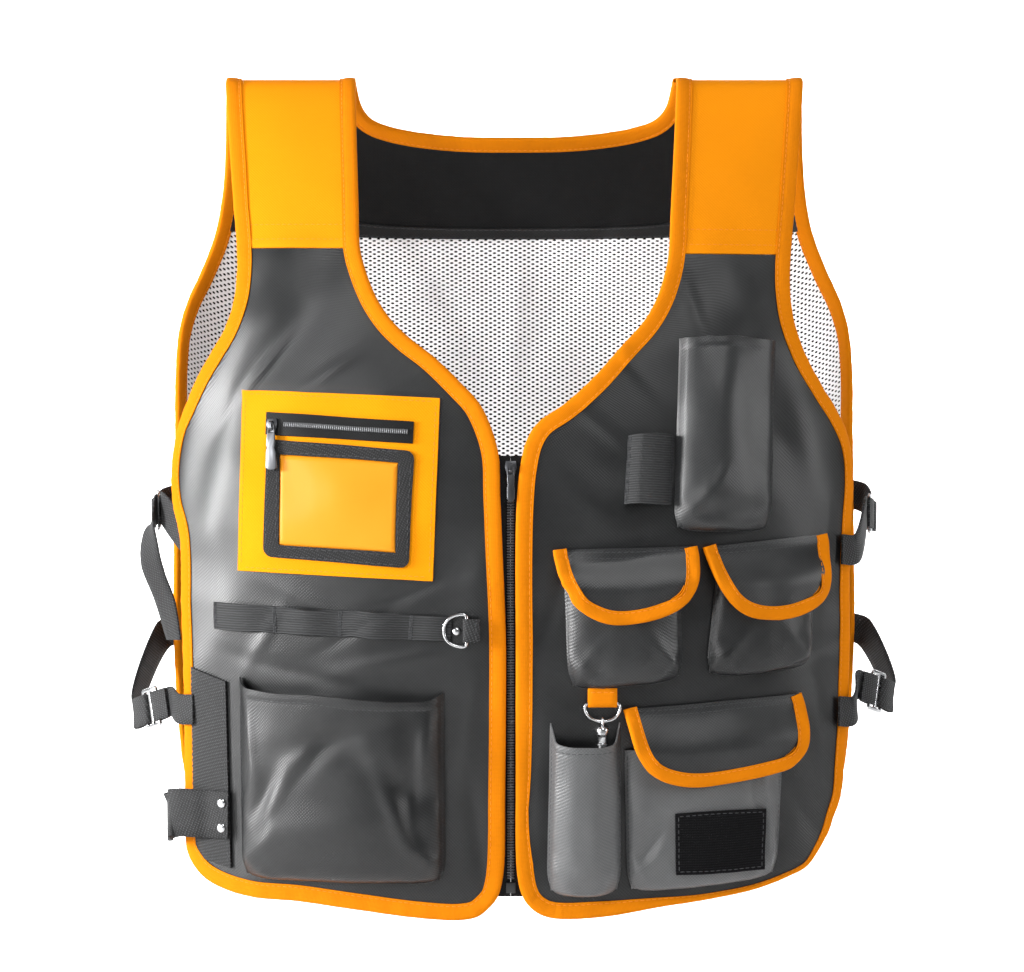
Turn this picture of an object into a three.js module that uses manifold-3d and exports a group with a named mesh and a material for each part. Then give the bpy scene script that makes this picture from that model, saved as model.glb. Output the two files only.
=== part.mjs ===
// A utility work vest as it hangs on a wearer: x to the wearer's left, y to the back, z up, in mm.
// The origin is where the shoulders carry it: mid-width, mid-depth, level with the crest of the straps.

import * as THREE from "three";
import { mergeVertices } from "three/addons/utils/BufferGeometryUtils.js";
import Module from "manifold-3d";

const wasm = await Module();
wasm.setup();

// Driving sizes
const LONG = 590;
const HALF_WIDE = 252;
const FRONT_DEEP = 125;
const BACK_DEEP = 115;
const ROUND = 2.4;
const CLOTH = 1.6;
const THIN = 1.2;
const NET = 0.5;
const TAPE_WIDE = 11.6;
const TAPE_THICK = 1;
const WEB_WIDE = 21;
const WEB_THICK = 1.6;
const GAP = 0.3;

// Heights over the middle of the cloth, worked out from the layers that lie on one another
const CHANNEL = CLOTH / 2 + 0.8;
const TAPE_TOP = CHANNEL + TAPE_THICK;
const SEWN = CLOTH / 2 + 0.8;
const EDGE_INSET = TAPE_THICK + 0.8;

const FRONT = "front";
const BACK = "back";

const COLOURS = {
  darkCloth: 0x3a3b3d,
  blackCloth: 0x17181a,
  orange: 0xf29a12,
  amber: 0xf6a81c,
  netWhite: 0xc9cacb,
  webbing: 0x242528,
  elastic: 0x4a4b4d,
  steel: 0xc4c6c8,
  clear: 0xf2b24a,
  greyCloth: 0x77787a,
};

// Tables: rows become objects with the column names
function table(columns, rows) {
  return rows.map((row) => Object.fromEntries(columns.map((name, i) => [name, row[i]])));
}

// The value of a column at a place down a table, on a curve that never overshoots its rows
function follow(rows, by, at, column) {
  const last = rows.length - 1;
  let k = 0;
  while (k < last - 1 && at > rows[k + 1][by]) k += 1;
  const slope = (i) => {
    if (i < 0 || i >= last) return null;
    return (rows[i + 1][column] - rows[i][column]) / (rows[i + 1][by] - rows[i][by]);
  };
  const tangent = (i) => {
    const before = slope(i - 1) ?? slope(i);
    const after = slope(i) ?? slope(i - 1);
    return before * after <= 0 ? 0 : (2 * before * after) / (before + after);
  };
  const span = rows[k + 1][by] - rows[k][by];
  const t = THREE.MathUtils.clamp((at - rows[k][by]) / span, 0, 1);
  const start = rows[k][column] * (1 + 2 * t) * (1 - t) ** 2 + tangent(k) * span * t * (1 - t) ** 2;
  const end = rows[k + 1][column] * (3 - 2 * t) * t ** 2 - tangent(k + 1) * span * (1 - t) * t ** 2;
  return start + end;
}

// The wearer's body: half width and depth, as shares, down the length of the vest
const FORMS = {
  front: {
    facing: -1,
    deep: FRONT_DEEP,
    rows: table(["down", "wide", "deep"], [
      [0, 0.94, 0],
      [0.005, 0.94, 0.09],
      [0.02, 0.94, 0.17],
      [0.05, 0.94, 0.27],
      [0.1, 0.945, 0.41],
      [0.2, 0.955, 0.62],
      [0.3, 0.97, 0.78],
      [0.42, 0.985, 0.92],
      [0.55, 1, 1],
      [0.7, 1, 0.99],
      [0.85, 0.995, 0.95],
      [1, 0.99, 0.92],
    ]),
  },
  back: {
    facing: 1,
    deep: BACK_DEEP,
    rows: table(["down", "wide", "deep"], [
      [0, 0.94, 0],
      [0.005, 0.94, 0.09],
      [0.02, 0.94, 0.19],
      [0.05, 0.94, 0.33],
      [0.1, 0.945, 0.52],
      [0.2, 0.985, 0.78],
      [0.3, 1.005, 0.92],
      [0.42, 1.02, 1],
      [0.55, 1.025, 0.98],
      [0.7, 1.025, 0.92],
      [0.85, 1.02, 0.9],
      [1, 1.02, 0.93],
    ]),
  },
};

// Folds of the cloth: a ridge or a dent each, centred across and down, its half length and half width in mm,
// its turn from level in degrees and its height in mm
const FOLD_COLUMNS = ["across", "down", "long", "wide", "turn", "high"];
const FOLDS = {
  front: table(FOLD_COLUMNS, [
    [-0.73, 0.31, 48, 13, 62, 3],
    [-0.62, 0.33, 44, 14, 58, -2.5],
    [-0.86, 0.46, 40, 12, 80, -2.5],
    [-0.83, 0.52, 60, 14, 76, 2],
    [-0.86, 0.6, 50, 12, 95, -2],
    [-0.1, 0.64, 60, 14, 80, 2],
    [-0.84, 0.68, 45, 14, 60, 2],
    [0.66, 0.3, 40, 13, 118, 2],
    [0.82, 0.45, 46, 13, 104, 2.5],
    [0.2, 0.5, 44, 16, 130, 2],
    [0.15, 0.7, 40, 14, 60, 2],
    [0.86, 0.66, 60, 13, 90, -2.5],
  ]),
  back: table(FOLD_COLUMNS, [
    [0.35, 0.3, 90, 26, 65, 3],
    [-0.4, 0.33, 90, 26, 115, 3],
    [0.6, 0.24, 60, 18, 40, -2.5],
    [-0.66, 0.25, 60, 18, 140, -2.5],
    [0, 0.62, 130, 40, 90, -3],
    [0.45, 0.78, 100, 30, 80, 3],
    [-0.45, 0.76, 100, 30, 100, 3],
  ]),
};

function foldAt(side, x, z) {
  let high = 0;
  for (const fold of FOLDS[side]) {
    const turn = THREE.MathUtils.degToRad(fold.turn);
    const dx = x - fold.across * HALF_WIDE;
    const dz = z + fold.down * LONG;
    const along = (dx * Math.cos(turn) + dz * Math.sin(turn)) / fold.long;
    const aside = (dz * Math.cos(turn) - dx * Math.sin(turn)) / fold.wide;
    high += fold.high * Math.exp(-along * along - aside * aside);
  }
  return high;
}

// A point of the cloth's middle on one side of the body
function clothAt(side, x, z) {
  const form = FORMS[side];
  const down = THREE.MathUtils.clamp(-z / LONG, 0, 1);
  const wide = HALF_WIDE * follow(form.rows, "down", down, "wide");
  const deep = form.deep * follow(form.rows, "down", down, "deep");
  const share = Math.min(Math.abs(x) / wide, 0.995);
  const out = deep * (1 - share ** ROUND) ** (1 / ROUND) + foldAt(side, x, z);
  return new THREE.Vector3(x, form.facing * out, z);
}

function normalAt(side, x, z) {
  if (z > -0.01) return new THREE.Vector3(0, 0, 1);
  const step = Math.min(2, -z / 2);
  const across = clothAt(side, x + 2, z).sub(clothAt(side, x - 2, z));
  const up = clothAt(side, x, z + step).sub(clothAt(side, x, z - step));
  const normal = across.cross(up).normalize();
  return normal.y * FORMS[side].facing < 0 ? normal.negate() : normal;
}

// A point at a height over the cloth's middle; cloth that ends on the crest stops just short of it
function raised(side, x, z, lift) {
  const spot = clothAt(side, x, z).addScaledVector(normalAt(side, x, z), lift);
  if (z > -0.01) spot.y = (FORMS[side].facing * GAP) / 2;
  return spot;
}

// Bodies: each ring is a row of points round a section, of an even number; rings are skinned and the ends capped
function loft(rings, closed = false) {
  const count = rings[0].length;
  const spots = rings.flat();
  const faces = [];
  const quad = (a, b, c, d) => faces.push([a, b, c], [a, c, d]);
  const quadBack = (a, b, c, d) => faces.push([b, c, d], [b, d, a]);
  const bands = closed ? rings.length : rings.length - 1;
  for (let i = 0; i < bands; i += 1) {
    const near = i * count;
    const far = ((i + 1) % rings.length) * count;
    for (let k = 0; k < count; k += 1) {
      const next = (k + 1) % count;
      const split = k < count / 2 ? quad : quadBack;
      split(near + k, near + next, far + next, far + k);
    }
  }
  if (!closed) {
    const end = (rings.length - 1) * count;
    for (let k = 0; k < count / 2 - 1; k += 1) {
      const across = count - 1 - k;
      quad(across, across - 1, k + 1, k);
      quad(end + k, end + k + 1, end + across - 1, end + across);
    }
  }
  return facesOut(spots, faces);
}

// A geometry whose faces point out, whatever way round its rings were given
function facesOut(spots, faces) {
  let volume = 0;
  for (const [a, b, c] of faces) {
    volume += spots[a].dot(new THREE.Vector3().crossVectors(spots[b], spots[c]));
  }
  const turned = volume < 0 ? faces.map(([a, b, c]) => [a, c, b]) : faces;
  const geometry = new THREE.BufferGeometry().setFromPoints(spots);
  geometry.setIndex(turned.flat());
  return geometry;
}

// A sheet of cloth of one thickness through a grid of points, rows of equal length
function sheet(grid, thick) {
  const rows = grid.length - 1;
  const columns = grid[0].length - 1;
  const rings = grid.map((row, j) => {
    const normals = row.map((spot, i) => {
      const across = grid[j][Math.min(i + 1, columns)].clone().sub(grid[j][Math.max(i - 1, 0)]);
      const up = grid[Math.min(j + 1, rows)][i].clone().sub(grid[Math.max(j - 1, 0)][i]);
      return across.cross(up).normalize();
    });
    const over = row.map((spot, i) => spot.clone().addScaledVector(normals[i], thick / 2));
    const under = row.map((spot, i) => spot.clone().addScaledVector(normals[i], -thick / 2));
    return [...over, ...under.reverse()];
  });
  return loft(rings);
}

// The body of a closed mesh for a join or a cut, and back
function solidOf(geometry) {
  const bare = new THREE.BufferGeometry().setAttribute("position", geometry.getAttribute("position"));
  if (geometry.index) bare.setIndex(geometry.index);
  const merged = mergeVertices(bare, 1e-4);
  return new wasm.Manifold(
    new wasm.Mesh({
      numProp: 3,
      vertProperties: merged.attributes.position.array,
      triVerts: new Uint32Array(merged.index.array),
    }),
  );
}

function geometryOf(solid) {
  const mesh = solid.getMesh();
  const geometry = new THREE.BufferGeometry();
  geometry.setAttribute("position", new THREE.BufferAttribute(mesh.vertProperties, mesh.numProp));
  geometry.setIndex(new THREE.BufferAttribute(mesh.triVerts, 1));
  return geometry;
}

const joined = (...geometries) => geometryOf(geometries.map(solidOf).reduce((sum, one) => sum.add(one)));
const cut = (whole, ...tools) =>
  geometryOf(tools.map(solidOf).reduce((rest, tool) => rest.subtract(tool), solidOf(whole)));

// The group that holds the vest; every sub-part is a named mesh in it
const vest = new THREE.Group();
vest.name = "work_vest";

function addPart(name, geometry, colour, roughness = 0.85, metalness = 0) {
  const material = new THREE.MeshStandardMaterial({ color: colour, roughness, metalness });
  const mesh = new THREE.Mesh(geometry, material);
  mesh.name = name;
  vest.add(mesh);
  return mesh;
}

// Outlines: spots as shares of the half width (to the wearer's left) and of the length (downwards)
const spotAt = (across, down) => new THREE.Vector2(across * HALF_WIDE, -down * LONG);

// The direction into the cloth, at right angles to its edge, at each spot of an edge path
function edgeStations(side, path, inward) {
  return path.map((spot, k) => {
    const before = path[Math.max(k - 1, 0)];
    const after = path[Math.min(k + 1, path.length - 1)];
    const run = clothAt(side, after.x, after.y).sub(clothAt(side, before.x, before.y));
    const normal = normalAt(side, spot.x, spot.y);
    const into = new THREE.Vector3().crossVectors(normal, run).normalize().multiplyScalar(inward);
    return { spot, normal, into };
  });
}

// A spot moved into the cloth by a distance
function insetSpot({ spot, into }, distance) {
  return new THREE.Vector2(spot.x + into.x * distance, Math.min(spot.y + into.z * distance, 0));
}

// A grid of spots between four edges, each edge a row of spots
function fillGrid(left, right, low, top) {
  const rows = left.length - 1;
  const columns = low.length - 1;
  const share = (edge, k) => {
    let sum = 0;
    const sums = edge.map((spot, i) => (sum += i ? spot.distanceTo(edge[i - 1]) : 0));
    return sums[k] / sum;
  };
  return left.map((leftSpot, j) =>
    low.map((lowSpot, i) => {
      const u = (share(low, i) + share(top, i)) / 2;
      const v = (share(left, j) + share(right, j)) / 2;
      const level = leftSpot.clone().lerp(right[j], u);
      const upright = lowSpot.clone().lerp(top[i], v);
      const foot = left[0].clone().lerp(right[0], u);
      const head = left[rows].clone().lerp(right[rows], u);
      return level.add(upright).sub(foot.lerp(head, v));
    }),
  );
}

// The two fronts: each row is one section, from the hem up to the shoulder seam, as shares away from the middle
const FRONT_COLUMNS = ["inner", "innerDown", "outer", "outerDown"];
const SPOT_COLUMNS = ["across", "down"];
const FRONTS = {
  right: {
    away: -1,
    rows: table(FRONT_COLUMNS, [
      [0.071, 0.986, 0.893, 0.941],
      [0.046, 0.973, 0.907, 0.928],
      [0.033, 0.956, 0.912, 0.91],
      [0.026, 0.931, 0.913, 0.866],
      [0.024, 0.858, 0.914, 0.8],
      [0.022, 0.76, 0.915, 0.72],
      [0.022, 0.67, 0.922, 0.642],
      [0.031, 0.57, 0.928, 0.553],
      [0.037, 0.505, 0.947, 0.521],
      [0.041, 0.46, 0.955, 0.489],
      [0.059, 0.43, 0.951, 0.456],
      [0.093, 0.399, 0.936, 0.422],
      [0.143, 0.375, 0.912, 0.396],
      [0.215, 0.345, 0.877, 0.363],
      [0.286, 0.321, 0.836, 0.333],
      [0.338, 0.299, 0.802, 0.308],
      [0.378, 0.273, 0.779, 0.277],
      [0.411, 0.238, 0.771, 0.239],
      [0.426, 0.213, 0.773, 0.212],
    ]),
    hem: table(SPOT_COLUMNS, [
      [0.071, 0.986],
      [0.1, 0.995],
      [0.15, 0.999],
      [0.274, 0.996],
      [0.43, 0.988],
      [0.59, 0.98],
      [0.72, 0.977],
      [0.81, 0.968],
      [0.86, 0.957],
      [0.893, 0.941],
    ]),
    strap: { inner: 0.451, outer: 0.823 },
  },
  left: {
    away: 1,
    rows: table(FRONT_COLUMNS, [
      [0.035, 0.98, 0.839, 0.926],
      [0.018, 0.966, 0.866, 0.908],
      [0.008, 0.945, 0.887, 0.885],
      [0.004, 0.915, 0.906, 0.863],
      [0.004, 0.85, 0.917, 0.82],
      [0.004, 0.76, 0.926, 0.765],
      [0.004, 0.67, 0.932, 0.678],
      [0.003, 0.58, 0.932, 0.582],
      [0.006, 0.52, 0.938, 0.53],
      [0.015, 0.475, 0.943, 0.497],
      [0.034, 0.441, 0.941, 0.463],
      [0.066, 0.42, 0.928, 0.433],
      [0.136, 0.399, 0.901, 0.408],
      [0.216, 0.368, 0.851, 0.374],
      [0.293, 0.331, 0.802, 0.334],
      [0.354, 0.302, 0.776, 0.299],
      [0.39, 0.276, 0.767, 0.265],
      [0.416, 0.243, 0.768, 0.238],
      [0.427, 0.22, 0.771, 0.22],
    ]),
    hem: table(SPOT_COLUMNS, [
      [0.035, 0.98],
      [0.065, 0.991],
      [0.108, 0.997],
      [0.25, 0.995],
      [0.407, 0.984],
      [0.53, 0.977],
      [0.65, 0.968],
      [0.74, 0.956],
      [0.807, 0.943],
      [0.839, 0.926],
    ]),
    strap: { inner: 0.462, outer: 0.825 },
  },
};

// Heights of the shoulder yoke's rows, as shares of its seam's depth under the crest
const YOKE_ROWS = [1, 0.74, 0.46, 0.21, 0.06, 0.01, 0];
const YOKE_STOPS = [0, 0.13, 0.5, 0.87, 1];
const SEAM_GAP = 0.3;

// The edge of a front, from the crest down the neckline and zip, along the hem and up the armhole to the crest
function frontPaths({ away, rows, hem, strap }) {
  const top = rows[rows.length - 1];
  const yokeEdge = (seam, seamDown, crest) =>
    YOKE_ROWS.slice(1).map((share) =>
      spotAt(away * THREE.MathUtils.lerp(crest, seam, share), seamDown * share),
    );
  return {
    yokeInner: yokeEdge(top.inner, top.innerDown, strap.inner).reverse(),
    inner: rows.map((row) => spotAt(away * row.inner, row.innerDown)).reverse(),
    hem: hem.slice(1, -1).map((row) => spotAt(away * row.across, row.down)),
    outer: rows.map((row) => spotAt(away * row.outer, row.outerDown)),
    yokeOuter: yokeEdge(top.outer, top.outerDown, strap.outer),
  };
}

// Tape folded over a raw edge: over the cloth, round the edge and under it
function foldedTape(side, stations) {
  return loft(
    stations.map((station) => {
      const leg = insetSpot(station, TAPE_WIDE);
      const tip = (lift) => raised(side, leg.x, leg.y, lift);
      const rim = (inset, lift) =>
        raised(side, station.spot.x, station.spot.y, lift).addScaledVector(station.into, inset);
      return [
        tip(TAPE_TOP),
        rim(0, TAPE_TOP),
        rim(0, -TAPE_TOP),
        tip(-TAPE_TOP),
        tip(-CHANNEL),
        rim(TAPE_THICK, -CHANNEL),
        rim(TAPE_THICK, CHANNEL),
        tip(CHANNEL),
      ];
    }),
  );
}

// Cloth through a grid of spots, between two heights over the body's cloth line
function bodySheet(side, grid, low, high) {
  return loft(
    grid.map((row) => [
      ...row.map((spot) => raised(side, spot.x, spot.y, high)),
      ...row.map((spot) => raised(side, spot.x, spot.y, low)).reverse(),
    ]),
  );
}

// Spots at shares along a straight line
const lineSpots = (from, to, stops) => stops.map((stop) => from.clone().lerp(to, stop));

// Shares of its length at which the spots of an edge lie
function stopsOf(edge) {
  let sum = 0;
  const sums = edge.map((spot, i) => (sum += i ? spot.distanceTo(edge[i - 1]) : 0));
  return sums.map((value) => value / sum);
}

for (const [name, front] of Object.entries(FRONTS)) {
  const paths = frontPaths(front);
  const path = Object.values(paths).flat();
  const stations = edgeStations(FRONT, path, front.away);
  const tight = stations.map((station) => insetSpot(station, EDGE_INSET));
  const yokeCount = YOKE_ROWS.length - 1;
  const rowCount = front.rows.length;
  const hemEnd = yokeCount + rowCount + paths.hem.length;
  const yokeInner = tight.slice(0, yokeCount + 1).reverse();
  const inner = tight.slice(yokeCount, yokeCount + rowCount).reverse();
  const hem = tight.slice(yokeCount + rowCount - 1, hemEnd + 1);
  const outer = tight.slice(hemEnd, hemEnd + rowCount);
  const yokeOuter = tight.slice(hemEnd + rowCount - 1);

  const seam = lineSpots(inner[rowCount - 1], outer[rowCount - 1], stopsOf(hem));
  const panelTop = seam.map((spot) => new THREE.Vector2(spot.x, spot.y - SEAM_GAP));
  inner[rowCount - 1] = panelTop[0];
  outer[rowCount - 1] = panelTop[panelTop.length - 1];
  const panel = fillGrid(inner, outer, hem, panelTop);
  addPart(`${name}_front_panel`, bodySheet(FRONT, panel, -CLOTH / 2, CLOTH / 2), COLOURS.darkCloth);

  const yokeLow = lineSpots(yokeInner[0], yokeOuter[0], YOKE_STOPS);
  yokeLow.forEach((spot) => (spot.y += SEAM_GAP));
  yokeInner[0] = yokeLow[0];
  yokeOuter[0] = yokeLow[yokeLow.length - 1];
  const crest = lineSpots(yokeInner[yokeCount], yokeOuter[yokeCount], YOKE_STOPS);
  const yoke = fillGrid(yokeInner, yokeOuter, yokeLow, crest);
  addPart(`${name}_shoulder_yoke`, bodySheet(FRONT, yoke, -CLOTH / 2, CLOTH / 2), COLOURS.amber);

  addPart(`${name}_front_tape`, foldedTape(FRONT, stations), COLOURS.orange);
}

// The back: its edge from the crest down the armhole and side to the hem's corner, as shares away from the middle
const BACK_SEAM_ROW = 6;
const BACK_CORNER_ROW = 16;
const BACK_EDGE = table(SPOT_COLUMNS, [
  [0.823, 0],
  [0.824, 0.002],
  [0.826, 0.012],
  [0.829, 0.035],
  [0.834, 0.08],
  [0.845, 0.13],
  [0.866, 0.176],
  [0.908, 0.226],
  [0.946, 0.265],
  [0.967, 0.3],
  [0.978, 0.35],
  [0.981, 0.43],
  [0.984, 0.56],
  [0.983, 0.7],
  [0.957, 0.848],
  [0.93, 0.894],
  [0.895, 0.925],
  [0.866, 0.939],
  [0.8, 0.953],
  [0.62, 0.959],
  [0.32, 0.96],
  [0, 0.96],
]);

// The back of the neck, from the crest down and to the middle
const BACK_NECK = table(SPOT_COLUMNS, [
  [0.452, 0],
  [0.451, 0.003],
  [0.447, 0.014],
  [0.437, 0.028],
  [0.411, 0.041],
  [0.345, 0.051],
  [0.19, 0.06],
  [0, 0.062],
]);
const YOKE_SEAM_MIDDLE = 0.182;

function mirrored(rows) {
  const half = rows.map((row) => spotAt(-row.across, row.down));
  const other = rows.slice(0, -1).map((row) => spotAt(row.across, row.down));
  return [...half, ...other.reverse()];
}

const backPath = mirrored(BACK_EDGE);
const neckPath = mirrored(BACK_NECK);
const backStations = edgeStations(BACK, backPath, -1);
const neckStations = edgeStations(BACK, neckPath, 1);
addPart("back_edge_tape", foldedTape(BACK, backStations), COLOURS.orange);
addPart("back_neck_tape", foldedTape(BACK, neckStations), COLOURS.orange);

// A level line across the back between the armholes, sagging to the middle
function backSeam(from, to, stops, lower) {
  return lineSpots(from, to, stops).map((spot, i) => {
    const bow = 4 * stops[i] * (1 - stops[i]);
    const sag = (YOKE_SEAM_MIDDLE * LONG + from.y) * bow;
    return new THREE.Vector2(spot.x, spot.y - sag - lower);
  });
}

{
  const tight = backStations.map((station) => insetSpot(station, EDGE_INSET));
  const tightNeck = neckStations.map((station) => insetSpot(station, EDGE_INSET));
  const last = tight.length - 1;

  const rightSide = tight.slice(0, BACK_SEAM_ROW + 1).reverse();
  const leftSide = tight.slice(last - BACK_SEAM_ROW);
  const rightCrest = lineSpots(rightSide[BACK_SEAM_ROW], tightNeck[0], [0, 0.13, 0.5, 0.87]);
  const leftCrest = rightCrest.map((spot) => new THREE.Vector2(-spot.x, spot.y)).reverse();
  const yokeTop = [...rightCrest, ...tightNeck, ...leftCrest];
  const width = tight[0].x;
  const stops = yokeTop.map((spot) => (spot.x - width) / (-2 * width));
  const yokeLow = backSeam(rightSide[0], leftSide[0], stops, -SEAM_GAP);
  rightSide[0] = yokeLow[0];
  leftSide[0] = yokeLow[yokeLow.length - 1];
  const yoke = rightSide.map((spot, j) => {
    const rise = 1 - spot.y / rightSide[0].y;
    return yokeLow.map((low, i) => {
      const edge = THREE.MathUtils.lerp(spot.x, leftSide[j].x, stops[i]);
      const strapEnd = Math.abs(yokeTop[i].x / width);
      const x = THREE.MathUtils.lerp(yokeTop[i].x, edge, strapEnd ** 6);
      return new THREE.Vector2(x, THREE.MathUtils.lerp(low.y, yokeTop[i].y, rise));
    });
  });
  addPart("back_yoke", bodySheet(BACK, yoke, -CLOTH / 2, CLOTH / 2), COLOURS.blackCloth);

  const right = tight.slice(BACK_SEAM_ROW, BACK_CORNER_ROW + 1).reverse();
  const left = tight.slice(last - BACK_CORNER_ROW, last - BACK_SEAM_ROW + 1);
  const hem = tight.slice(BACK_CORNER_ROW, last - BACK_CORNER_ROW + 1);
  const top = backSeam(right[right.length - 1], left[left.length - 1], stopsOf(hem), SEAM_GAP);
  right[right.length - 1] = top[0];
  left[left.length - 1] = top[top.length - 1];
  const grid = fillGrid(right, left, hem, top);
  addPart("back_net", bodySheet(BACK, grid, -GAP / 2 - NET, -GAP / 2), COLOURS.netWhite);
  addPart("back_panel", bodySheet(BACK, grid, GAP / 2, CLOTH / 2), COLOURS.blackCloth);
}

// Flat pieces sewn on the front: spots at shares across and up inside four corners,
// given from the low corner nearest the wearer's right, anticlockwise as the photo shows them
function cornerSpots(corners, acrossStops, upStops) {
  const [lowRight, lowLeft, topLeft, topRight] = corners.map(([across, down]) => spotAt(across, down));
  return upStops.map((up) => {
    const from = lowRight.clone().lerp(topRight, up);
    return lineSpots(from, lowLeft.clone().lerp(topLeft, up), acrossStops);
  });
}

const evenStops = (count) => Array.from({ length: count + 1 }, (_, i) => i / count);

// A flat piece of cloth, webbing or plastic at a height over the cloth line
function flatLayer(corners, columns, rows, low, thick) {
  const grid = cornerSpots(corners, evenStops(columns), evenStops(rows));
  return bodySheet(FRONT, grid, low, low + thick);
}

function flatPiece(name, corners, columns, rows, low, thick, colour, roughness) {
  return addPart(name, flatLayer(corners, columns, rows, low, thick), colour, roughness);
}

// Layers over the front's cloth line
const LAYER_GAP = 0.8;
const PATCH_TOP = SEWN + THIN;
const ON_PATCH = PATCH_TOP + LAYER_GAP;

// Front zip: two tapes behind the edge tapes, a closed row of teeth, a slider with a pull tab, a bottom box
const ZIP = { across: -0.009, top: 0.458, teethTop: 0.4865, teethLow: 0.9515, low: 0.972 };
const ZIP_TAPE_WIDE = 14;
const ZIP_TAPE_THICK = 0.9;
const TEETH_WIDE = 5;
const TEETH_DEEP = 2.2;
const ZIP_LOW = -TAPE_TOP - LAYER_GAP - ZIP_TAPE_THICK;
const TEETH_LOW = -TAPE_TOP - GAP;

function zipRows(from, to, rows, top, low) {
  return evenStops(rows).map((stop) => {
    const z = -LONG * THREE.MathUtils.lerp(low, top, stop);
    return [new THREE.Vector2(from, z), new THREE.Vector2((from + to) / 2, z), new THREE.Vector2(to, z)];
  });
}

{
  const middle = ZIP.across * HALF_WIDE;
  const half = GAP / 2;
  const rightTape = zipRows(middle - ZIP_TAPE_WIDE, middle - half, 10, ZIP.top, ZIP.low);
  const leftTape = zipRows(middle + half, middle + ZIP_TAPE_WIDE, 10, ZIP.top, ZIP.low);
  const teeth = zipRows(middle - TEETH_WIDE / 2, middle + TEETH_WIDE / 2, 12, ZIP.teethTop, ZIP.teethLow);
  const tapeTop = ZIP_LOW + ZIP_TAPE_THICK;
  addPart("zip_tape_right", bodySheet(FRONT, rightTape, ZIP_LOW, tapeTop), COLOURS.blackCloth);
  addPart("zip_tape_left", bodySheet(FRONT, leftTape, ZIP_LOW, tapeTop), COLOURS.blackCloth);
  const teethBody = bodySheet(FRONT, teeth, TEETH_LOW, TEETH_LOW + TEETH_DEEP);
  addPart("zip_teeth", teethBody, COLOURS.steel, 0.4, 0.6);
}

// A geometry made round its own origin, x across, y up along the cloth, z out of it, set on the front
function setOnFront(geometry, spot, lift, turn = 0) {
  const normal = normalAt(FRONT, spot.x, spot.y);
  const up = new THREE.Vector3().crossVectors(normal, new THREE.Vector3(1, 0, 0)).normalize();
  const across = new THREE.Vector3().crossVectors(up, normal);
  const place = raised(FRONT, spot.x, spot.y, lift);
  const matrix = new THREE.Matrix4().makeBasis(across, up, normal).setPosition(place);
  geometry.rotateZ(turn);
  return geometry.applyMatrix4(matrix);
}

function outline(points) {
  return new THREE.Shape(points.map(([x, y]) => new THREE.Vector2(x, y)));
}

function plate(shape, thick) {
  return new THREE.ExtrudeGeometry(shape, { depth: thick, bevelEnabled: false, curveSegments: 6 });
}

// A slider: a shield-shaped body, and a bridge over which the pull tab's ring hangs
const SLIDER = { wide: 8, long: 10, deep: 4, bridgeWide: 2.2, bridgeLong: 6.6, bridgeHigh: 3.2, bar: 1.2 };
const PULL = { wide: 5, thick: 1.1, ringHole: 4.4, rail: 1, bar: 1.1 };

function sliderGeometry(deep) {
  const half = SLIDER.wide / 2;
  const end = SLIDER.long / 2;
  const shield = outline([
    [-half * 0.62, -end],
    [half * 0.62, -end],
    [half, end * 0.2],
    [half * 0.86, end],
    [-half * 0.86, end],
    [-half, end * 0.2],
  ]);
  const body = plate(shield, deep);
  const reach = SLIDER.bridgeLong / 2;
  const bridge = outline([
    [-reach, -0.5],
    [reach, -0.5],
    [reach, SLIDER.bridgeHigh * 0.6],
    [reach * 0.6, SLIDER.bridgeHigh],
    [-reach * 0.6, SLIDER.bridgeHigh],
    [-reach, SLIDER.bridgeHigh * 0.6],
  ]);
  const hole = new THREE.Path();
  const inner = reach - SLIDER.bar;
  hole.moveTo(-inner, 0.1).lineTo(inner, 0.1).lineTo(inner, SLIDER.bridgeHigh - SLIDER.bar);
  hole.lineTo(-inner, SLIDER.bridgeHigh - SLIDER.bar).closePath();
  bridge.holes.push(hole);
  const arch = plate(bridge, SLIDER.bridgeWide);
  arch.translate(0, 0, -SLIDER.bridgeWide / 2);
  arch.rotateX(Math.PI / 2).rotateZ(Math.PI / 2);
  arch.translate(0, 0, deep);
  return joined(body, arch);
}

// A pull tab that hangs from the middle of its top bar
function pullGeometry(long) {
  const half = PULL.wide / 2;
  const tab = outline([
    [-half, PULL.bar / 2],
    [-half, -long * 0.45],
    [-half * 0.8, -long * 0.5],
    [-half, -long * 0.6],
    [-half, -long + half * 0.6],
    [-half * 0.5, -long],
    [half * 0.5, -long],
    [half, -long + half * 0.6],
    [half, -long * 0.6],
    [half * 0.8, -long * 0.5],
    [half, -long * 0.45],
    [half, PULL.bar / 2],
  ]);
  const hole = new THREE.Path();
  const side = half - PULL.rail;
  hole.moveTo(-side, -PULL.bar / 2).lineTo(-side, -PULL.bar / 2 - PULL.ringHole);
  hole.lineTo(side, -PULL.bar / 2 - PULL.ringHole).lineTo(side, -PULL.bar / 2).closePath();
  tab.holes.push(hole);
  return plate(tab, PULL.thick).translate(0, 0, -PULL.thick / 2);
}

const PULLS = table(["name", "across", "down", "low", "deep", "long"], [
  ["zip", ZIP.across, 0.474, -TAPE_TOP, SLIDER.deep, 23],
  ["id_zip", -0.655, 0.4255, ON_PATCH + 0.9 + GAP, 1.8, 31],
]);

for (const { name, across, down, low, deep, long } of PULLS) {
  const spot = spotAt(across, down);
  const slider = setOnFront(sliderGeometry(deep), spot, low);
  addPart(`${name}_slider`, slider, COLOURS.steel, 0.35, 0.8);
  const pivot = low + deep + (SLIDER.bridgeHigh - SLIDER.bar) / 2;
  addPart(`${name}_pull`, setOnFront(pullGeometry(long), spot, pivot), COLOURS.steel, 0.35, 0.8);
}

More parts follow.
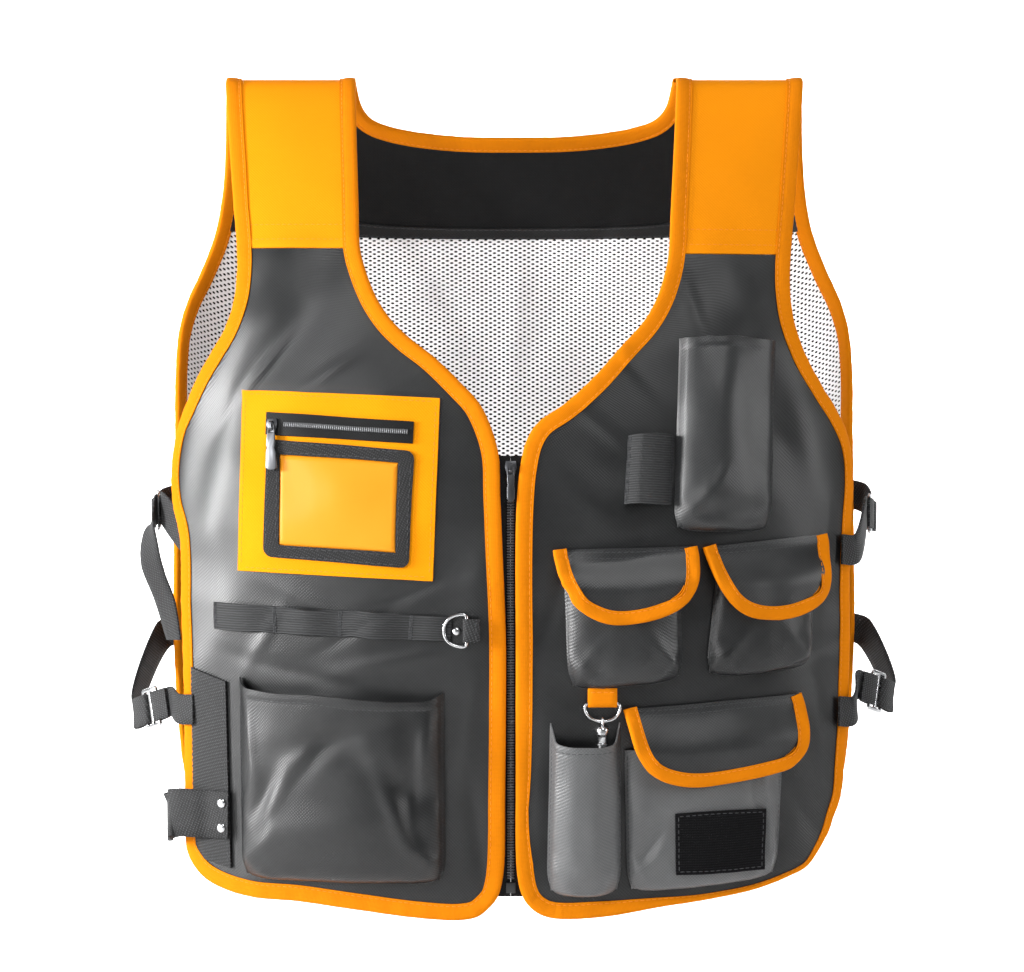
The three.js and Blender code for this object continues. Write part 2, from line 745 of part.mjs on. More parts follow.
{
  const box = new THREE.BoxGeometry(6.4, 7, 3.4);
  const spot = spotAt(ZIP.across, 0.961);
  addPart("zip_box", setOnFront(box, spot, -TAPE_TOP + 1.7), COLOURS.blackCloth, 0.5);
}

// ID pocket on the wearer's right chest: patch, zip, webbing frame and clear window
const FRAME_OUTER = [[-0.679, 0.576], [-0.285, 0.589], [-0.269, 0.455], [-0.672, 0.44]];
const FRAME_INNER = [[-0.637, 0.563], [-0.32, 0.571], [-0.313, 0.468], [-0.636, 0.458]];
const WINDOW = [[-0.634, 0.5615], [-0.323, 0.5695], [-0.316, 0.4695], [-0.633, 0.4595]];
const ID_PATCH = [[-0.753, 0.593], [-0.22, 0.604], [-0.202, 0.393], [-0.745, 0.382]];
const ID_ZIP = [[-0.675, 0.4345], [-0.275, 0.446], [-0.272, 0.421], [-0.673, 0.409]];
const ID_TEETH = [[-0.625, 0.4265], [-0.29, 0.436], [-0.288, 0.43], [-0.623, 0.42]];

flatPiece("id_patch", ID_PATCH, 6, 5, SEWN, THIN, COLOURS.orange);
const idZip = joined(flatLayer(ID_ZIP, 6, 1, ON_PATCH, 0.9), flatLayer(ID_TEETH, 6, 1, ON_PATCH + 0.6, 1.6));
addPart("id_zip_strip", idZip, COLOURS.blackCloth);
flatPiece("id_window", WINDOW, 5, 4, ON_PATCH, 0.6, COLOURS.clear, 0.2);

function frameRing(outer, inner, low, high, perSide) {
  const rings = outer.flatMap((corner, k) => {
    const next = (k + 1) % outer.length;
    return evenStops(perSide).slice(0, -1).map((stop) => {
      const out = spotAt(...corner).lerp(spotAt(...outer[next]), stop);
      const into = spotAt(...inner[k]).lerp(spotAt(...inner[next]), stop);
      return [
        raised(FRONT, out.x, out.y, low),
        raised(FRONT, out.x, out.y, high),
        raised(FRONT, into.x, into.y, high),
        raised(FRONT, into.x, into.y, low),
      ];
    });
  });
  return loft(rings, true);
}
const frame = frameRing(FRAME_OUTER, FRAME_INNER, ON_PATCH, ON_PATCH + 1.4, 4);
addPart("id_window_frame", frame, COLOURS.webbing);

// Pouches and raised loops: a sheet whose height over the cloth follows two profiles
const PROFILE = ["at", "high"];
const POUCH_ACROSS = table(PROFILE, [
  [0, 0],
  [0.03, 0.72],
  [0.09, 1],
  [0.36, 1.03],
  [0.64, 1.03],
  [0.91, 1],
  [0.97, 0.72],
  [1, 0],
]);
const POUCH_UP = table(PROFILE, [
  [0, 0],
  [0.05, 0.8],
  [0.12, 1],
  [0.42, 1.04],
  [0.72, 1.02],
  [1, 1],
]);
const MOUTH_EVEN = table(PROFILE, [[0, 0], [0.09, 0.85], [0.36, 1], [0.64, 1], [0.91, 0.85], [1, 0]]);

// Height of a sewn sheet's middle where it meets the cloth
const SEWN_MIDDLE = SEWN + THIN / 2;

function pouch(name, { corners, deep, dip = 0, across = POUCH_ACROSS, up = POUCH_UP, colour }) {
  const acrossStops = across.map((row) => row.at);
  const upStops = up.map((row) => row.at);
  const grid = cornerSpots(corners, acrossStops, upStops).map((row, j) =>
    row.map((spot, i) => {
      const share = across[i].high * up[j].high;
      const mouth = dip * follow(MOUTH_EVEN, "at", acrossStops[i], "high") * upStops[j] ** 4;
      return raised(FRONT, spot.x, spot.y - mouth, SEWN_MIDDLE + deep * share);
    }),
  );
  return addPart(name, sheet(grid, THIN), colour);
}

const POUCH_CORNERS = {
  cargo_pocket: [[-0.741, 0.952], [-0.188, 0.955], [-0.19, 0.733], [-0.748, 0.718]],
  tool_pocket: [[0.432, 0.546], [0.696, 0.547], [0.716, 0.325], [0.453, 0.323]],
  inner_flap_pocket: [[0.148, 0.729], [0.456, 0.718], [0.448, 0.6], [0.138, 0.602]],
  outer_flap_pocket: [[0.519, 0.715], [0.81, 0.706], [0.818, 0.598], [0.548, 0.602]],
  slim_pocket: [[0.092, 0.957], [0.287, 0.957], [0.286, 0.768], [0.098, 0.768]],
  big_flap_pocket: [[0.308, 0.956], [0.712, 0.938], [0.733, 0.788], [0.3, 0.8]],
};
const FLAP_POUCH_DEEP = 9;
pouch("cargo_pocket", { corners: POUCH_CORNERS.cargo_pocket, deep: 17, dip: 7, colour: COLOURS.darkCloth });
pouch("tool_pocket", { corners: POUCH_CORNERS.tool_pocket, deep: 12, dip: 1, colour: COLOURS.darkCloth });
pouch("slim_pocket", { corners: POUCH_CORNERS.slim_pocket, deep: 14, dip: 15, colour: COLOURS.greyCloth });
for (const name of ["inner_flap_pocket", "outer_flap_pocket", "big_flap_pocket"]) {
  const colour = name === "big_flap_pocket" ? COLOURS.greyCloth : COLOURS.darkCloth;
  pouch(name, { corners: POUCH_CORNERS[name], deep: FLAP_POUCH_DEEP, colour });
}

// Elastic sewn flat at its tacks and standing off the cloth between them
const LEVEL_UP = table(PROFILE, [[0, 1], [0.5, 1], [1, 1]]);
const STRIP_ACROSS = table(PROFILE, [
  [0, 0],
  [0.13, 0.8],
  [0.263, 0],
  [0.4, 1],
  [0.537, 0],
  [0.683, 1],
  [0.829, 0],
  [0.92, 0.4],
  [1, 0],
]);
const LOOP_ACROSS = table(PROFILE, [[0, 0], [0.12, 0.55], [0.3, 0.95], [0.5, 1], [0.72, 0.85], [0.9, 0.4], [1, 0]]);
pouch("loop_strip", {
  corners: [[-0.82, 0.662], [-0.172, 0.674], [-0.166, 0.646], [-0.822, 0.631]],
  deep: 3.5,
  across: STRIP_ACROSS,
  up: LEVEL_UP,
  colour: COLOURS.elastic,
});
pouch("elastic_loop", {
  corners: [[0.299, 0.516], [0.422, 0.516], [0.432, 0.436], [0.313, 0.436]],
  deep: 8,
  across: LOOP_ACROSS,
  up: LEVEL_UP,
  colour: COLOURS.elastic,
});

// Flaps: each row from the low edge up to the sewn top, with its height as a share of what the pouch needs
const FLAP_COLUMNS = ["inner", "innerDown", "outer", "outerDown", "high"];
const FLAPS = {
  inner_flap: {
    rows: table(FLAP_COLUMNS, [
      [0.164, 0.637, 0.471, 0.631, 1],
      [0.135, 0.619, 0.5, 0.611, 1],
      [0.115, 0.595, 0.507, 0.591, 1],
      [0.106, 0.58, 0.501, 0.576, 0.7],
      [0.102, 0.569, 0.495, 0.564, 0],
    ]),
    low: table(SPOT_COLUMNS, [
      [0.205, 0.65],
      [0.252, 0.655],
      [0.304, 0.655],
      [0.361, 0.65],
      [0.424, 0.643],
    ]),
  },
  outer_flap: {
    rows: table(FLAP_COLUMNS, [
      [0.572, 0.631, 0.847, 0.633, 1],
      [0.545, 0.613, 0.867, 0.615, 1],
      [0.524, 0.591, 0.868, 0.59, 1],
      [0.511, 0.577, 0.862, 0.566, 0.7],
      [0.502, 0.565, 0.854, 0.55, 0],
    ]),
    low: table(SPOT_COLUMNS, [
      [0.614, 0.645],
      [0.662, 0.65],
      [0.744, 0.651],
      [0.805, 0.645],
    ]),
  },
  big_flap: {
    rows: table(FLAP_COLUMNS, [
      [0.357, 0.827, 0.778, 0.819, 1],
      [0.331, 0.809, 0.806, 0.805, 1],
      [0.31, 0.784, 0.811, 0.787, 1],
      [0.298, 0.767, 0.802, 0.761, 0.68],
      [0.289, 0.753, 0.783, 0.737, 0],
    ]),
    low: table(SPOT_COLUMNS, [
      [0.399, 0.838],
      [0.451, 0.843],
      [0.515, 0.842],
      [0.594, 0.837],
      [0.674, 0.831],
      [0.734, 0.827],
    ]),
  },
};
const FLAP_CHANNEL = THIN / 2 + 1.1;
const FLAP_TAPE_THICK = 0.8;
const FLAP_TAPE_TOP = FLAP_CHANNEL + FLAP_TAPE_THICK;
const FLAP_LOW = CLOTH / 2 + GAP + FLAP_TAPE_TOP;
const FLAP_HIGH = SEWN + THIN + FLAP_POUCH_DEEP * 1.07 + FLAP_TAPE_TOP + 0.5;

// The spots of a flap's cloth, drawn in from its outline by what the folded tape takes up
function flapGrid(rows, low) {
  const sides = (key) => rows.map((row) => spotAt(row[key], row[`${key}Down`]));
  const inner = sides("inner");
  const outer = sides("outer");
  const foot = [inner[0], ...low.map((row) => spotAt(row.across, row.down)), outer[0]];
  const head = lineSpots(inner[inner.length - 1], outer[outer.length - 1], stopsOf(foot));
  const edge = fillGrid(inner, outer, foot, head);
  const top = head[0].y;
  const middle = (head[0].x + head[head.length - 1].x) / 2;
  const narrow = 1 - EDGE_INSET / (middle - head[0].x);
  const short = 1 - EDGE_INSET / (top - foot[3].y);
  const drawn = (spot) => {
    const x = middle + (spot.x - middle) * narrow;
    return new THREE.Vector2(x, top + (spot.y - top) * short);
  };
  return edge.map((row) => row.map(drawn));
}

// Tape folded over the free edges of a flap: down one side, along the low edge and up the other
function flapTape(grid) {
  const last = grid[0].length - 1;
  const top = grid.length - 1;
  const way = [
    ...grid.map((row, j) => [top - j, 0]),
    ...grid[0].slice(1, last).map((spot, i) => [0, i + 1]),
    ...grid.map((row, j) => [j, last]),
  ];
  const spots = way.map(([j, i]) => grid[j][i]);
  const rings = way.map(([j, i], k) => {
    const run = spots[Math.min(k + 1, spots.length - 1)].clone().sub(spots[Math.max(k - 1, 0)]);
    const across = grid[j][Math.min(i + 1, last)].clone().sub(grid[j][Math.max(i - 1, 0)]);
    const up = grid[Math.min(j + 1, top)][i].clone().sub(grid[Math.max(j - 1, 0)][i]);
    const normal = across.cross(up).normalize();
    const into = new THREE.Vector3().crossVectors(normal, run).normalize();
    const at = (inset, lift) =>
      spots[k].clone().addScaledVector(into, inset - EDGE_INSET).addScaledVector(normal, lift);
    return [
      at(TAPE_WIDE, FLAP_TAPE_TOP),
      at(0, FLAP_TAPE_TOP),
      at(0, -FLAP_TAPE_TOP),
      at(TAPE_WIDE, -FLAP_TAPE_TOP),
      at(TAPE_WIDE, -FLAP_CHANNEL),
      at(TAPE_THICK, -FLAP_CHANNEL),
      at(TAPE_THICK, FLAP_CHANNEL),
      at(TAPE_WIDE, FLAP_CHANNEL),
    ];
  });
  return loft(rings);
}

for (const [name, { rows, low }] of Object.entries(FLAPS)) {
  const grid = flapGrid(rows, low).map((row, j) =>
    row.map((spot) => {
      const lift = THREE.MathUtils.lerp(FLAP_LOW, FLAP_HIGH, rows[j].high);
      return raised(FRONT, spot.x, spot.y, lift);
    }),
  );
  addPart(name, sheet(grid, THIN), COLOURS.darkCloth);
  addPart(`${name}_tape`, flapTape(grid), COLOURS.orange);
}

// A hook-and-loop patch on the big pocket's front
const PATCH_ON_POUCH = SEWN + THIN + FLAP_POUCH_DEEP * 1.07 + 0.6;
const HOOK_PATCH = [[0.434, 0.944], [0.667, 0.94], [0.669, 0.869], [0.428, 0.872]];
flatPiece("hook_patch", HOOK_PATCH, 4, 2, PATCH_ON_POUCH, THIN, COLOURS.blackCloth);

// Webbing and straps: a flat band through a few points, its width along a direction given at each point
function band(points, acrosses, wide, thick, steps) {
  const way = new THREE.CatmullRomCurve3(points, false, "centripetal");
  const rings = evenStops(steps).map((stop) => {
    const place = way.getPoint(stop);
    const run = way.getTangent(stop);
    const at = stop * (acrosses.length - 1);
    const k = Math.min(Math.floor(at), acrosses.length - 2);
    const across = acrosses[k].clone().lerp(acrosses[k + 1], at - k);
    across.addScaledVector(run, -across.dot(run)).normalize().multiplyScalar(wide / 2);
    const out = new THREE.Vector3().crossVectors(run, across).normalize().multiplyScalar(thick / 2);
    const corner = (a, b) => place.clone().addScaledVector(across, a).addScaledVector(out, b);
    return [corner(-1, 1), corner(1, 1), corner(1, -1), corner(-1, -1)];
  });
  return loft(rings);
}

// Webbing that stiffens the wearer's right side, as rows of its two edges
const SIDE_WEBBING = table(FRONT_COLUMNS, [
  [0.775, 0.944, 0.846, 0.924],
  [0.778, 0.905, 0.868, 0.9],
  [0.781, 0.86, 0.874, 0.855],
  [0.785, 0.79, 0.877, 0.78],
  [0.789, 0.724, 0.879, 0.71],
]);
const WEBBING_THICK = 1.6;
const WEBBING_TOP = SEWN + WEBBING_THICK;
{
  const grid = SIDE_WEBBING.map((row) =>
    lineSpots(spotAt(-row.outer, row.outerDown), spotAt(-row.inner, row.innerDown), [0, 0.5, 1]),
  );
  addPart("side_webbing", bodySheet(FRONT, grid, SEWN, WEBBING_TOP), COLOURS.webbing);
}

// A place in the room round the body, as shares of the half width, of the front's depth and of the length
const inRoom = (across, back, down) => new THREE.Vector3(across * HALF_WIDE, back * FRONT_DEEP, -down * LONG);

// Hammer loop: a band doubled on itself that stands out past the edge of the vest
const HAMMER = { down: 0.881, wide: 33, thick: 1.6, low: WEBBING_TOP + 1.6 };
{
  const z = -HAMMER.down * LONG;
  const over = (across, lift) => raised(FRONT, across * HALF_WIDE, z, lift);
  const points = [
    over(-0.849, HAMMER.low),
    over(-0.881, HAMMER.low + 0.4),
    over(-0.909, HAMMER.low + 1.4),
    inRoom(-0.936, -0.43, HAMMER.down + 0.0025),
    inRoom(-0.956, -0.376, HAMMER.down + 0.0065),
    inRoom(-0.966, -0.41, HAMMER.down + 0.0085),
    inRoom(-0.953, -0.492, HAMMER.down + 0.0065),
    over(-0.908, HAMMER.low + 10),
    over(-0.869, HAMMER.low + 5),
    over(-0.837, HAMMER.low + 0.6),
    over(-0.806, HAMMER.low),
    over(-0.778, HAMMER.low),
  ];
  const up = new THREE.Vector3(0, 0, 1);
  const loop = band(points, [up, up], HAMMER.wide, HAMMER.thick, 17);
  addPart("hammer_loop", loop, COLOURS.webbing);
}

// Domed heads of rivets and of the stud in the chest ring
function rivetHead(radius, high) {
  const profile = [
    [0, 0],
    [radius, 0],
    [radius, high * 0.35],
    [radius * 0.62, high * 0.85],
    [0, high],
  ].map(([r, y]) => new THREE.Vector2(r, y));
  return new THREE.LatheGeometry(profile, 8).rotateX(Math.PI / 2);
}

const RIVETS = table(["name", "across", "down", "radius", "high", "low"], [
  ["rivet_upper", -0.795, 0.867, 2.8, 1.3, HAMMER.low + HAMMER.thick / 2 + 0.5],
  ["rivet_lower", -0.796, 0.896, 2.8, 1.3, HAMMER.low + HAMMER.thick / 2 + 0.5],
  ["ring_stud", -0.156, 0.6625, 3, 1.8, SEWN + GAP],
]);

for (const { name, across, down, radius, high, low } of RIVETS) {
  const spot = spotAt(across, down);
  addPart(name, setOnFront(rivetHead(radius, high), spot, low), COLOURS.steel, 0.3, 0.9);
}

// D-rings of round wire: a straight bar with rounded corners and an arc
const RING_SIDES = 6;
function ringWire(wide, deep, wire) {
  const half = wide / 2;
  const bend = 2.2;
  const corners = [
    [-half + bend, 0],
    [half - bend, 0],
    [half - bend * 0.3, -bend * 0.3],
    [half, -bend],
    [half * 0.96, -deep * 0.45],
    [half * 0.72, -deep * 0.8],
    [half * 0.3, -deep * 0.98],
    [-half * 0.3, -deep * 0.98],
    [-half * 0.72, -deep * 0.8],
    [-half * 0.96, -deep * 0.45],
    [-half, -bend],
    [-half + bend * 0.3, -bend * 0.3],
  ].map(([x, y]) => new THREE.Vector3(x, y, 0));
  const rings = corners.map((corner, k) => {
    const before = corners[(k + corners.length - 1) % corners.length];
    const after = corners[(k + 1) % corners.length];
    const run = after.clone().sub(before).normalize();
    const aside = new THREE.Vector3(-run.y, run.x, 0);
    return Array.from({ length: RING_SIDES }, (_, i) => {
      const turn = ((i + 0.5) / RING_SIDES) * 2 * Math.PI;
      const spot = corner.clone().addScaledVector(aside, (Math.cos(turn) * wire) / 2);
      return spot.setZ((Math.sin(turn) * wire) / 2);
    });
  });
  return loft(rings, true);
}

// A ring's tab: a band that goes round the ring's bar, closed at its sewn end
function ringTab(place, wide, thick, clear, reach) {
  const round = clear + thick / 2;
  const path = [
    [reach, -round * 0.45],
    [reach * 0.4, -round * 0.95],
    [0, -round],
    [-round * 0.75, -round * 0.7],
    [-round, 0],
    [-round * 0.75, round * 0.7],
    [0, round],
    [reach * 0.4, round * 0.95],
    [reach, round * 0.45],
  ].map(([along, out]) => place(along, out));
  const across = place(0, 0, 1).sub(place(0, 0, 0));
  return band(path, [across, across], wide, thick, 16);
}

const CHEST_RING = { across: -0.127, down: 0.6615, lift: 4.2, wide: 22, deep: 15.5, wire: 2.2, tab: 16, reach: 9 };
const HANGING_RING = { across: 0.2385, down: 0.7455, lift: 5.8, wide: 24, deep: 12, wire: 2.2, tab: 20, reach: 10.5 };
const RING_CLEAR = 0.5;
const TAB_THICK = 1;

// A place beside a ring's bar: along the cloth away from the arc, out of the cloth, and along the bar
function besideBar(spot, lift, turn) {
  const normal = normalAt(FRONT, spot.x, spot.y);
  const up = new THREE.Vector3().crossVectors(normal, new THREE.Vector3(1, 0, 0)).normalize();
  const across = new THREE.Vector3().crossVectors(up, normal);
  const away = up.clone().multiplyScalar(Math.cos(turn)).addScaledVector(across, -Math.sin(turn));
  const bar = new THREE.Vector3().crossVectors(away, normal);
  const centre = raised(FRONT, spot.x, spot.y, lift);
  return (along, out, aside = 0) =>
    centre.clone().addScaledVector(away, along).addScaledVector(normal, out).addScaledVector(bar, aside);
}

const RINGS = [
  { name: "chest", ring: CHEST_RING, turn: -Math.PI / 2, colour: COLOURS.webbing },
  { name: "hanging", ring: HANGING_RING, turn: 0, colour: COLOURS.orange },
];
for (const { name, ring, turn, colour } of RINGS) {
  const spot = spotAt(ring.across, ring.down);
  const wire = setOnFront(ringWire(ring.wide, ring.deep, ring.wire), spot, ring.lift, turn);
  addPart(`${name}_ring`, wire, COLOURS.steel, 0.25, 0.95);
  const place = besideBar(spot, ring.lift, turn);
  const tab = ringTab(place, ring.tab, TAB_THICK, ring.wire / 2 + RING_CLEAR, ring.reach);
  addPart(`${name}_ring_tab`, tab, colour);
}

// Snap hook on the hanging ring: an eye round the ring's wire, a turned collar and stem, and a closed hook
const SNAP = { eye: 3.3, wire: 1.7, collar: 3.2, stem: 1.9, hookWide: 13, hookLong: 22, hookWire: 2.6 };
function wireLoop(points, wire, sides) {
  const rings = points.map((point, k) => {
    const before = points[(k + points.length - 1) % points.length];
    const after = points[(k + 1) % points.length];
    const run = after.clone().sub(before).normalize();
    const aside = new THREE.Vector3().crossVectors(run, new THREE.Vector3(0, 0, 1));
    return Array.from({ length: sides }, (_, i) => {
      const turn = ((i + 0.5) / sides) * 2 * Math.PI;
      const spot = point.clone().addScaledVector(aside, (Math.cos(turn) * wire) / 2);
      return spot.setZ(point.z + (Math.sin(turn) * wire) / 2);
    });
  });
  return loft(rings, true);
}

{
  const spot = spotAt(HANGING_RING.across, HANGING_RING.down);
  const ringLow = -HANGING_RING.deep * 0.98;
  const eyeCentre = ringLow - SNAP.eye + SNAP.wire / 2 + HANGING_RING.wire / 2 + 0.5;
  const eyePoints = Array.from({ length: 12 }, (_, i) => {
    const turn = (i / 12) * 2 * Math.PI;
    return new THREE.Vector3(Math.cos(turn) * SNAP.eye, Math.sin(turn) * SNAP.eye, 0);
  });
  const eye = wireLoop(eyePoints, SNAP.wire, 6).rotateY(Math.PI / 2).translate(0, eyeCentre, 0);
  const collarTop = eyeCentre - SNAP.eye + SNAP.wire * 0.2;
  const stemLow = collarTop - 17;
  const shaft = new THREE.LatheGeometry(
    [
      [0, stemLow],
      [SNAP.stem, stemLow],
      [SNAP.stem, collarTop - 7.5],
      [SNAP.collar * 0.85, collarTop - 5.5],
      [SNAP.collar, collarTop - 2],
      [SNAP.collar * 0.75, collarTop],
      [0, collarTop],
    ].map(([r, y]) => new THREE.Vector2(r, y)),
    8,
  );
  const half = SNAP.hookWide / 2;
  const hookPoints = [
    [0, 0],
    [half * 0.75, -1.2],
    [half, -5],
    [half, -SNAP.hookLong * 0.65],
    [half * 0.72, -SNAP.hookLong * 0.9],
    [0, -SNAP.hookLong],
    [-half * 0.72, -SNAP.hookLong * 0.9],
    [-half, -SNAP.hookLong * 0.65],
    [-half, -5],
    [-half * 0.75, -1.2],
  ].map(([x, y]) => new THREE.Vector3(x, y + stemLow + 0.6, 0));
  const hook = wireLoop(hookPoints, SNAP.hookWire, 6);
  const lever = new THREE.BoxGeometry(3.4, 5, 1.6).translate(half + 0.6, stemLow - 1.4, 0);
  const snap = joined(eye, shaft, hook, lever);
  addPart("snap_hook", setOnFront(snap, spot, HANGING_RING.lift), COLOURS.steel, 0.25, 0.95);
}

// Side straps: each front strap and each back strap turns round a bar of a slide buckle and is sewn to itself
const BUCKLE = { wide: 29, long: 18, bar: 2.6, thick: 2.4, slotEnd: 2.8 };

function buckleGeometry() {
  const half = { wide: BUCKLE.wide / 2, long: BUCKLE.long / 2 };
  const corner = 1.6;
  const rim = outline([
    [-half.long + corner, -half.wide],
    [half.long - corner, -half.wide],
    [half.long, -half.wide + corner],
    [half.long, half.wide - corner],
    [half.long - corner, half.wide],
    [-half.long + corner, half.wide],
    [-half.long, half.wide - corner],
    [-half.long, -half.wide + corner],
  ]);
  const slot = half.wide - BUCKLE.slotEnd;
  const hole = half.long - 1.5 * BUCKLE.bar;
  const slots = [-1, 1].map((side) =>
    new THREE.BoxGeometry(hole, 2 * slot, 2 * BUCKLE.thick).translate((side * (hole + BUCKLE.bar)) / 2, 0, 0),
  );
  return cut(plate(rim, BUCKLE.thick).translate(0, 0, -BUCKLE.thick / 2), ...slots);
}

// A strap's way round a bar, as places along and out from the buckle's middle, starting at its own panel
const TURN_WAY = table(["along", "out"], [
  [-24, -1],
  [-14, -2.2],
  [-8.4, -2.5],
  [-5, -1.9],
  [-3.8, 0],
  [-5, 1.9],
  [-8.4, 2.5],
  [-14, 2.2],
  [-21, 1],
]);

const BUCKLE_COLUMNS = ["name", "across", "back", "down", "lead", "roll"];
const ANCHOR_COLUMNS = ["frontAcross", "frontDown", "frontLift", "frontRise", "backAcross", "backDown"];
const SEWN_LENGTH = 10;
const OVER_TAPE = TAPE_TOP + 1.8;
const UNDER_TAPE = -TAPE_TOP - 1.6;
const BACK_LIFT = TAPE_TOP + 1.6;
const BACK_TURN = { across: 1.016, back: 0.36 };
const STRAPS = table([...BUCKLE_COLUMNS, ...ANCHOR_COLUMNS], [
  ["right_upper", -1.016, -0.048, 0.525, -12, 8, -0.869, 0.563, UNDER_TAPE, 0, -0.921, 0.508],
  ["right_lower", -1.02, -0.272, 0.761, -40, 14, -0.877, 0.758, OVER_TAPE, 0.8, -0.929, 0.671],
  ["left_upper", 1.016, -0.048, 0.529, 12, -6, 0.897, 0.569, OVER_TAPE, 0.8, 0.921, 0.502],
  ["left_lower", 1.024, -0.208, 0.742, 38, -14, 0.889, 0.761, OVER_TAPE, 0.8, 0.929, 0.668],
]);

// The free end of the wearer's upper right strap turns down and hangs, with the direction of its width
const TAIL = table(["across", "back", "down", "wideX", "wideY", "wideZ"], [
  [-1.02, -0.232, 0.536, 0.15, -0.75, 0.6],
  [-1.028, -0.216, 0.563, 0.6, -0.8, 0.1],
  [-1.024, -0.16, 0.593, 0.8, -0.6, 0],
  [-0.992, -0.096, 0.634, 0.75, -0.65, 0],
  [-0.968, -0.072, 0.681, 0.55, -0.83, 0],
]);

for (const strap of STRAPS) {
  const away = Math.sign(strap.across);
  const lead = THREE.MathUtils.degToRad(strap.lead);
  const along = new THREE.Vector3(Math.sin(lead), Math.cos(lead), 0);
  const out = new THREE.Vector3(away * Math.cos(lead), -away * Math.sin(lead), 0);
  const high = new THREE.Vector3(0, 0, 1);
  const roll = THREE.MathUtils.degToRad(strap.roll);
  along.applyAxisAngle(out, roll);
  high.applyAxisAngle(out, roll);
  const centre = inRoom(strap.across, strap.back, strap.down);
  const turned = new THREE.Vector3().crossVectors(along, high).dot(out) < 0 ? -1 : 1;
  const matrix = new THREE.Matrix4().makeBasis(along, high, out.clone().multiplyScalar(turned));
  addPart(
    `${strap.name}_buckle`,
    buckleGeometry().applyMatrix4(matrix.setPosition(centre)),
    COLOURS.steel,
    0.35,
    0.85,
  );
  const near = (row, end) =>
    centre.clone().addScaledVector(along, -end * row.along).addScaledVector(out, row.out);
  const upright = new THREE.Vector3(0, 0, 1);
  const frontEnd = spotAt(strap.frontAcross, strap.frontDown);
  const frontWay = [
    raised(FRONT, frontEnd.x, frontEnd.y, strap.frontLift),
    raised(FRONT, frontEnd.x + away * SEWN_LENGTH, frontEnd.y, strap.frontLift + strap.frontRise),
    ...TURN_WAY.map((row) => near(row, -1)),
  ];
  let acrosses = [upright, high, high];
  if (strap.name === "right_upper") {
    frontWay.pop();
    const looped = frontWay.map((_, k) => (k < 2 ? upright : high));
    const hanging = TAIL.map((row) => new THREE.Vector3(row.wideX, row.wideY, row.wideZ));
    acrosses = [...looped, ...hanging];
    frontWay.push(...TAIL.map((row) => inRoom(row.across, row.back, row.down)));
  }
  const front = band(frontWay, acrosses, WEB_WIDE, WEB_THICK, acrosses.length > 3 ? 30 : 16);
  addPart(`${strap.name}_front_strap`, front, COLOURS.webbing);
  const backEnd = spotAt(strap.backAcross, strap.backDown);
  const backWay = [
    raised(BACK, backEnd.x, backEnd.y, BACK_LIFT),
    raised(BACK, backEnd.x + away * SEWN_LENGTH, backEnd.y - 1, BACK_LIFT),
    inRoom(away * BACK_TURN.across, BACK_TURN.back, strap.backDown + 0.007),
    ...TURN_WAY.map((row) => near(row, 1)),
  ];
  const back = band(backWay, [upright, high, high], WEB_WIDE, WEB_THICK, 17);
  addPart(`${strap.name}_back_strap`, back, COLOURS.webbing);
}

export default vest;
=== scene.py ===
"""Looks of a utility work vest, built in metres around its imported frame.

The vest is shown as it is worn, with no wearer: x to the wearer's left, y to the back, z up.
Sizes are in millimetres until a mesh is made, as the cutting tables of the pieces are.
"""

import logging
import math
from dataclasses import dataclass, field
from enum import Enum
from typing import Iterable, Sequence

import bmesh
import bpy
import numpy as np
from mathutils import Matrix, Vector


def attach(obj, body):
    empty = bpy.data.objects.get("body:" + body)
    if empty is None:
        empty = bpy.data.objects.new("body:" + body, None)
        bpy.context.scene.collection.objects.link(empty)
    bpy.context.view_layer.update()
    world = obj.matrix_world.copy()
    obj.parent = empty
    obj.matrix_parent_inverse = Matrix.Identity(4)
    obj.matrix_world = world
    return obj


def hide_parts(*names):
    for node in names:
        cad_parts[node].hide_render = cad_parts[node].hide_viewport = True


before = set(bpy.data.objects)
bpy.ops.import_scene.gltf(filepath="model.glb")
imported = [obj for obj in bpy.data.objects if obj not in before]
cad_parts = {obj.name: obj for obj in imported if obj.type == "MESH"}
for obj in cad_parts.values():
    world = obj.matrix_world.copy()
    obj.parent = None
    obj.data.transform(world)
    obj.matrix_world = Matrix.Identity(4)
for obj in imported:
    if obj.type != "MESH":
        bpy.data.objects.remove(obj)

log = logging.getLogger("vest")

MM = 0.001
LONG = 590.0
HALF_WIDE = 252.0
FRONT_DEEP = 125.0
BACK_DEEP = 115.0
ROUND = 2.4
CLOTH = 1.6
THIN = 1.2
NET = 0.5
TAPE_WIDE = 11.6
TAPE_THICK = 1.0
WEB_WIDE = 21.0
WEB_THICK = 1.6
GAP = 0.3
CHANNEL = CLOTH / 2 + 0.8
TAPE_TOP = CHANNEL + TAPE_THICK
SEWN = CLOTH / 2 + 0.8
EDGE_INSET = TAPE_THICK + 0.8
LAYER_GAP = 0.8
PATCH_TOP = SEWN + THIN
ON_PATCH = PATCH_TOP + LAYER_GAP
VEST = "vest"
UP = np.array([0.0, 0.0, 1.0])
ACROSS = np.array([1.0, 0.0, 0.0])
CREST = -0.01
CREASE_SCALE = 1.5
UNEVEN = 0.45
UNEVEN_SIZE = 62.0
UNEVEN_SEED = 3
PLAIN_DOWN = 0.02
FADE_DOWN = 0.15
FRONT_GRID = (215, 84)
SHOULDER_GRID = (60, 44)
BACK_YOKE_GRID = (60, 180)
BACK_GRID = (150, 150)
FLAP_GRID = (46, 90)


class Side(Enum):
    """The two sides of the wearer's body that the cloth follows."""

    FRONT = "front"
    BACK = "back"


class Held(Enum):
    """How a piece of cloth is held."""

    STRETCHED = "stretched"
    HUNG = "hung"
    FOLDED = "folded"


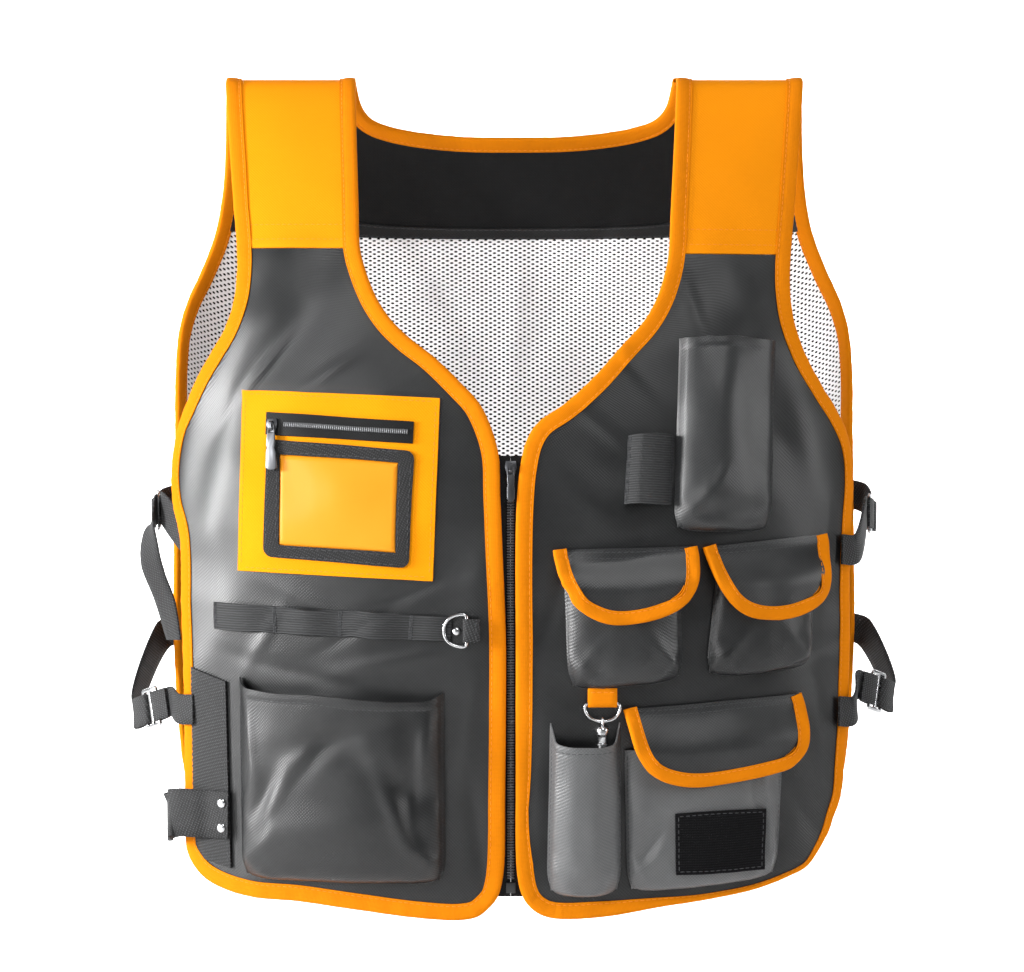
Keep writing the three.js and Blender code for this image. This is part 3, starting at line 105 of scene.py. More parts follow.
class Profile:
    """A curve through the rows of a table that never overshoots them."""

    def __init__(self, at: Sequence[float], value: Sequence[float]) -> None:
        """Sets the slopes at the rows.

        Args:
            at: Places of the rows, rising.
            value: Values at those places.
        """
        self.at = np.asarray(at, float)
        self.value = np.asarray(value, float)
        slope = np.diff(self.value) / np.diff(self.at)
        before = np.concatenate([slope[:1], slope])
        after = np.concatenate([slope, slope[-1:]])
        total = before + after
        safe = np.where(np.abs(total) > 1e-12, total, 1.0)
        self.tangent = np.where(before * after <= 0, 0.0, 2 * before * after / safe)

    def __call__(self, place: np.ndarray) -> np.ndarray:
        """The curve's value at each place.

        Args:
            place: Places along the table.

        Returns:
            The values there.
        """
        place = np.asarray(place, float)
        k = np.clip(np.searchsorted(self.at, place, "left") - 1, 0, len(self.at) - 2)
        span = self.at[k + 1] - self.at[k]
        t = np.clip((place - self.at[k]) / span, 0, 1)
        start = self.value[k] * (1 + 2 * t) * (1 - t) ** 2 + self.tangent[k] * span * t * (1 - t) ** 2
        end = self.value[k + 1] * (3 - 2 * t) * t**2 - self.tangent[k + 1] * span * (1 - t) * t**2
        return start + end


FRONT_FORM = [
    (0, 0.94, 0), (0.005, 0.94, 0.09), (0.02, 0.94, 0.17), (0.05, 0.94, 0.27), (0.1, 0.945, 0.41),
    (0.2, 0.955, 0.62), (0.3, 0.97, 0.78), (0.42, 0.985, 0.92), (0.55, 1, 1), (0.7, 1, 0.99),
    (0.85, 0.995, 0.95), (1, 0.99, 0.92),
]
BACK_FORM = [
    (0, 0.94, 0), (0.005, 0.94, 0.09), (0.02, 0.94, 0.19), (0.05, 0.94, 0.33), (0.1, 0.945, 0.52),
    (0.2, 0.985, 0.78), (0.3, 1.005, 0.92), (0.42, 1.02, 1), (0.55, 1.025, 0.98), (0.7, 1.025, 0.92),
    (0.85, 1.02, 0.9), (1, 1.02, 0.93),
]
# Folds as rows of: across, down, half length, half width, turn in degrees, height
FRONT_FOLDS = [
    (-0.73, 0.31, 48, 13, 62, 3), (-0.62, 0.33, 44, 14, 58, -2.5), (-0.86, 0.46, 40, 12, 80, -2.5),
    (-0.83, 0.52, 60, 14, 76, 2), (-0.86, 0.6, 50, 12, 95, -2), (-0.1, 0.64, 60, 14, 80, 2),
    (-0.84, 0.68, 45, 14, 60, 2), (0.66, 0.3, 40, 13, 118, 2), (0.82, 0.45, 46, 13, 104, 2.5),
    (0.2, 0.5, 44, 16, 130, 2), (0.15, 0.7, 40, 14, 60, 2), (0.86, 0.66, 60, 13, 90, -2.5),
]
BACK_FOLDS = [
    (0.35, 0.3, 90, 26, 65, 3), (-0.4, 0.33, 90, 26, 115, 3), (0.6, 0.24, 60, 18, 40, -2.5),
    (-0.66, 0.25, 60, 18, 140, -2.5), (0, 0.62, 130, 40, 90, -3), (0.45, 0.78, 100, 30, 80, 3),
    (-0.45, 0.76, 100, 30, 100, 3),
]
# Fine creases that the solids leave out
FRONT_CREASES = [
    (-0.7, 0.36, 30, 4, 50, 0.9), (-0.78, 0.4, 26, 4, 62, -0.8), (-0.5, 0.36, 26, 5, 35, 0.7),
    (-0.3, 0.62, 30, 5, 20, -0.8), (-0.55, 0.63, 34, 5, -24, 0.9), (-0.42, 0.66, 30, 4, 30, -0.7),
    (-0.68, 0.67, 24, 4, 60, 0.8), (-0.35, 0.7, 46, 6, 12, 0.9), (-0.6, 0.71, 40, 5, -14, -0.8),
    (-0.12, 0.78, 40, 5, 82, 0.9), (-0.1, 0.9, 40, 5, 96, -0.8), (0.3, 0.34, 34, 5, 128, 0.8),
    (0.5, 0.29, 30, 5, 108, -0.7), (0.22, 0.42, 34, 5, 140, -0.8), (0.3, 0.57, 40, 5, 8, 0.7),
    (0.12, 0.62, 36, 5, 70, -0.8), (0.86, 0.55, 30, 4, 84, 0.8), (0.75, 0.7, 40, 5, 20, -0.8),
    (0.84, 0.78, 34, 5, 96, 0.9), (0.8, 0.88, 34, 5, 120, -0.8), (0.07, 0.85, 44, 5, 86, 0.8),
]
BACK_CREASES = [
    (0.2, 0.22, 60, 8, 60, 1), (-0.22, 0.24, 60, 8, 122, 1), (0, 0.3, 70, 9, 86, -1),
    (0.3, 0.5, 70, 9, 70, 1), (-0.3, 0.48, 70, 9, 108, -1), (0.1, 0.75, 80, 10, 84, 1),
    (-0.15, 0.82, 70, 9, 100, -1),
]


def fold_shape(x: np.ndarray, z: np.ndarray, long: float, wide: float, turn: float) -> np.ndarray:
    """The height of a fold that is 1 high in its middle.

    Args:
        x: Places across, from its middle.
        z: Places up, from its middle.
        long: Half its length.
        wide: Half its width.
        turn: Its turn in degrees.

    Returns:
        The height at each place.
    """
    angle = math.radians(turn)
    along = (x * math.cos(angle) + z * math.sin(angle)) / long
    aside = (z * math.cos(angle) - x * math.sin(angle)) / wide
    return np.exp(-along * along - aside * aside)


def raise_folds(folds: Sequence[tuple], x: np.ndarray, z: np.ndarray) -> np.ndarray:
    """Height of a list of folds at places of the cloth.

    Args:
        folds: Rows of across, down, half length, half width, turn and height.
        x: Places across.
        z: Heights.

    Returns:
        What the folds add to the cloth's distance from the body.
    """
    high = np.zeros(np.broadcast(x, z).shape)
    for across, down, long, wide, turn, rise in folds:
        high = high + rise * fold_shape(x - across * HALF_WIDE, z + down * LONG, long, wide, turn)
    return high


@dataclass
class BodyForm:
    """One side of the body that the cloth follows.

    Attributes:
        side: Front or back.
        rows: The form's half width and depth, as shares, down the vest.
        folds: The main folds.
        creases: The fine creases.
    """

    side: Side
    rows: Sequence[tuple]
    folds: Sequence[tuple]
    creases: Sequence[tuple]
    facing: float = field(init=False)
    deep: float = field(init=False)

    def __post_init__(self) -> None:
        """Makes the two profiles of the form."""
        front = self.side is Side.FRONT
        self.facing = -1.0 if front else 1.0
        self.deep = FRONT_DEEP if front else BACK_DEEP
        down = [row[0] for row in self.rows]
        self._wide = Profile(down, [row[1] for row in self.rows])
        self._deep = Profile(down, [row[2] for row in self.rows])

    def cloth(self, x: np.ndarray, z: np.ndarray) -> np.ndarray:
        """Points of the cloth's middle.

        Args:
            x: Places across.
            z: Heights.

        Returns:
            An array of points, the last axis x, y and z.
        """
        x, z = np.broadcast_arrays(np.asarray(x, float), np.asarray(z, float))
        down = np.clip(-z / LONG, 0, 1)
        share = np.minimum(np.abs(x) / (HALF_WIDE * self._wide(down)), 0.995)
        out = self.deep * self._deep(down) * (1 - share**ROUND) ** (1 / ROUND)
        waves = ripples(x, z, UNEVEN_SIZE, UNEVEN_SEED)
        fine = CREASE_SCALE * raise_folds(self.creases, x, z) + UNEVEN * waves
        out = out + raise_folds(self.folds, x, z) + fine * np.clip((down - PLAIN_DOWN) / FADE_DOWN, 0, 1)
        return np.stack([x, self.facing * out, z], -1)

    def normals(self, x: np.ndarray, z: np.ndarray) -> np.ndarray:
        """The cloth's outward directions, as unit vectors."""
        x, z = np.broadcast_arrays(np.asarray(x, float), np.asarray(z, float))
        step = np.clip(-z / 2, 0.02, 2)
        across = self.cloth(x + 2, z) - self.cloth(x - 2, z)
        up = self.cloth(x, np.minimum(z + step, 0)) - self.cloth(x, z - step)
        normal = unit(np.cross(across, up))
        normal = normal * np.where(normal[..., 1:2] * self.facing < 0, -1.0, 1.0)
        return np.where((z > CREST)[..., None], UP, normal)

    def raised(self, x: np.ndarray, z: np.ndarray, lift: np.ndarray) -> np.ndarray:
        """Points at a height over the cloth's middle.

        Args:
            x: Places across.
            z: Heights.
            lift: Distance out of the cloth's middle.

        Returns:
            The points; cloth that ends on the crest stops just short of it.
        """
        x, z, lift = np.broadcast_arrays(np.asarray(x, float), np.asarray(z, float), np.asarray(lift, float))
        spots = self.cloth(x, z) + self.normals(x, z) * lift[..., None]
        spots[..., 1] = np.where(z > CREST, self.facing * GAP / 2, spots[..., 1])
        return spots

    def over(self, spots: np.ndarray, lift: np.ndarray | float) -> np.ndarray:
        """Points at a height over spots of the cloth."""
        return self.raised(spots[..., 0], spots[..., 1], lift)

    def facing_at(self, spots: np.ndarray) -> np.ndarray:
        """The cloth's outward directions at spots of the cloth."""
        return self.normals(spots[..., 0], spots[..., 1])


def ripples(x: np.ndarray, z: np.ndarray, size: float, seed: int) -> np.ndarray:
    """Soft uneven waves of cloth, between about -1 and 1.

    Args:
        x: Places across in millimetres.
        z: Places up.
        size: The length of a wave.
        seed: Which waves.

    Returns:
        The height at each place.
    """
    draw = np.random.default_rng(seed)
    high = np.zeros(np.broadcast(x, z).shape)
    bent_x = x + 0.25 * size * np.sin(z / size * 2.1 + seed)
    bent_z = z + 0.25 * size * np.sin(x / size * 1.7 + seed * 2.0)
    for _ in range(7):
        angle = draw.uniform(0, math.pi)
        long = size * draw.uniform(0.7, 1.6)
        phase = draw.uniform(0, 2 * math.pi)
        way = bent_x * math.cos(angle) + bent_z * math.sin(angle)
        high = high + np.sin(2 * math.pi * way / long + phase) / 7**0.5
    return np.sign(high) * np.abs(high) ** 1.3


def unit(vectors: np.ndarray) -> np.ndarray:
    """The vectors at length one."""
    return vectors / np.maximum(np.linalg.norm(vectors, axis=-1, keepdims=True), 1e-12)


FRONT = BodyForm(Side.FRONT, FRONT_FORM, FRONT_FOLDS, FRONT_CREASES)
BACK = BodyForm(Side.BACK, BACK_FORM, BACK_FOLDS, BACK_CREASES)


def spot_at(across: float, down: float) -> np.ndarray:
    """A spot of the cloth from shares of the half width and of the length."""
    return np.array([across * HALF_WIDE, -down * LONG])


def spots_at(rows: Iterable[tuple]) -> np.ndarray:
    """Spots of the cloth from rows of shares."""
    return np.array([spot_at(across, down) for across, down in rows])


def arc_lengths(points: np.ndarray) -> np.ndarray:
    """Distance along a path at each of its points."""
    return np.concatenate([[0.0], np.cumsum(np.linalg.norm(np.diff(points, axis=0), axis=1))])


def sampled(at: np.ndarray, length: np.ndarray, values: np.ndarray) -> np.ndarray:
    """Values along a path, read at distances along it."""
    return np.stack([np.interp(at, length, values[:, k]) for k in range(values.shape[1])], -1)


def resample(path: np.ndarray, count: int) -> np.ndarray:
    """Evenly spaced points on a path.

    Args:
        path: Its points.
        count: How many points to return.

    Returns:
        The points, the ends included.
    """
    length = arc_lengths(path)
    return sampled(np.linspace(0, length[-1], count), length, path)


def smooth_path(points: np.ndarray, spacing: float, closed: bool = False) -> tuple[np.ndarray, list[int]]:
    """A centripetal curve through points.

    Args:
        points: The points that it passes.
        spacing: About how far apart the returned points are.
        closed: Whether the curve comes back to its start.

    Returns:
        The curve's points, and the index among them of each given point.
    """
    points = np.asarray(points, float)
    if closed:
        padded = np.concatenate([points[-1:], points, points[:2]])
    else:
        padded = np.concatenate([2 * points[:1] - points[1:2], points, 2 * points[-1:] - points[-2:-1]])
    made, marks = [], []
    for k in range(1, len(padded) - 2):
        p0, p1, p2, p3 = padded[k - 1 : k + 3]
        t1 = max(np.linalg.norm(p1 - p0), 1e-6) ** 0.5
        t2 = t1 + max(np.linalg.norm(p2 - p1), 1e-6) ** 0.5
        t3 = t2 + max(np.linalg.norm(p3 - p2), 1e-6) ** 0.5
        steps = max(1, int(round(np.linalg.norm(p2 - p1) / spacing)))
        t = (t1 + (t2 - t1) * np.arange(steps) / steps)[:, None]
        a1 = (t1 - t) / t1 * p0 + t / t1 * p1
        a2 = (t2 - t) / (t2 - t1) * p1 + (t - t1) / (t2 - t1) * p2
        a3 = (t3 - t) / (t3 - t2) * p2 + (t - t2) / (t3 - t2) * p3
        b1 = (t2 - t) / t2 * a1 + t / t2 * a2
        b2 = (t3 - t) / (t3 - t1) * a2 + (t - t1) / (t3 - t1) * a3
        marks.append(sum(len(m) for m in made))
        made.append((t2 - t) / (t2 - t1) * b1 + (t - t1) / (t2 - t1) * b2)
    if not closed:
        marks.append(sum(len(m) for m in made))
        made.append(points[-1:])
    return np.concatenate(made), marks


def smoothed(path: np.ndarray, reach: int, times: int) -> np.ndarray:
    """A path with its kinks evened out, its ends kept.

    Args:
        path: Its points.
        reach: How many points to each side are taken together.
        times: How often.

    Returns:
        The path.
    """
    made = np.array(path, float)
    kernel = np.ones(2 * reach + 1) / (2 * reach + 1)
    for _ in range(times):
        for k in range(made.shape[1]):
            made[reach:-reach, k] = np.convolve(made[:, k], kernel, "valid")
    return made


def fill_grid(left: np.ndarray, right: np.ndarray, low: np.ndarray, top: np.ndarray) -> np.ndarray:
    """A grid of spots between four edges.

    Args:
        left: The edge from the low left corner up.
        right: The edge from the low right corner up, of the same count.
        low: The edge from the low left corner across.
        top: The edge from the top left corner across, of the same count.

    Returns:
        The grid, rows from the low edge up.
    """
    v = np.linspace(0, 1, len(left))[:, None, None]
    u = np.linspace(0, 1, len(low))[None, :, None]
    level = left[:, None] * (1 - u) + right[:, None] * u
    upright = low[None] * (1 - v) + top[None] * v
    corners = (left[0] * (1 - u) + right[0] * u) * (1 - v) + (left[-1] * (1 - u) + right[-1] * u) * v
    return level + upright - corners


def edge_frames(form: BodyForm, path: np.ndarray, inward: float) -> tuple[np.ndarray, np.ndarray]:
    """Directions at each spot of an edge.

    Args:
        form: The side of the body.
        path: The edge's spots.
        inward: 1 or -1, for which way round the edge runs.

    Returns:
        The cloth's normals, and the directions into the cloth at right angles to the edge.
    """
    before = path[np.maximum(np.arange(len(path)) - 1, 0)]
    after = path[np.minimum(np.arange(len(path)) + 1, len(path) - 1)]
    run = form.cloth(after[:, 0], after[:, 1]) - form.cloth(before[:, 0], before[:, 1])
    normal = form.facing_at(path)
    return normal, unit(np.cross(normal, run)) * inward


def inset(path: np.ndarray, into: np.ndarray, distance: float | np.ndarray) -> np.ndarray:
    """The spots of an edge moved into the cloth."""
    moved = path + into[:, [0, 2]] * distance
    moved[:, 1] = np.minimum(moved[:, 1], 0)
    return moved


# Meshes


def linked(name: str, data: bpy.types.ID) -> bpy.types.Object:
    """A new object of a mesh, a light or a camera, linked to the scene."""
    thing = bpy.data.objects.new(name, data)
    bpy.context.scene.collection.objects.link(thing)
    return thing


def discard(thing: bpy.types.Object) -> None:
    """Removes an object and its mesh."""
    mesh = thing.data
    bpy.data.objects.remove(thing)
    bpy.data.meshes.remove(mesh)


def new_mesh(
    name: str,
    points: np.ndarray,
    faces: Sequence[Sequence[int]] | np.ndarray,
    uv: np.ndarray | None = None,
    sharp: float = 40.0,
) -> bpy.types.Object:
    """An object with a mesh, from points in millimetres.

    Args:
        name: The object's name.
        points: Its points.
        faces: Its faces.
        uv: A place on the cloth for each point, in millimetres.
        sharp: Edges that turn more than this many degrees stay sharp.

    Returns:
        The object, linked to the scene, with its origin at the frame's.
    """
    mesh = bpy.data.meshes.new(name)
    mesh.from_pydata((np.asarray(points) * MM).tolist(), [], [list(map(int, face)) for face in faces])
    mesh.update()
    if uv is not None:
        layer = mesh.uv_layers.new(name="cloth")
        index = np.empty(len(mesh.loops), int)
        mesh.loops.foreach_get("vertex_index", index)
        layer.data.foreach_set("uv", (np.asarray(uv)[index] * MM).astype(np.float32).ravel())
    mesh.polygons.foreach_set("use_smooth", np.ones(len(mesh.polygons), bool))
    mesh.set_sharp_from_angle(angle=math.radians(sharp))
    return linked(name, mesh)


def signed_volume(points: np.ndarray, quads: np.ndarray) -> float:
    """Six times the volume inside quads, positive where they face out."""
    a, b, c, d = (points[quads[:, k]] for k in range(4))
    return float((a * np.cross(b, c)).sum() + (a * np.cross(c, d)).sum())


def loft(
    name: str,
    rings: np.ndarray,
    uv: np.ndarray | None = None,
    closed: bool = False,
    sharp: float = 40.0,
) -> bpy.types.Object:
    """A closed skin over rings of points.

    Args:
        name: The object's name.
        rings: An array of rings, each of the same count of points.
        uv: A place on the cloth for each point of each ring.
        closed: Whether the last ring joins the first; otherwise both ends get a cap.
        sharp: The angle over which edges stay sharp.

    Returns:
        The object.
    """
    count, ring = rings.shape[:2]
    i = np.arange(count if closed else count - 1)[:, None]
    k = np.arange(ring)[None]
    near, far = i * ring, ((i + 1) % count) * ring
    nxt = (k + 1) % ring
    quads = np.stack([near + k, near + nxt, far + nxt, far + k], -1).reshape(-1, 4)
    points = rings.reshape(-1, 3)
    ladder = []
    if not closed:
        end = (count - 1) * ring
        for j in range(ring // 2 - 1):
            other = ring - 1 - j
            ladder.append([other, other - 1, j + 1, j])
            ladder.append([end + j, end + j + 1, end + other - 1, end + other])
    every = np.concatenate([quads, np.array(ladder, int).reshape(-1, 4)])
    if signed_volume(points, every) < 0:
        every = every[:, ::-1]
    flat = None if uv is None else uv.reshape(-1, 2)
    return new_mesh(name, points, every, flat, sharp)


def grid_uv(points: np.ndarray) -> np.ndarray:
    """Places on the flat cloth for a grid of points, measured from its middle column and its low row.

    Args:
        points: The grid, rows by columns by 3.

    Returns:
        The grid's places in millimetres.
    """
    across = np.linalg.norm(np.diff(points, axis=1), axis=2)
    u = np.concatenate([np.zeros((len(points), 1)), np.cumsum(across, axis=1)], axis=1)
    u = u - u[:, points.shape[1] // 2][:, None]
    up = np.linalg.norm(np.diff(points, axis=0), axis=2)
    v = np.concatenate([np.zeros((1, points.shape[1])), np.cumsum(up, axis=0)], axis=0)
    return np.stack([u, v], -1)


def cloth_area(points: np.ndarray) -> float:
    """Area of a grid of points, in square metres."""
    a, b, c, d = points[:-1, :-1], points[:-1, 1:], points[1:, 1:], points[1:, :-1]
    one = np.linalg.norm(np.cross(b - a, c - a), axis=-1).sum()
    two = np.linalg.norm(np.cross(c - a, d - a), axis=-1).sum()
    return float(one + two) / 2 * MM * MM


def slab(
    name: str, top: np.ndarray, low: np.ndarray, edge: float = 0.0, sharp: float = 50.0
) -> bpy.types.Object:
    """A closed sheet between two grids of points, with a rounded rim.

    Args:
        name: The object's name.
        top: The outer grid, rows by columns by 3.
        low: The inner grid.
        edge: How far the rim stands out at the cloth's middle.
        sharp: The angle over which edges stay sharp.

    Returns:
        The object.
    """
    rows, columns = top.shape[:2]
    uv = grid_uv(top)
    points = [top.reshape(-1, 3), low.reshape(-1, 3)]
    places = [uv.reshape(-1, 2), uv.reshape(-1, 2)]
    index = np.arange(rows * columns).reshape(rows, columns)
    over = np.stack([index[:-1, :-1], index[:-1, 1:], index[1:, 1:], index[1:, :-1]], -1).reshape(-1, 4)
    under = over[:, ::-1] + rows * columns
    rim = np.concatenate([index[0, :], index[1:, -1], index[-1, -2::-1], index[-2:0:-1, 0]])
    middle = (points[0][rim] + points[1][rim]) / 2
    ahead = np.roll(middle, -1, 0) - np.roll(middle, 1, 0)
    thick = points[0][rim] - points[1][rim]
    facing = np.sign((sheet_frames(top) * (top - low)).sum())
    out = unit(np.cross(ahead, thick)) * facing
    points.append(middle + out * edge)
    places.append(places[0][rim])
    mid = 2 * rows * columns + np.arange(len(rim))
    nxt = np.roll(np.arange(len(rim)), -1)
    upper = np.stack([rim, mid, mid[nxt], rim[nxt]], -1)
    lower = np.stack([mid, rim + rows * columns, rim[nxt] + rows * columns, mid[nxt]], -1)
    every = np.concatenate([over, under, upper, lower])
    cloud = np.concatenate(points)
    if signed_volume(cloud, every) < 0:
        every = every[:, ::-1]
    return new_mesh(name, cloud, every, np.concatenate(places), sharp)


def sheet_frames(grid: np.ndarray) -> np.ndarray:
    """Normals of a grid of points, by its own rows and columns."""
    across = np.gradient(grid, axis=1)
    up = np.gradient(grid, axis=0)
    return unit(np.cross(across, up))


def tube(
    name: str, path: np.ndarray, radius: float | np.ndarray, sides: int = 12, closed: bool = False
) -> bpy.types.Object:
    """A round wire or rod along a path.

    Args:
        name: The object's name.
        path: Its middle line.
        radius: Its radius, or one for each point.
        sides: How many sides it has, an even number.
        closed: Whether it comes back to its start.

    Returns:
        The object.
    """
    return loft(name, tube_rings(path, radius, sides, closed), closed=closed, sharp=60)


def tube_rings(path: np.ndarray, radius: float | np.ndarray, sides: int, closed: bool) -> np.ndarray:
    """Rings of points round a path, carried along it without twist.

    Args:
        path: The middle line.
        radius: The radius, or one for each point.
        sides: Points in a ring.
        closed: Whether the path comes back to its start.

    Returns:
        The rings.
    """
    count = len(path)
    if closed:
        run = unit(np.roll(path, -1, 0) - np.roll(path, 1, 0))
    else:
        run = unit(np.gradient(path, axis=0))
    start = UP if abs(run[0][2]) < 0.8 else ACROSS
    aside = unit(np.cross(run[0], start))
    frames = [aside]
    for k in range(1, count):
        aside = unit(aside - run[k] * float(aside @ run[k]))
        frames.append(aside)
    a = np.array(frames)
    b = np.cross(run, a)
    if closed:
        last = unit(a[-1] - run[0] * float(a[-1] @ run[0]))
        twist = math.atan2(float(last @ b[0]), float(last @ a[0]))
        back = -twist * np.arange(count) / count
        a, b = (
            a * np.cos(back)[:, None] + b * np.sin(back)[:, None],
            b * np.cos(back)[:, None] - a * np.sin(back)[:, None],
        )
    turn = 2 * math.pi * (np.arange(sides) + 0.5) / sides
    size = np.broadcast_to(np.asarray(radius, float), (count,))[:, None, None]
    cos, sin = np.cos(turn)[None, :, None], np.sin(turn)[None, :, None]
    return path[:, None] + size * (a[:, None] * cos + b[:, None] * sin)


def ribbon_rings(
    path: np.ndarray, across: np.ndarray, wide: float, thick: float, bulge: float = 0.0
) -> tuple[np.ndarray, np.ndarray]:
    """Rings of a flat band along a path.

    Args:
        path: The band's middle line.
        across: The direction of its width at each point.
        wide: Its width.
        thick: Its thickness.
        bulge: How much thicker it is in the middle.

    Returns:
        The rings, and a place on the flat band for each of their points.
    """
    run = unit(np.gradient(path, axis=0))
    aside = unit(across - run * (across * run).sum(-1, keepdims=True))
    out = np.cross(run, aside)
    half, deep = wide / 2, thick / 2
    section = [
        (-half, -deep * 0.3), (-half, deep * 0.3), (-half + 0.4, deep), (-half * 0.5, deep + bulge * 0.8),
        (0, deep + bulge), (half * 0.5, deep + bulge * 0.8), (half - 0.4, deep), (half, deep * 0.3),
        (half, -deep * 0.3), (half - 0.4, -deep), (half * 0.5, -deep), (0, -deep), (-half * 0.5, -deep),
        (-half + 0.4, -deep),
    ]
    w = np.array([row[0] for row in section])[None, :, None]
    t = np.array([row[1] for row in section])[None, :, None]
    rings = path[:, None] + aside[:, None] * w + out[:, None] * t
    v = arc_lengths(path)
    uv = np.stack(np.broadcast_arrays(w[:, :, 0], v[:, None]), -1)
    return rings, uv


def merged_copy(node: str, name: str) -> bpy.types.Object:
    """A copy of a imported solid's mesh with its loose corners joined.

    Args:
        node: The solid's node.
        name: The copy's name.

    Returns:
        The copy, linked to the scene.
    """
    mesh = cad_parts[node].data.copy()
    mesh.name = name
    work = bmesh.new()
    work.from_mesh(mesh)
    bmesh.ops.remove_doubles(work, verts=work.verts, dist=1e-6)
    bmesh.ops.dissolve_limit(work, angle_limit=math.radians(0.5), verts=work.verts, edges=work.edges)
    work.to_mesh(mesh)
    work.free()
    mesh.materials.clear()
    return linked(name, mesh)


def soften(thing: bpy.types.Object, width: float, segments: int = 2) -> bpy.types.Object:
    """Rounds an object's edges with a bevel of a width in millimetres."""
    bevel = thing.modifiers.new("edges", "BEVEL")
    bevel.width = width * MM
    bevel.segments = segments
    bevel.limit_method = "ANGLE"
    bevel.angle_limit = math.radians(28)
    bevel.harden_normals = False
    applied(thing)
    thing.data.polygons.foreach_set("use_smooth", np.ones(len(thing.data.polygons), bool))
    thing.data.set_sharp_from_angle(angle=math.radians(35))
    return thing


def applied(thing: bpy.types.Object) -> bpy.types.Object:
    """Makes the result of an object's modifiers its own mesh."""
    graph = bpy.context.evaluated_depsgraph_get()
    mesh = bpy.data.meshes.new_from_object(thing.evaluated_get(graph))
    thing.modifiers.clear()
    old = thing.data
    thing.data = mesh
    mesh.name = thing.name
    bpy.data.meshes.remove(old)
    return thing


def merged(name: str, things: Sequence[bpy.types.Object]) -> bpy.types.Object:
    """One object from several, each with its own closed mesh and its own material.

    Args:
        name: The new object's name.
        things: The objects, which are used up.

    Returns:
        The object.
    """
    work = bmesh.new()
    materials: list[bpy.types.Material] = []
    for thing in things:
        index = []
        for material in thing.data.materials:
            if material not in materials:
                materials.append(material)
            index.append(materials.index(material))
        start = len(work.faces)
        work.from_mesh(thing.data)
        work.faces.ensure_lookup_table()
        for face in work.faces[start:]:
            face.material_index = index[face.material_index] if index else 0
    mesh = bpy.data.meshes.new(name)
    work.to_mesh(mesh)
    work.free()
    for material in materials:
        mesh.materials.append(material)
    for thing in things:
        discard(thing)
    return linked(name, mesh)


# Thread


STEP = 0.4


@dataclass(frozen=True)
class Thread:
    """A row of stitches along a line, set by a node tree that repeats one stitch.

    Attributes:
        length: The length of a stitch.
        gap: The gap to the next.
        wide: Its width.
        high: Its height.
    """

    length: float = 2.9
    gap: float = 1.2
    wide: float = 0.62
    high: float = 0.42

    def one(self) -> bpy.types.Object:
        """A single stitch lying along x with z out of the cloth."""
        at = np.array([-0.5, -0.38, 0.0, 0.38, 0.5]) * self.length
        size = np.array([0.3, 0.85, 1.0, 0.85, 0.3])
        turn = 2 * math.pi * np.arange(6) / 6
        y = np.cos(turn)[None] * size[:, None] * self.wide / 2
        z = np.sin(turn)[None] * size[:, None] * self.high / 2
        x = np.broadcast_to(at[:, None], y.shape)
        return loft("stitch_one", np.stack([x, y, z], -1), sharp=180)

    def sew(
        self,
        name: str,
        lines: Sequence[np.ndarray],
        normals: Sequence[np.ndarray],
        material: bpy.types.Material,
    ) -> bpy.types.Object:
        """Stitches along lines.

        Args:
            name: The object's name.
            lines: The lines' points.
            normals: The cloth's normals at those points.
            material: The thread.

        Returns:
            One object with every stitch.
        """
        pitch = self.length + self.gap
        places, ways, outs = [], [], []
        for line, normal in zip(lines, normals):
            length = arc_lengths(line)
            count = max(1, int(length[-1] / pitch))
            at = (np.arange(count) + 0.5) * length[-1] / count
            places.append(sampled(at, length, line))
            ways.append(unit(sampled(at + STEP, length, line) - sampled(at - STEP, length, line)))
            outs.append(unit(sampled(at, length, normal)))
        base = Repeat(self.one(), material)
        return base.over(name, np.concatenate(places), np.concatenate(ways), np.concatenate(outs))


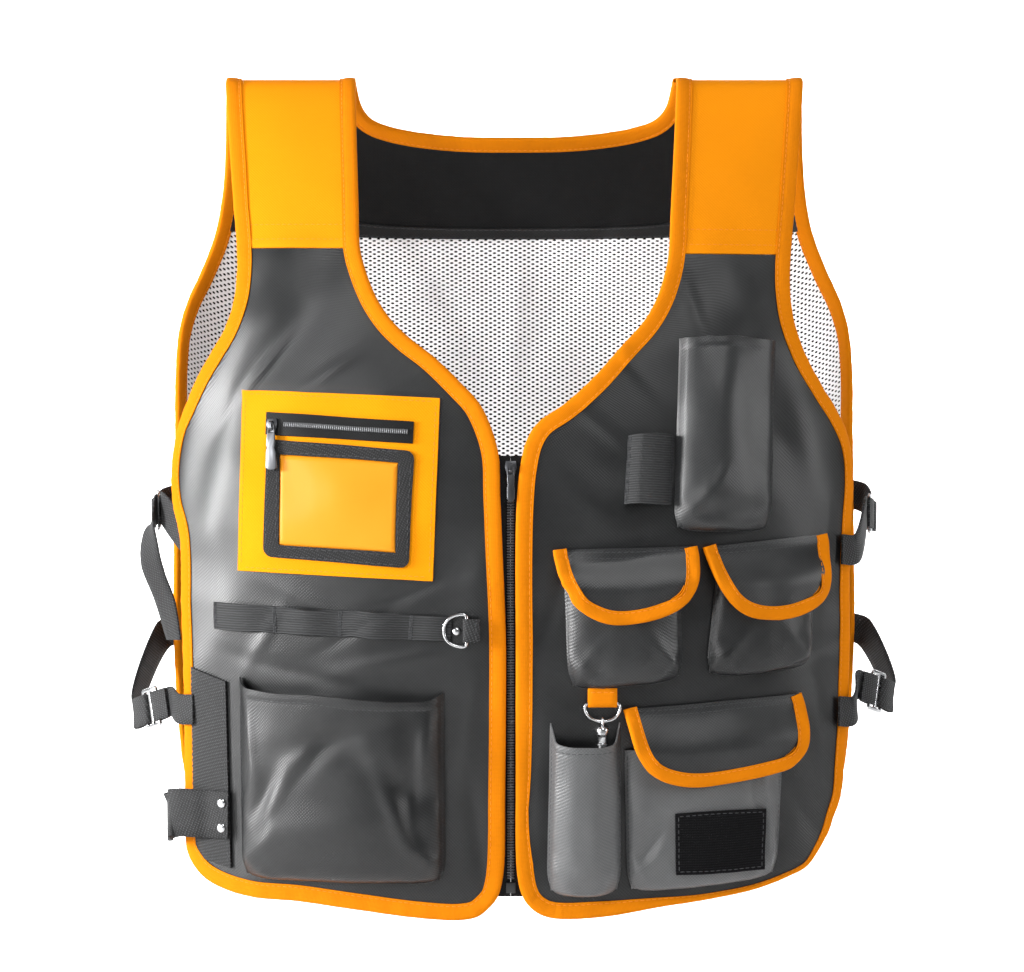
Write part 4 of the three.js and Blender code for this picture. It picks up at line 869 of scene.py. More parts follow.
@dataclass
class Repeat:
    """A small piece repeated over places by geometry nodes.

    Attributes:
        piece: The piece to repeat, used up when it has been repeated.
        material: What it is made of.
    """

    piece: bpy.types.Object
    material: bpy.types.Material

    def over(self, name: str, places: np.ndarray, ways: np.ndarray, outs: np.ndarray) -> bpy.types.Object:
        """One object with a piece at each place.

        Args:
            name: The object's name.
            places: The places in millimetres.
            ways: The direction of the piece's x axis at each place.
            outs: The direction out of the cloth at each place.

        Returns:
            The object.
        """
        outs = unit(outs - ways * (outs * ways).sum(-1, keepdims=True))
        sides = np.cross(outs, ways)
        mesh = bpy.data.meshes.new(name)
        mesh.from_pydata((places * MM).tolist(), [], [])
        turn = mesh.attributes.new("turn", "QUATERNION", "POINT")
        basis = np.stack([ways, sides, outs], -1)
        spins = [Matrix(rows.tolist()).to_quaternion() for rows in basis]
        turn.data.foreach_set("value", np.array([tuple(spin) for spin in spins], np.float32).ravel())
        made = linked(name, mesh)
        tree = NodeTree.geometry(f"{name}_rows")
        tree.socket("Piece", "NodeSocketObject")
        tree.socket("Material", "NodeSocketMaterial")
        start = tree.add("NodeGroupInput")
        info = tree.add("GeometryNodeObjectInfo", inputs={"Object": start["Piece"]})
        spin = tree.add("GeometryNodeInputNamedAttribute", {"data_type": "QUATERNION"}, {"Name": "turn"})
        points = tree.add("GeometryNodeMeshToPoints", inputs={"Mesh": start["Geometry"]})
        rows = tree.add(
            "GeometryNodeInstanceOnPoints",
            inputs={"Points": points["Points"], "Instance": info["Geometry"], "Rotation": spin["Attribute"]},
        )
        real = tree.add("GeometryNodeRealizeInstances", inputs={"Geometry": rows["Instances"]})
        dressed = tree.add(
            "GeometryNodeSetMaterial", inputs={"Geometry": real["Geometry"], "Material": start["Material"]}
        )
        tree.add("NodeGroupOutput", inputs={"Geometry": dressed["Geometry"]})
        modifier = made.modifiers.new("rows", "NODES")
        modifier.node_group = tree.tree
        for item in tree.tree.interface.items_tree:
            if item.name == "Piece":
                modifier[item.identifier] = self.piece
            elif item.name == "Material":
                modifier[item.identifier] = self.material
        applied(made)
        discard(self.piece)
        log.info("%s: %d repeats", name, len(places))
        return made


# Node trees


class NodeRef:
    """A node whose outputs are read by name."""

    def __init__(self, node: bpy.types.Node) -> None:
        """Keeps the node."""
        self.node = node

    def __getitem__(self, name: str | int) -> "Value":
        """The output of a name or place, as a value for sums."""
        if isinstance(name, str):
            open_ones = [s for s in self.node.outputs if s.name == name and s.enabled]
            return Value((open_ones or [self.node.outputs[name]])[0])
        return Value(self.node.outputs[name])


class Value:
    """A socket or number that can be added, multiplied and compared like a number."""

    def __init__(self, socket: bpy.types.NodeSocket) -> None:
        """Keeps the socket."""
        self.socket = socket

    @property
    def tree(self) -> bpy.types.NodeTree:
        """The tree that the socket is in."""
        return self.socket.id_data

    def maths(self, operation: str, *others: "Value | float") -> "Value":
        """The result of a sum of this value with others."""
        node = self.tree.nodes.new("ShaderNodeMath")
        node.operation = operation
        for index, item in enumerate((self, *others)):
            if isinstance(item, Value):
                self.tree.links.new(item.socket, node.inputs[index])
            else:
                node.inputs[index].default_value = item
        return Value(node.outputs[0])

    def reflected(self, operation: str, other: float) -> "Value":
        """The result of a sum with a number before this value."""
        node = self.tree.nodes.new("ShaderNodeMath")
        node.operation = operation
        node.inputs[0].default_value = other
        self.tree.links.new(self.socket, node.inputs[1])
        return Value(node.outputs[0])

    def __add__(self, other: "Value | float") -> "Value":
        return self.maths("ADD", other)

    def __radd__(self, other: float) -> "Value":
        return self.reflected("ADD", other)

    def __sub__(self, other: "Value | float") -> "Value":
        return self.maths("SUBTRACT", other)

    def __rsub__(self, other: float) -> "Value":
        return self.reflected("SUBTRACT", other)

    def __mul__(self, other: "Value | float") -> "Value":
        return self.maths("MULTIPLY", other)

    def __rmul__(self, other: float) -> "Value":
        return self.reflected("MULTIPLY", other)

    def __truediv__(self, other: "Value | float") -> "Value":
        return self.maths("DIVIDE", other)

    def __rtruediv__(self, other: float) -> "Value":
        return self.reflected("DIVIDE", other)

    def __pow__(self, other: "Value | float") -> "Value":
        return self.maths("POWER", other)

    def clamped(self) -> "Value":
        """The value held between 0 and 1."""
        return self.maths("MAXIMUM", 0.0).maths("MINIMUM", 1.0)

    def wave(self) -> "Value":
        """A smooth wave of this value's whole turns, between 0 and 1."""
        return (self * (2 * math.pi)).maths("SINE") * 0.5 + 0.5


class NodeTree:
    """A node tree that nodes are added to by type, settings and inputs."""

    def __init__(self, tree: bpy.types.NodeTree) -> None:
        """Keeps the tree."""
        self.tree = tree

    @classmethod
    def geometry(cls, name: str) -> "NodeTree":
        """A new tree of geometry nodes with a geometry going in and out."""
        made = cls(bpy.data.node_groups.new(name, "GeometryNodeTree"))
        made.tree.interface.new_socket(name="Geometry", in_out="INPUT", socket_type="NodeSocketGeometry")
        made.tree.interface.new_socket(name="Geometry", in_out="OUTPUT", socket_type="NodeSocketGeometry")
        return made

    @classmethod
    def surface(cls, name: str) -> tuple["NodeTree", bpy.types.Material]:
        """A new material and its empty tree."""
        material = bpy.data.materials.new(name)
        material.use_nodes = True
        material.node_tree.nodes.clear()
        return cls(material.node_tree), material

    def socket(self, name: str, kind: str) -> None:
        """Adds a named input to the tree."""
        self.tree.interface.new_socket(name=name, in_out="INPUT", socket_type=kind)

    def add(self, kind: str, settings: dict | None = None, inputs: dict | None = None) -> NodeRef:
        """Adds a node.

        Args:
            kind: The node's type.
            settings: Its settings.
            inputs: What its inputs are: values, numbers or colours.

        Returns:
            The node.
        """
        node = self.tree.nodes.new(kind)
        for key, value in (settings or {}).items():
            setattr(node, key, value)
        for key, value in (inputs or {}).items():
            named = [s for s in node.inputs if s.name == key and s.enabled] if isinstance(key, str) else []
            target = named[0] if named else node.inputs[key]
            if isinstance(value, Value):
                self.tree.links.new(value.socket, target)
            else:
                target.default_value = value
        return NodeRef(node)

    def mix(self, share: Value | float, low: Value | tuple, high: Value | tuple) -> Value:
        """A mix of two colours."""
        node = self.tree.nodes.new("ShaderNodeMix")
        node.data_type = "RGBA"
        for index, item in ((0, share), (6, low), (7, high)):
            if isinstance(item, Value):
                self.tree.links.new(item.socket, node.inputs[index])
            else:
                node.inputs[index].default_value = item
        return Value(node.outputs[2])


def shade(red: float, green: float, blue: float) -> tuple[float, float, float, float]:
    """A colour from the 0 to 255 levels of a screen."""

    def level(value: float) -> float:
        share = value / 255
        return share / 12.92 if share <= 0.04045 else ((share + 0.055) / 1.055) ** 2.4

    return (level(red), level(green), level(blue), 1.0)


@dataclass(frozen=True)
class Surface:
    """What every finish of the vest has in common.

    Attributes:
        name: The material's name.
        colour: Its main colour.
        rough: Its roughness.
        metal: How metallic it is.
        shine: How strongly it mirrors light.
    """

    name: str
    colour: tuple
    rough: float = 0.7
    metal: float = 0.0
    shine: float = 0.5

    def made(self) -> bpy.types.Material:
        """The material, made once and kept by its name."""
        found = bpy.data.materials.get(self.name)
        if found is not None:
            return found
        tree, material = NodeTree.surface(self.name)
        inputs = {"Base Color": self.colour, "Roughness": self.rough, "Metallic": self.metal}
        shader = tree.add("ShaderNodeBsdfPrincipled", inputs=inputs)
        shader.node.inputs["Specular IOR Level"].default_value = self.shine
        self.dress(tree, shader)
        tree.add("ShaderNodeOutputMaterial", inputs={"Surface": self.outcome(tree, shader)})
        return material

    def dress(self, tree: NodeTree, shader: NodeRef) -> None:
        """Adds what is special to the finish."""

    def outcome(self, tree: NodeTree, shader: NodeRef) -> Value:
        """The shader that the material ends in."""
        return shader["BSDF"]

    @staticmethod
    def cloth_places(tree: NodeTree) -> tuple[Value, Value]:
        """Places on the flat cloth, in metres, across and along."""
        spots = tree.add("ShaderNodeUVMap", {"uv_map": "cloth"})
        parts = tree.add("ShaderNodeSeparateXYZ", inputs={"Vector": spots["UV"]})
        return parts["X"], parts["Y"]

    @staticmethod
    def blotches(tree: NodeTree, size: float, detail: float = 3.0) -> Value:
        """Soft noise in the object's own space, its spots about a size across in metres."""
        spots = tree.add("ShaderNodeTexCoord")
        noise = tree.add(
            "ShaderNodeTexNoise",
            inputs={"Vector": spots["Object"], "Scale": 1 / size, "Detail": detail, "Roughness": 0.55},
        )
        return noise["Fac"]

    @staticmethod
    def bump(tree: NodeTree, shader: NodeRef, height: Value, depth: float, strength: float = 1.0) -> None:
        """Turns the shader's normal by a height of 0 to 1, with a depth in millimetres."""
        settings = {"Height": height, "Distance": depth * MM, "Strength": strength}
        Surface.feed(tree, shader, "Normal", tree.add("ShaderNodeBump", inputs=settings)["Normal"])

    @staticmethod
    def feed(tree: NodeTree, shader: NodeRef, name: str, value: Value) -> None:
        """Leads a value into one of the shader's inputs."""
        tree.tree.links.new(value.socket, shader.node.inputs[name])


def darker(colour: tuple, by: float) -> tuple:
    """A colour with its levels multiplied."""
    return (colour[0] * by, colour[1] * by, colour[2] * by, 1.0)


@dataclass(frozen=True)
class WovenCloth(Surface):
    """Coated polyester, a plain weave of thick yarns seen as a fine crosshatch.

    Attributes:
        pitch: The distance between yarns in millimetres.
        depth: How deep the weave is in millimetres.
        contrast: How much darker the gaps between the yarns and how much lighter the yarn tops are painted,
            as painted shade and painted highlight.
    """

    pitch: float = 1.6
    depth: float = 0.15
    contrast: float = 1.0

    def dress(self, tree: NodeTree, shader: NodeRef) -> None:
        """Adds the weave and the cloth's uneven shine."""
        u, v = self.cloth_places(tree)
        per = 1000 / (self.pitch * 1.414)
        height = ((u + v) * per).wave() * 0.5 + ((u - v) * per).wave() * 0.5
        soft = self.blotches(tree, 0.035)
        fine = self.blotches(tree, 0.004, 2.0)
        # The weave's share of the tone is painted light: painted shade in the gaps between the yarns and
        # painted highlight on their tops. The fine noise is random tone.
        tone = (height * 0.75 + fine * 0.25).clamped()
        low = darker(self.colour, 1 - self.contrast)
        high = darker(self.colour, 1 + self.contrast * 0.55)
        self.feed(tree, shader, "Base Color", tree.mix(tone, low, high))
        self.feed(tree, shader, "Roughness", (self.rough - 0.09 + soft * 0.18).clamped())
        self.bump(tree, shader, height * 0.85 + fine * 0.3, self.depth)


@dataclass(frozen=True)
class BindingTape(Surface):
    """Ribbed tape folded over the edges."""

    pitch: float = 0.9

    def dress(self, tree: NodeTree, shader: NodeRef) -> None:
        """Adds ribs across the tape and its fibres, the rib valleys painted darker as painted shade."""
        u, v = self.cloth_places(tree)
        ribs = (v * (1000 / self.pitch)).wave()
        along = (u * (1000 / 1.3)).wave()
        fine = self.blotches(tree, 0.003, 2.0)
        wide = self.blotches(tree, 0.03)
        # The ribs' share of the tone is painted shade in the rib valleys and a faint painted highlight on the
        # crests. The noise shares are random tone.
        tone = (ribs * 0.5 + fine * 0.3 + wide * 0.2).clamped()
        colour = tree.mix(tone, darker(self.colour, 0.8), darker(self.colour, 1.08))
        self.feed(tree, shader, "Base Color", colour)
        self.bump(tree, shader, ribs * 0.7 + along * 0.3, 0.1)


@dataclass(frozen=True)
class Webbing(Surface):
    """Heavy webbing with a coarse basket weave.

    Attributes:
        pitch: The distance between yarns in millimetres.
        bright: The colour of the yarns that catch the light.
        share: How much of the surface those take.
    """

    pitch: float = 1.8
    bright: tuple = (0.05, 0.05, 0.055, 1.0)
    share: float = 0.5

    def dress(self, tree: NodeTree, shader: NodeRef) -> None:
        """Adds the basket weave and its speckles."""
        u, v = self.cloth_places(tree)
        per = 1000 / self.pitch
        one = ((u + v * 0.5) * per).wave()
        two = ((v - u * 0.35) * (per * 0.8)).wave()
        weave = one * two
        fine = self.blotches(tree, 0.0013, 1.0)
        tone = ((weave * 1.3 + fine - 0.75) * 1.6 * self.share * 2).clamped()
        self.feed(tree, shader, "Base Color", tree.mix(tone, self.colour, self.bright))
        self.bump(tree, shader, weave * 0.8 + fine * 0.2, 0.35)


@dataclass(frozen=True)
class Elastic(Surface):
    """Elastic with ribs along its length."""

    pitch: float = 1.75
    bright: tuple = (0.05, 0.05, 0.055, 1.0)

    def dress(self, tree: NodeTree, shader: NodeRef) -> None:
        """Adds the ribs, their tops painted in the bright colour as painted highlight, and the fine cross
        threads.
        """
        u, v = self.cloth_places(tree)
        ribs = (v * (1000 / self.pitch)).wave()
        cross = (u * (1000 / 0.9)).wave()
        # The rib tops take the bright colour: painted highlight on the black elastic.
        tone = ((ribs ** 2.0) * (0.55 + cross * 0.45)).clamped()
        self.feed(tree, shader, "Base Color", tree.mix(tone, self.colour, self.bright))
        self.bump(tree, shader, ribs * 0.8 + cross * 0.2, 0.3)


@dataclass(frozen=True)
class HookTape(Surface):
    """Hook tape: near black with fine rows of hooks."""

    def dress(self, tree: NodeTree, shader: NodeRef) -> None:
        """Adds the rows of hooks, painted lighter as painted highlight."""
        u, v = self.cloth_places(tree)
        rows = (v * (1000 / 1.7)).wave()
        cells = (u * (1000 / 1.2)).wave()
        # The hooks are painted lighter than the tape: painted highlight where they catch the light.
        tone = (rows * (0.4 + cells * 0.6)).clamped()
        self.feed(tree, shader, "Base Color", tree.mix(tone, self.colour, shade(26, 26, 28)))
        self.bump(tree, shader, rows * cells, 0.4)


@dataclass(frozen=True)
class Metal(Surface):
    """Plated or brushed metal with light wear."""

    wear: float = 0.12

    def dress(self, tree: NodeTree, shader: NodeRef) -> None:
        """Adds uneven roughness and faint pits."""
        spots = self.blotches(tree, 0.004, 4.0)
        self.feed(tree, shader, "Roughness", (self.rough - self.wear / 2 + spots * self.wear).clamped())
        self.bump(tree, shader, spots, 0.03)


@dataclass(frozen=True)
class Film(Surface):
    """Clear plastic film of the window, over the patch's cloth."""

    def dress(self, tree: NodeTree, shader: NodeRef) -> None:
        """Adds its clear, slightly wavy face."""
        shader.node.inputs["Coat Weight"].default_value = 0.05
        shader.node.inputs["Coat Roughness"].default_value = 0.25
        slow = self.blotches(tree, 0.03, 1.0)
        self.bump(tree, shader, slow, 0.5)


@dataclass(frozen=True)
class Mesh3d(Surface):
    """Knitted net: white strands round dark oval holes, through which light passes.

    Attributes:
        across: The distance between holes in a row, in millimetres.
        down: The distance between rows.
    """

    across: float = 6.4
    down: float = 3.45

    def dress(self, tree: NodeTree, shader: NodeRef) -> None:
        """Adds the strands' roundness, with painted shade darkening the strands towards the holes, and the
        holes.
        """
        hole = self.hole(tree)
        rim = (hole * 1.2).clamped()
        fine = self.blotches(tree, 0.002, 2.0)
        # The strands darken towards each hole's rim: painted shade of their rounded sides.
        tone = (1.0 - rim * 0.25) * (0.9 + fine * 0.2)
        self.feed(tree, shader, "Base Color", tree.mix(tone.clamped(), darker(self.colour, 0.5), self.colour))
        self.bump(tree, shader, 1.0 - rim, 0.4)
        open_share = ((hole - 0.42) * 9.0).clamped()
        self.feed(tree, shader, "Alpha", 1.0 - open_share)

    def hole(self, tree: NodeTree) -> Value:
        """A height that is 1 in the middle of each hole and 0 on the strands."""
        u, v = self.cloth_places(tree)
        a = u * (1000 / self.across)
        b = v * (1000 / self.down)
        even = self.spot(a, b)
        odd = self.spot(a + 0.5, b + 0.5)
        return even.maths("MAXIMUM", odd)

    @staticmethod
    def spot(a: Value, b: Value) -> Value:
        """One hole in each cell of a grid."""
        x = (a.maths("FRACT") - 0.5).maths("ABSOLUTE")
        y = (b.maths("FRACT") - 0.5).maths("ABSOLUTE")
        reach = (x * x * 14.5) + (y * y * 12.0)
        return (1.0 - reach).clamped()


DARK = WovenCloth("dark_cloth_look", shade(25, 26, 27), rough=0.34, shine=0.5)
# Shaded copy of the dark cloth for the left front and its outer flap pocket: the darker, less shiny base is
# painted shade for the side away from the key light. The back yoke's hem band uses it too.
SHADED_DARK = WovenCloth("left_cloth_look", shade(24, 25, 26), rough=0.36, shine=0.45)
GREY = WovenCloth("grey_cloth_look", shade(84, 85, 86), rough=0.36, shine=0.5, contrast=0.4)
# Lit copy of the dark cloth for the flaps and some pouches: its lighter base is painted highlight for the
# light that their bulges catch.
LIT_FLAP_CLOTH = WovenCloth("flap_cloth_look", shade(38, 39, 40), rough=0.36, shine=0.5)
BLACK = WovenCloth("black_cloth_look", shade(11, 12, 13), rough=0.6, shine=0.2)
YOKE = WovenCloth("yoke_cloth_look", shade(224, 133, 4), rough=0.8, shine=0.08, contrast=0.1)
PATCH = WovenCloth("patch_cloth_look", shade(222, 137, 3), rough=0.8, shine=0.08, contrast=0.08)
BINDING = BindingTape("binding_look", shade(210, 119, 3), rough=0.85, shine=0.08)
NETTING = Mesh3d("net_look", shade(250, 250, 252), rough=0.9)
WEB = Webbing("webbing_look", shade(10, 10, 11), rough=0.75, bright=shade(50, 51, 53))
FRAME_WEB = Webbing("frame_webbing_look", shade(6, 6, 7), rough=0.85, bright=shade(42, 42, 44), share=0.5)
RUBBER = Elastic("elastic_look", shade(12, 13, 14), rough=0.75, bright=shade(50, 51, 53))
HOOKS = HookTape("hook_tape_look", shade(7, 7, 8), rough=0.9, shine=0.1)
FILM = Film("clear_window_look", shade(212, 132, 14), rough=0.6, shine=0.2)
COIL = Metal("zip_coil_look", shade(72, 73, 76), rough=0.3, metal=0.5)
PALE_COIL = Metal("id_coil_look", shade(118, 119, 121), rough=0.35, metal=0.4)
GUNMETAL = Metal("pull_metal_look", shade(88, 89, 92), rough=0.36, metal=1.0)
MOULDED = Surface("zip_box_look", shade(28, 29, 31), rough=0.4)
STEEL = Metal("metal_look", shade(196, 197, 199), rough=0.26, metal=1.0)
DARK_THREAD = Surface("dark_thread_look", shade(58, 59, 61), rough=0.8)
BLACK_THREAD = Surface("black_thread_look", shade(52, 53, 55), rough=0.8)
ORANGE_THREAD = Surface("orange_thread_look", shade(222, 128, 6), rough=0.8)
THREAD = Thread()
TACK = Thread(1.9, 0.15, 0.7, 0.5)


def settle(
    thing: bpy.types.Object,
    finish: Surface | None,
    nodes: Sequence[str] = (),
    body: str = VEST,
) -> bpy.types.Object:
    """Gives a piece its finish, its body and the nodes that it stands for.

    Args:
        thing: The piece.
        finish: Its finish, or None where the piece already has its materials.
        nodes: The solids that it replaces.
        body: The body that it rides on.

    Returns:
        The piece.
    """
    if finish is not None:
        thing.data.materials.clear()
        thing.data.materials.append(finish.made())
    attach(thing, body)
    if nodes:
        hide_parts(*nodes)
    log.info("%s: %d faces, rides on %s", thing.name, len(thing.data.polygons), body)
    return thing


def declare(
    grid: np.ndarray, rests_on: Sequence[str]
) -> None:
    """Works out the area of a sheet's grid, and keeps nothing.

    Args:
        grid: The grid of its middle or outer face, in millimetres.
        rests_on: The names of what it lies on or hangs from; not used.
    """
    area = cloth_area(grid)


def declare_band(
    wide: float, rests_on: Sequence[str]
) -> None:
    """Works out a band's width in metres, and keeps nothing.

    Args:
        wide: The band's width in millimetres.
        rests_on: The names of what it lies on or hangs from; not used.
    """
    wide * MM


def front_under(across: float) -> str:
    """The name of the front that lies under a share of the half width."""
    return "right_front_look" if across < 0 else "left_front_look"


def stitched(
    name: str,
    cloths: Sequence[bpy.types.Object],
    lines: Sequence[np.ndarray],
    outs: Sequence[np.ndarray],
    finish: Surface,
    thread: Thread = THREAD,
) -> bpy.types.Object:
    """One piece from its cloths and the stitches on them.

    Args:
        name: The piece's name without its ending.
        cloths: The cloths, which are used up.
        lines: The lines of stitches.
        outs: The cloth's normals along them.
        finish: The thread's finish.
        thread: The stitch.

    Returns:
        The piece.
    """
    sewn = thread.sew(f"{name}_sewing", lines, outs, finish.made())
    return merged(f"{name}_look", [*cloths, sewn])


def rim_lines(top: np.ndarray, skip: int) -> tuple[list[np.ndarray], list[np.ndarray]]:
    """Lines just inside a sheet's sides, foot and head, with its normals along them."""
    out = outward(top)
    inside = slice(skip, -skip)
    picks = [(inside, 1), (inside, -2), (1, inside), (-2, inside)]
    return [top[pick] for pick in picks], [out[pick] for pick in picks]


def section_uv(section: Sequence[tuple], length: np.ndarray) -> np.ndarray:
    """Places on a flat tape, from its section's outline and the distances along it."""
    around = arc_lengths(np.array(section, float))
    return np.stack(np.broadcast_arrays(around[None], length[:, None]), -1)


def outward(grid: np.ndarray, form: BodyForm = FRONT) -> np.ndarray:
    """Normals of a grid, turned out of the body."""
    normals = sheet_frames(grid)
    return normals * (1.0 if (normals[..., 1].mean() * form.facing) > 0 else -1.0)


def sheet_between(
    name: str, grid: np.ndarray, thick: float, edge: float = 0.3
) -> tuple[bpy.types.Object, np.ndarray]:
    """A closed sheet of a thickness round a grid of its middle.

    Returns:
        The object, and the grid of its outer face.
    """
    out = outward(grid) * thick / 2
    return slab(name, grid + out, grid - out, edge), grid + out


TAPE_SECTION = [
    (11.6, 1.7), (10.9, 1.78), (9.9, 1.55), (8.8, 1.95), (6.5, 2.35), (3.6, 2.5), (1.6, 2.35), (0.55, 1.75),
    (0.08, 0.7), (0.08, -0.7), (0.55, -1.75), (1.6, -2.35), (3.6, -2.5), (6.5, -2.35), (8.8, -1.95),
    (9.9, -1.55), (10.9, -1.78), (11.6, -1.7), (11.6, -0.95), (6, -1.05), (1.3, -0.95), (1.3, 0.95),
    (6, 1.05), (11.6, 0.95),
]
TAPE_STITCH = (9.9, 1.72)
SIDE_SHOWN = Profile([0, 0.74, 0.82, 0.87, 0.91, 0.94, 1], [1, 1, 0.92, 0.74, 0.45, 0.3, 0.3])
HEM_SHOWN = Profile([0, 0.24, 0.36, 0.5, 0.76, 0.9, 1], [1, 1, 0.62, 0.3, 0.2, 0.24, 0.3])


def evened(values: np.ndarray, count: int) -> np.ndarray:
    """A row of values, each made the mean of an odd count round it."""
    return np.convolve(np.pad(values, count // 2, "edge"), np.ones(count) / count, "valid")


@dataclass
class EdgeTape:
    """Tape folded over a raw edge and sewn down.

    Attributes:
        name: The node's name.
        form: The side of the body.
        path: The edge's spots.
        inward: 1 or -1, for which way round the edge runs.
        turned: Whether its lower outer corner turns under, so that little of it shows.
    """

    name: str
    form: BodyForm
    path: np.ndarray
    inward: float
    turned: bool = False

    def depth_at(self, depth: float) -> np.ndarray:
        """How deep a line of the tape lies where its lower outer corner turns under.

        Args:
            depth: The line's depth on a full tape.

        Returns:
            One depth for each spot of the edge.
        """
        if not self.turned:
            return np.full(len(self.path), depth)
        across = np.abs(self.path[:, 0]) / HALF_WIDE
        down = -self.path[:, 1] / LONG
        side = np.where(down > 0.6, SIDE_SHOWN(down), 1)
        shown = np.where((down > 0.9) & (across < 0.85), HEM_SHOWN(across), side)
        return min(depth, EDGE_INSET) + max(depth - EDGE_INSET, 0) * evened(shown, 15)

    def rings(self) -> tuple[np.ndarray, np.ndarray]:
        """The tape's rings of points and their places on the flat tape."""
        _, into = edge_frames(self.form, self.path, self.inward)
        length = arc_lengths(self.path)
        pucker = 0.1 * np.sin(length * 0.9) + 0.12 * np.sin(length * 0.37 + 1.3)
        pucker = pucker + 0.08 * np.sin(length * 2.1 + 0.4)
        columns = []
        for k, (depth, lift) in enumerate(TAPE_SECTION):
            spot = inset(self.path, into, self.depth_at(depth)[:, None])
            swell = pucker * np.sign(lift) if 3 <= k <= 14 else 0.0
            columns.append(self.form.over(spot, lift + swell))
        return np.stack(columns, 1), section_uv(TAPE_SECTION, length)

    def build(self) -> bpy.types.Object:
        """The tape and its stitches, as one piece."""
        rings, uv = self.rings()
        body = loft(f"{self.name}_body", rings, uv, sharp=70)
        body.data.materials.append(BINDING.made())
        _, into = edge_frames(self.form, self.path, self.inward)
        line = inset(self.path, into, self.depth_at(TAPE_STITCH[0])[:, None])
        top = self.form.over(line, TAPE_STITCH[1])
        low = self.form.over(line, -TAPE_STITCH[1])
        out = self.form.facing_at(line)
        tape = stitched(self.name, [body], [top, low], [out, -out], ORANGE_THREAD)
        settle(tape, None, [self.name])
        declare_band(2 * TAPE_WIDE, [])
        return tape


YOKE_ROWS = [1, 0.74, 0.46, 0.21, 0.06, 0.01, 0]
SEAM_GAP = 0.3


@dataclass
class FrontHalf:
    """One front: its panel, its shoulder yoke and its tape.

    Attributes:
        name: right or left, the wearer's.
        away: -1 for the right front, 1 for the left.
        rows: Sections from the hem up: inner, its down, outer, its down.
        hem: Spots of the hem.
        strap: The inner and outer ends on the crest.
        finish: The panel's finish.
        turned: Whether its lower outer corner turns under.
    """

    name: str
    away: float
    rows: Sequence[tuple]
    hem: Sequence[tuple]
    strap: tuple[float, float]
    finish: Surface
    turned: bool = False
    spacing: float = 2.5

    def path(self) -> tuple[np.ndarray, list[int]]:
        """The whole edge from the crest round to the crest, and the marks of its table rows."""
        top = self.rows[-1]

        def climb(seam: float, down: float, crest: float) -> list[np.ndarray]:
            """Spots of a strap's edge from above the seam to the crest."""
            return [spot_at(self.away * (crest + (seam - crest) * s), down * s) for s in YOKE_ROWS[1:]]

        spots = climb(top[0], top[1], self.strap[0])[::-1]
        spots += [spot_at(self.away * row[0], row[1]) for row in self.rows][::-1]
        spots += [spot_at(self.away * across, down) for across, down in self.hem[1:-1]]
        spots += [spot_at(self.away * row[2], row[3]) for row in self.rows]
        spots += climb(top[2], top[3], self.strap[1])
        path, marks = smooth_path(np.array(spots), self.spacing)
        path[:, 1] = np.minimum(path[:, 1], 0)
        return path, marks

    def build(self) -> list[bpy.types.Object]:
        """The panel, the yoke and the tape."""
        path, marks = self.path()
        _, into = edge_frames(FRONT, path, self.away)
        tight = inset(path, into, EDGE_INSET)
        seam_in = len(YOKE_ROWS) - 1
        low_in = seam_in + len(self.rows) - 1
        low_out = low_in + len(self.hem) - 1
        seam_out = low_out + len(self.rows) - 1
        rows, columns = FRONT_GRID
        inner = resample(tight[marks[seam_in] : marks[low_in] + 1][::-1], rows)
        hem = resample(tight[marks[low_in] : marks[low_out] + 1], columns)
        outer = resample(tight[marks[low_out] : marks[seam_out] + 1], rows)
        seam = np.linspace(inner[-1], outer[-1], columns) - np.array([0, SEAM_GAP])
        inner[-1], outer[-1] = seam[0], seam[-1]
        grid = fill_grid(inner, outer, hem, seam)
        top = FRONT.over(grid, CLOTH / 2)
        low = FRONT.over(grid, -CLOTH / 2)
        yoke_name = f"{self.name}_yoke_look"
        panel = slab(f"{self.name}_front_look", top, low)
        settle(panel, self.finish, [f"{self.name}_front_panel"])
        declare(top, [yoke_name])

        rows, columns = SHOULDER_GRID
        yoke_in = resample(tight[: marks[seam_in] + 1][::-1], rows)
        yoke_out = resample(tight[marks[seam_out] :], rows)
        low_line = np.linspace(yoke_in[0], yoke_out[0], columns) + np.array([0, SEAM_GAP])
        yoke_in[0], yoke_out[0] = low_line[0], low_line[-1]
        crest = np.linspace(yoke_in[-1], yoke_out[-1], columns)
        spots = fill_grid(yoke_in, yoke_out, low_line, crest)
        spots[..., 1] = np.minimum(spots[..., 1], 0)
        above = -spots[..., 1] + spots[0, :, 1][None]
        fold = 0.45 * np.exp(-((-above - 4) ** 2) / 10)
        over = FRONT.over(spots, CLOTH / 2 + fold)
        under = FRONT.over(spots, -CLOTH / 2)
        sewn_rows = [3, 8]
        lines = [over[k, 4:-4] for k in sewn_rows]
        outs = [FRONT.normals(spots[k, 4:-4, 0], spots[k, 4:-4, 1]) for k in sewn_rows]
        cloth = slab(f"{yoke_name}_cloth", over, under)
        cloth.data.materials.append(YOKE.made())
        yoke = stitched(f"{self.name}_yoke", [cloth], lines, outs, ORANGE_THREAD)
        settle(yoke, None, [f"{self.name}_shoulder_yoke"])
        declare(over, ["back_yoke_look"])

        tape = EdgeTape(f"{self.name}_front_tape", FRONT, path, self.away, self.turned).build()
        return [panel, yoke, tape]


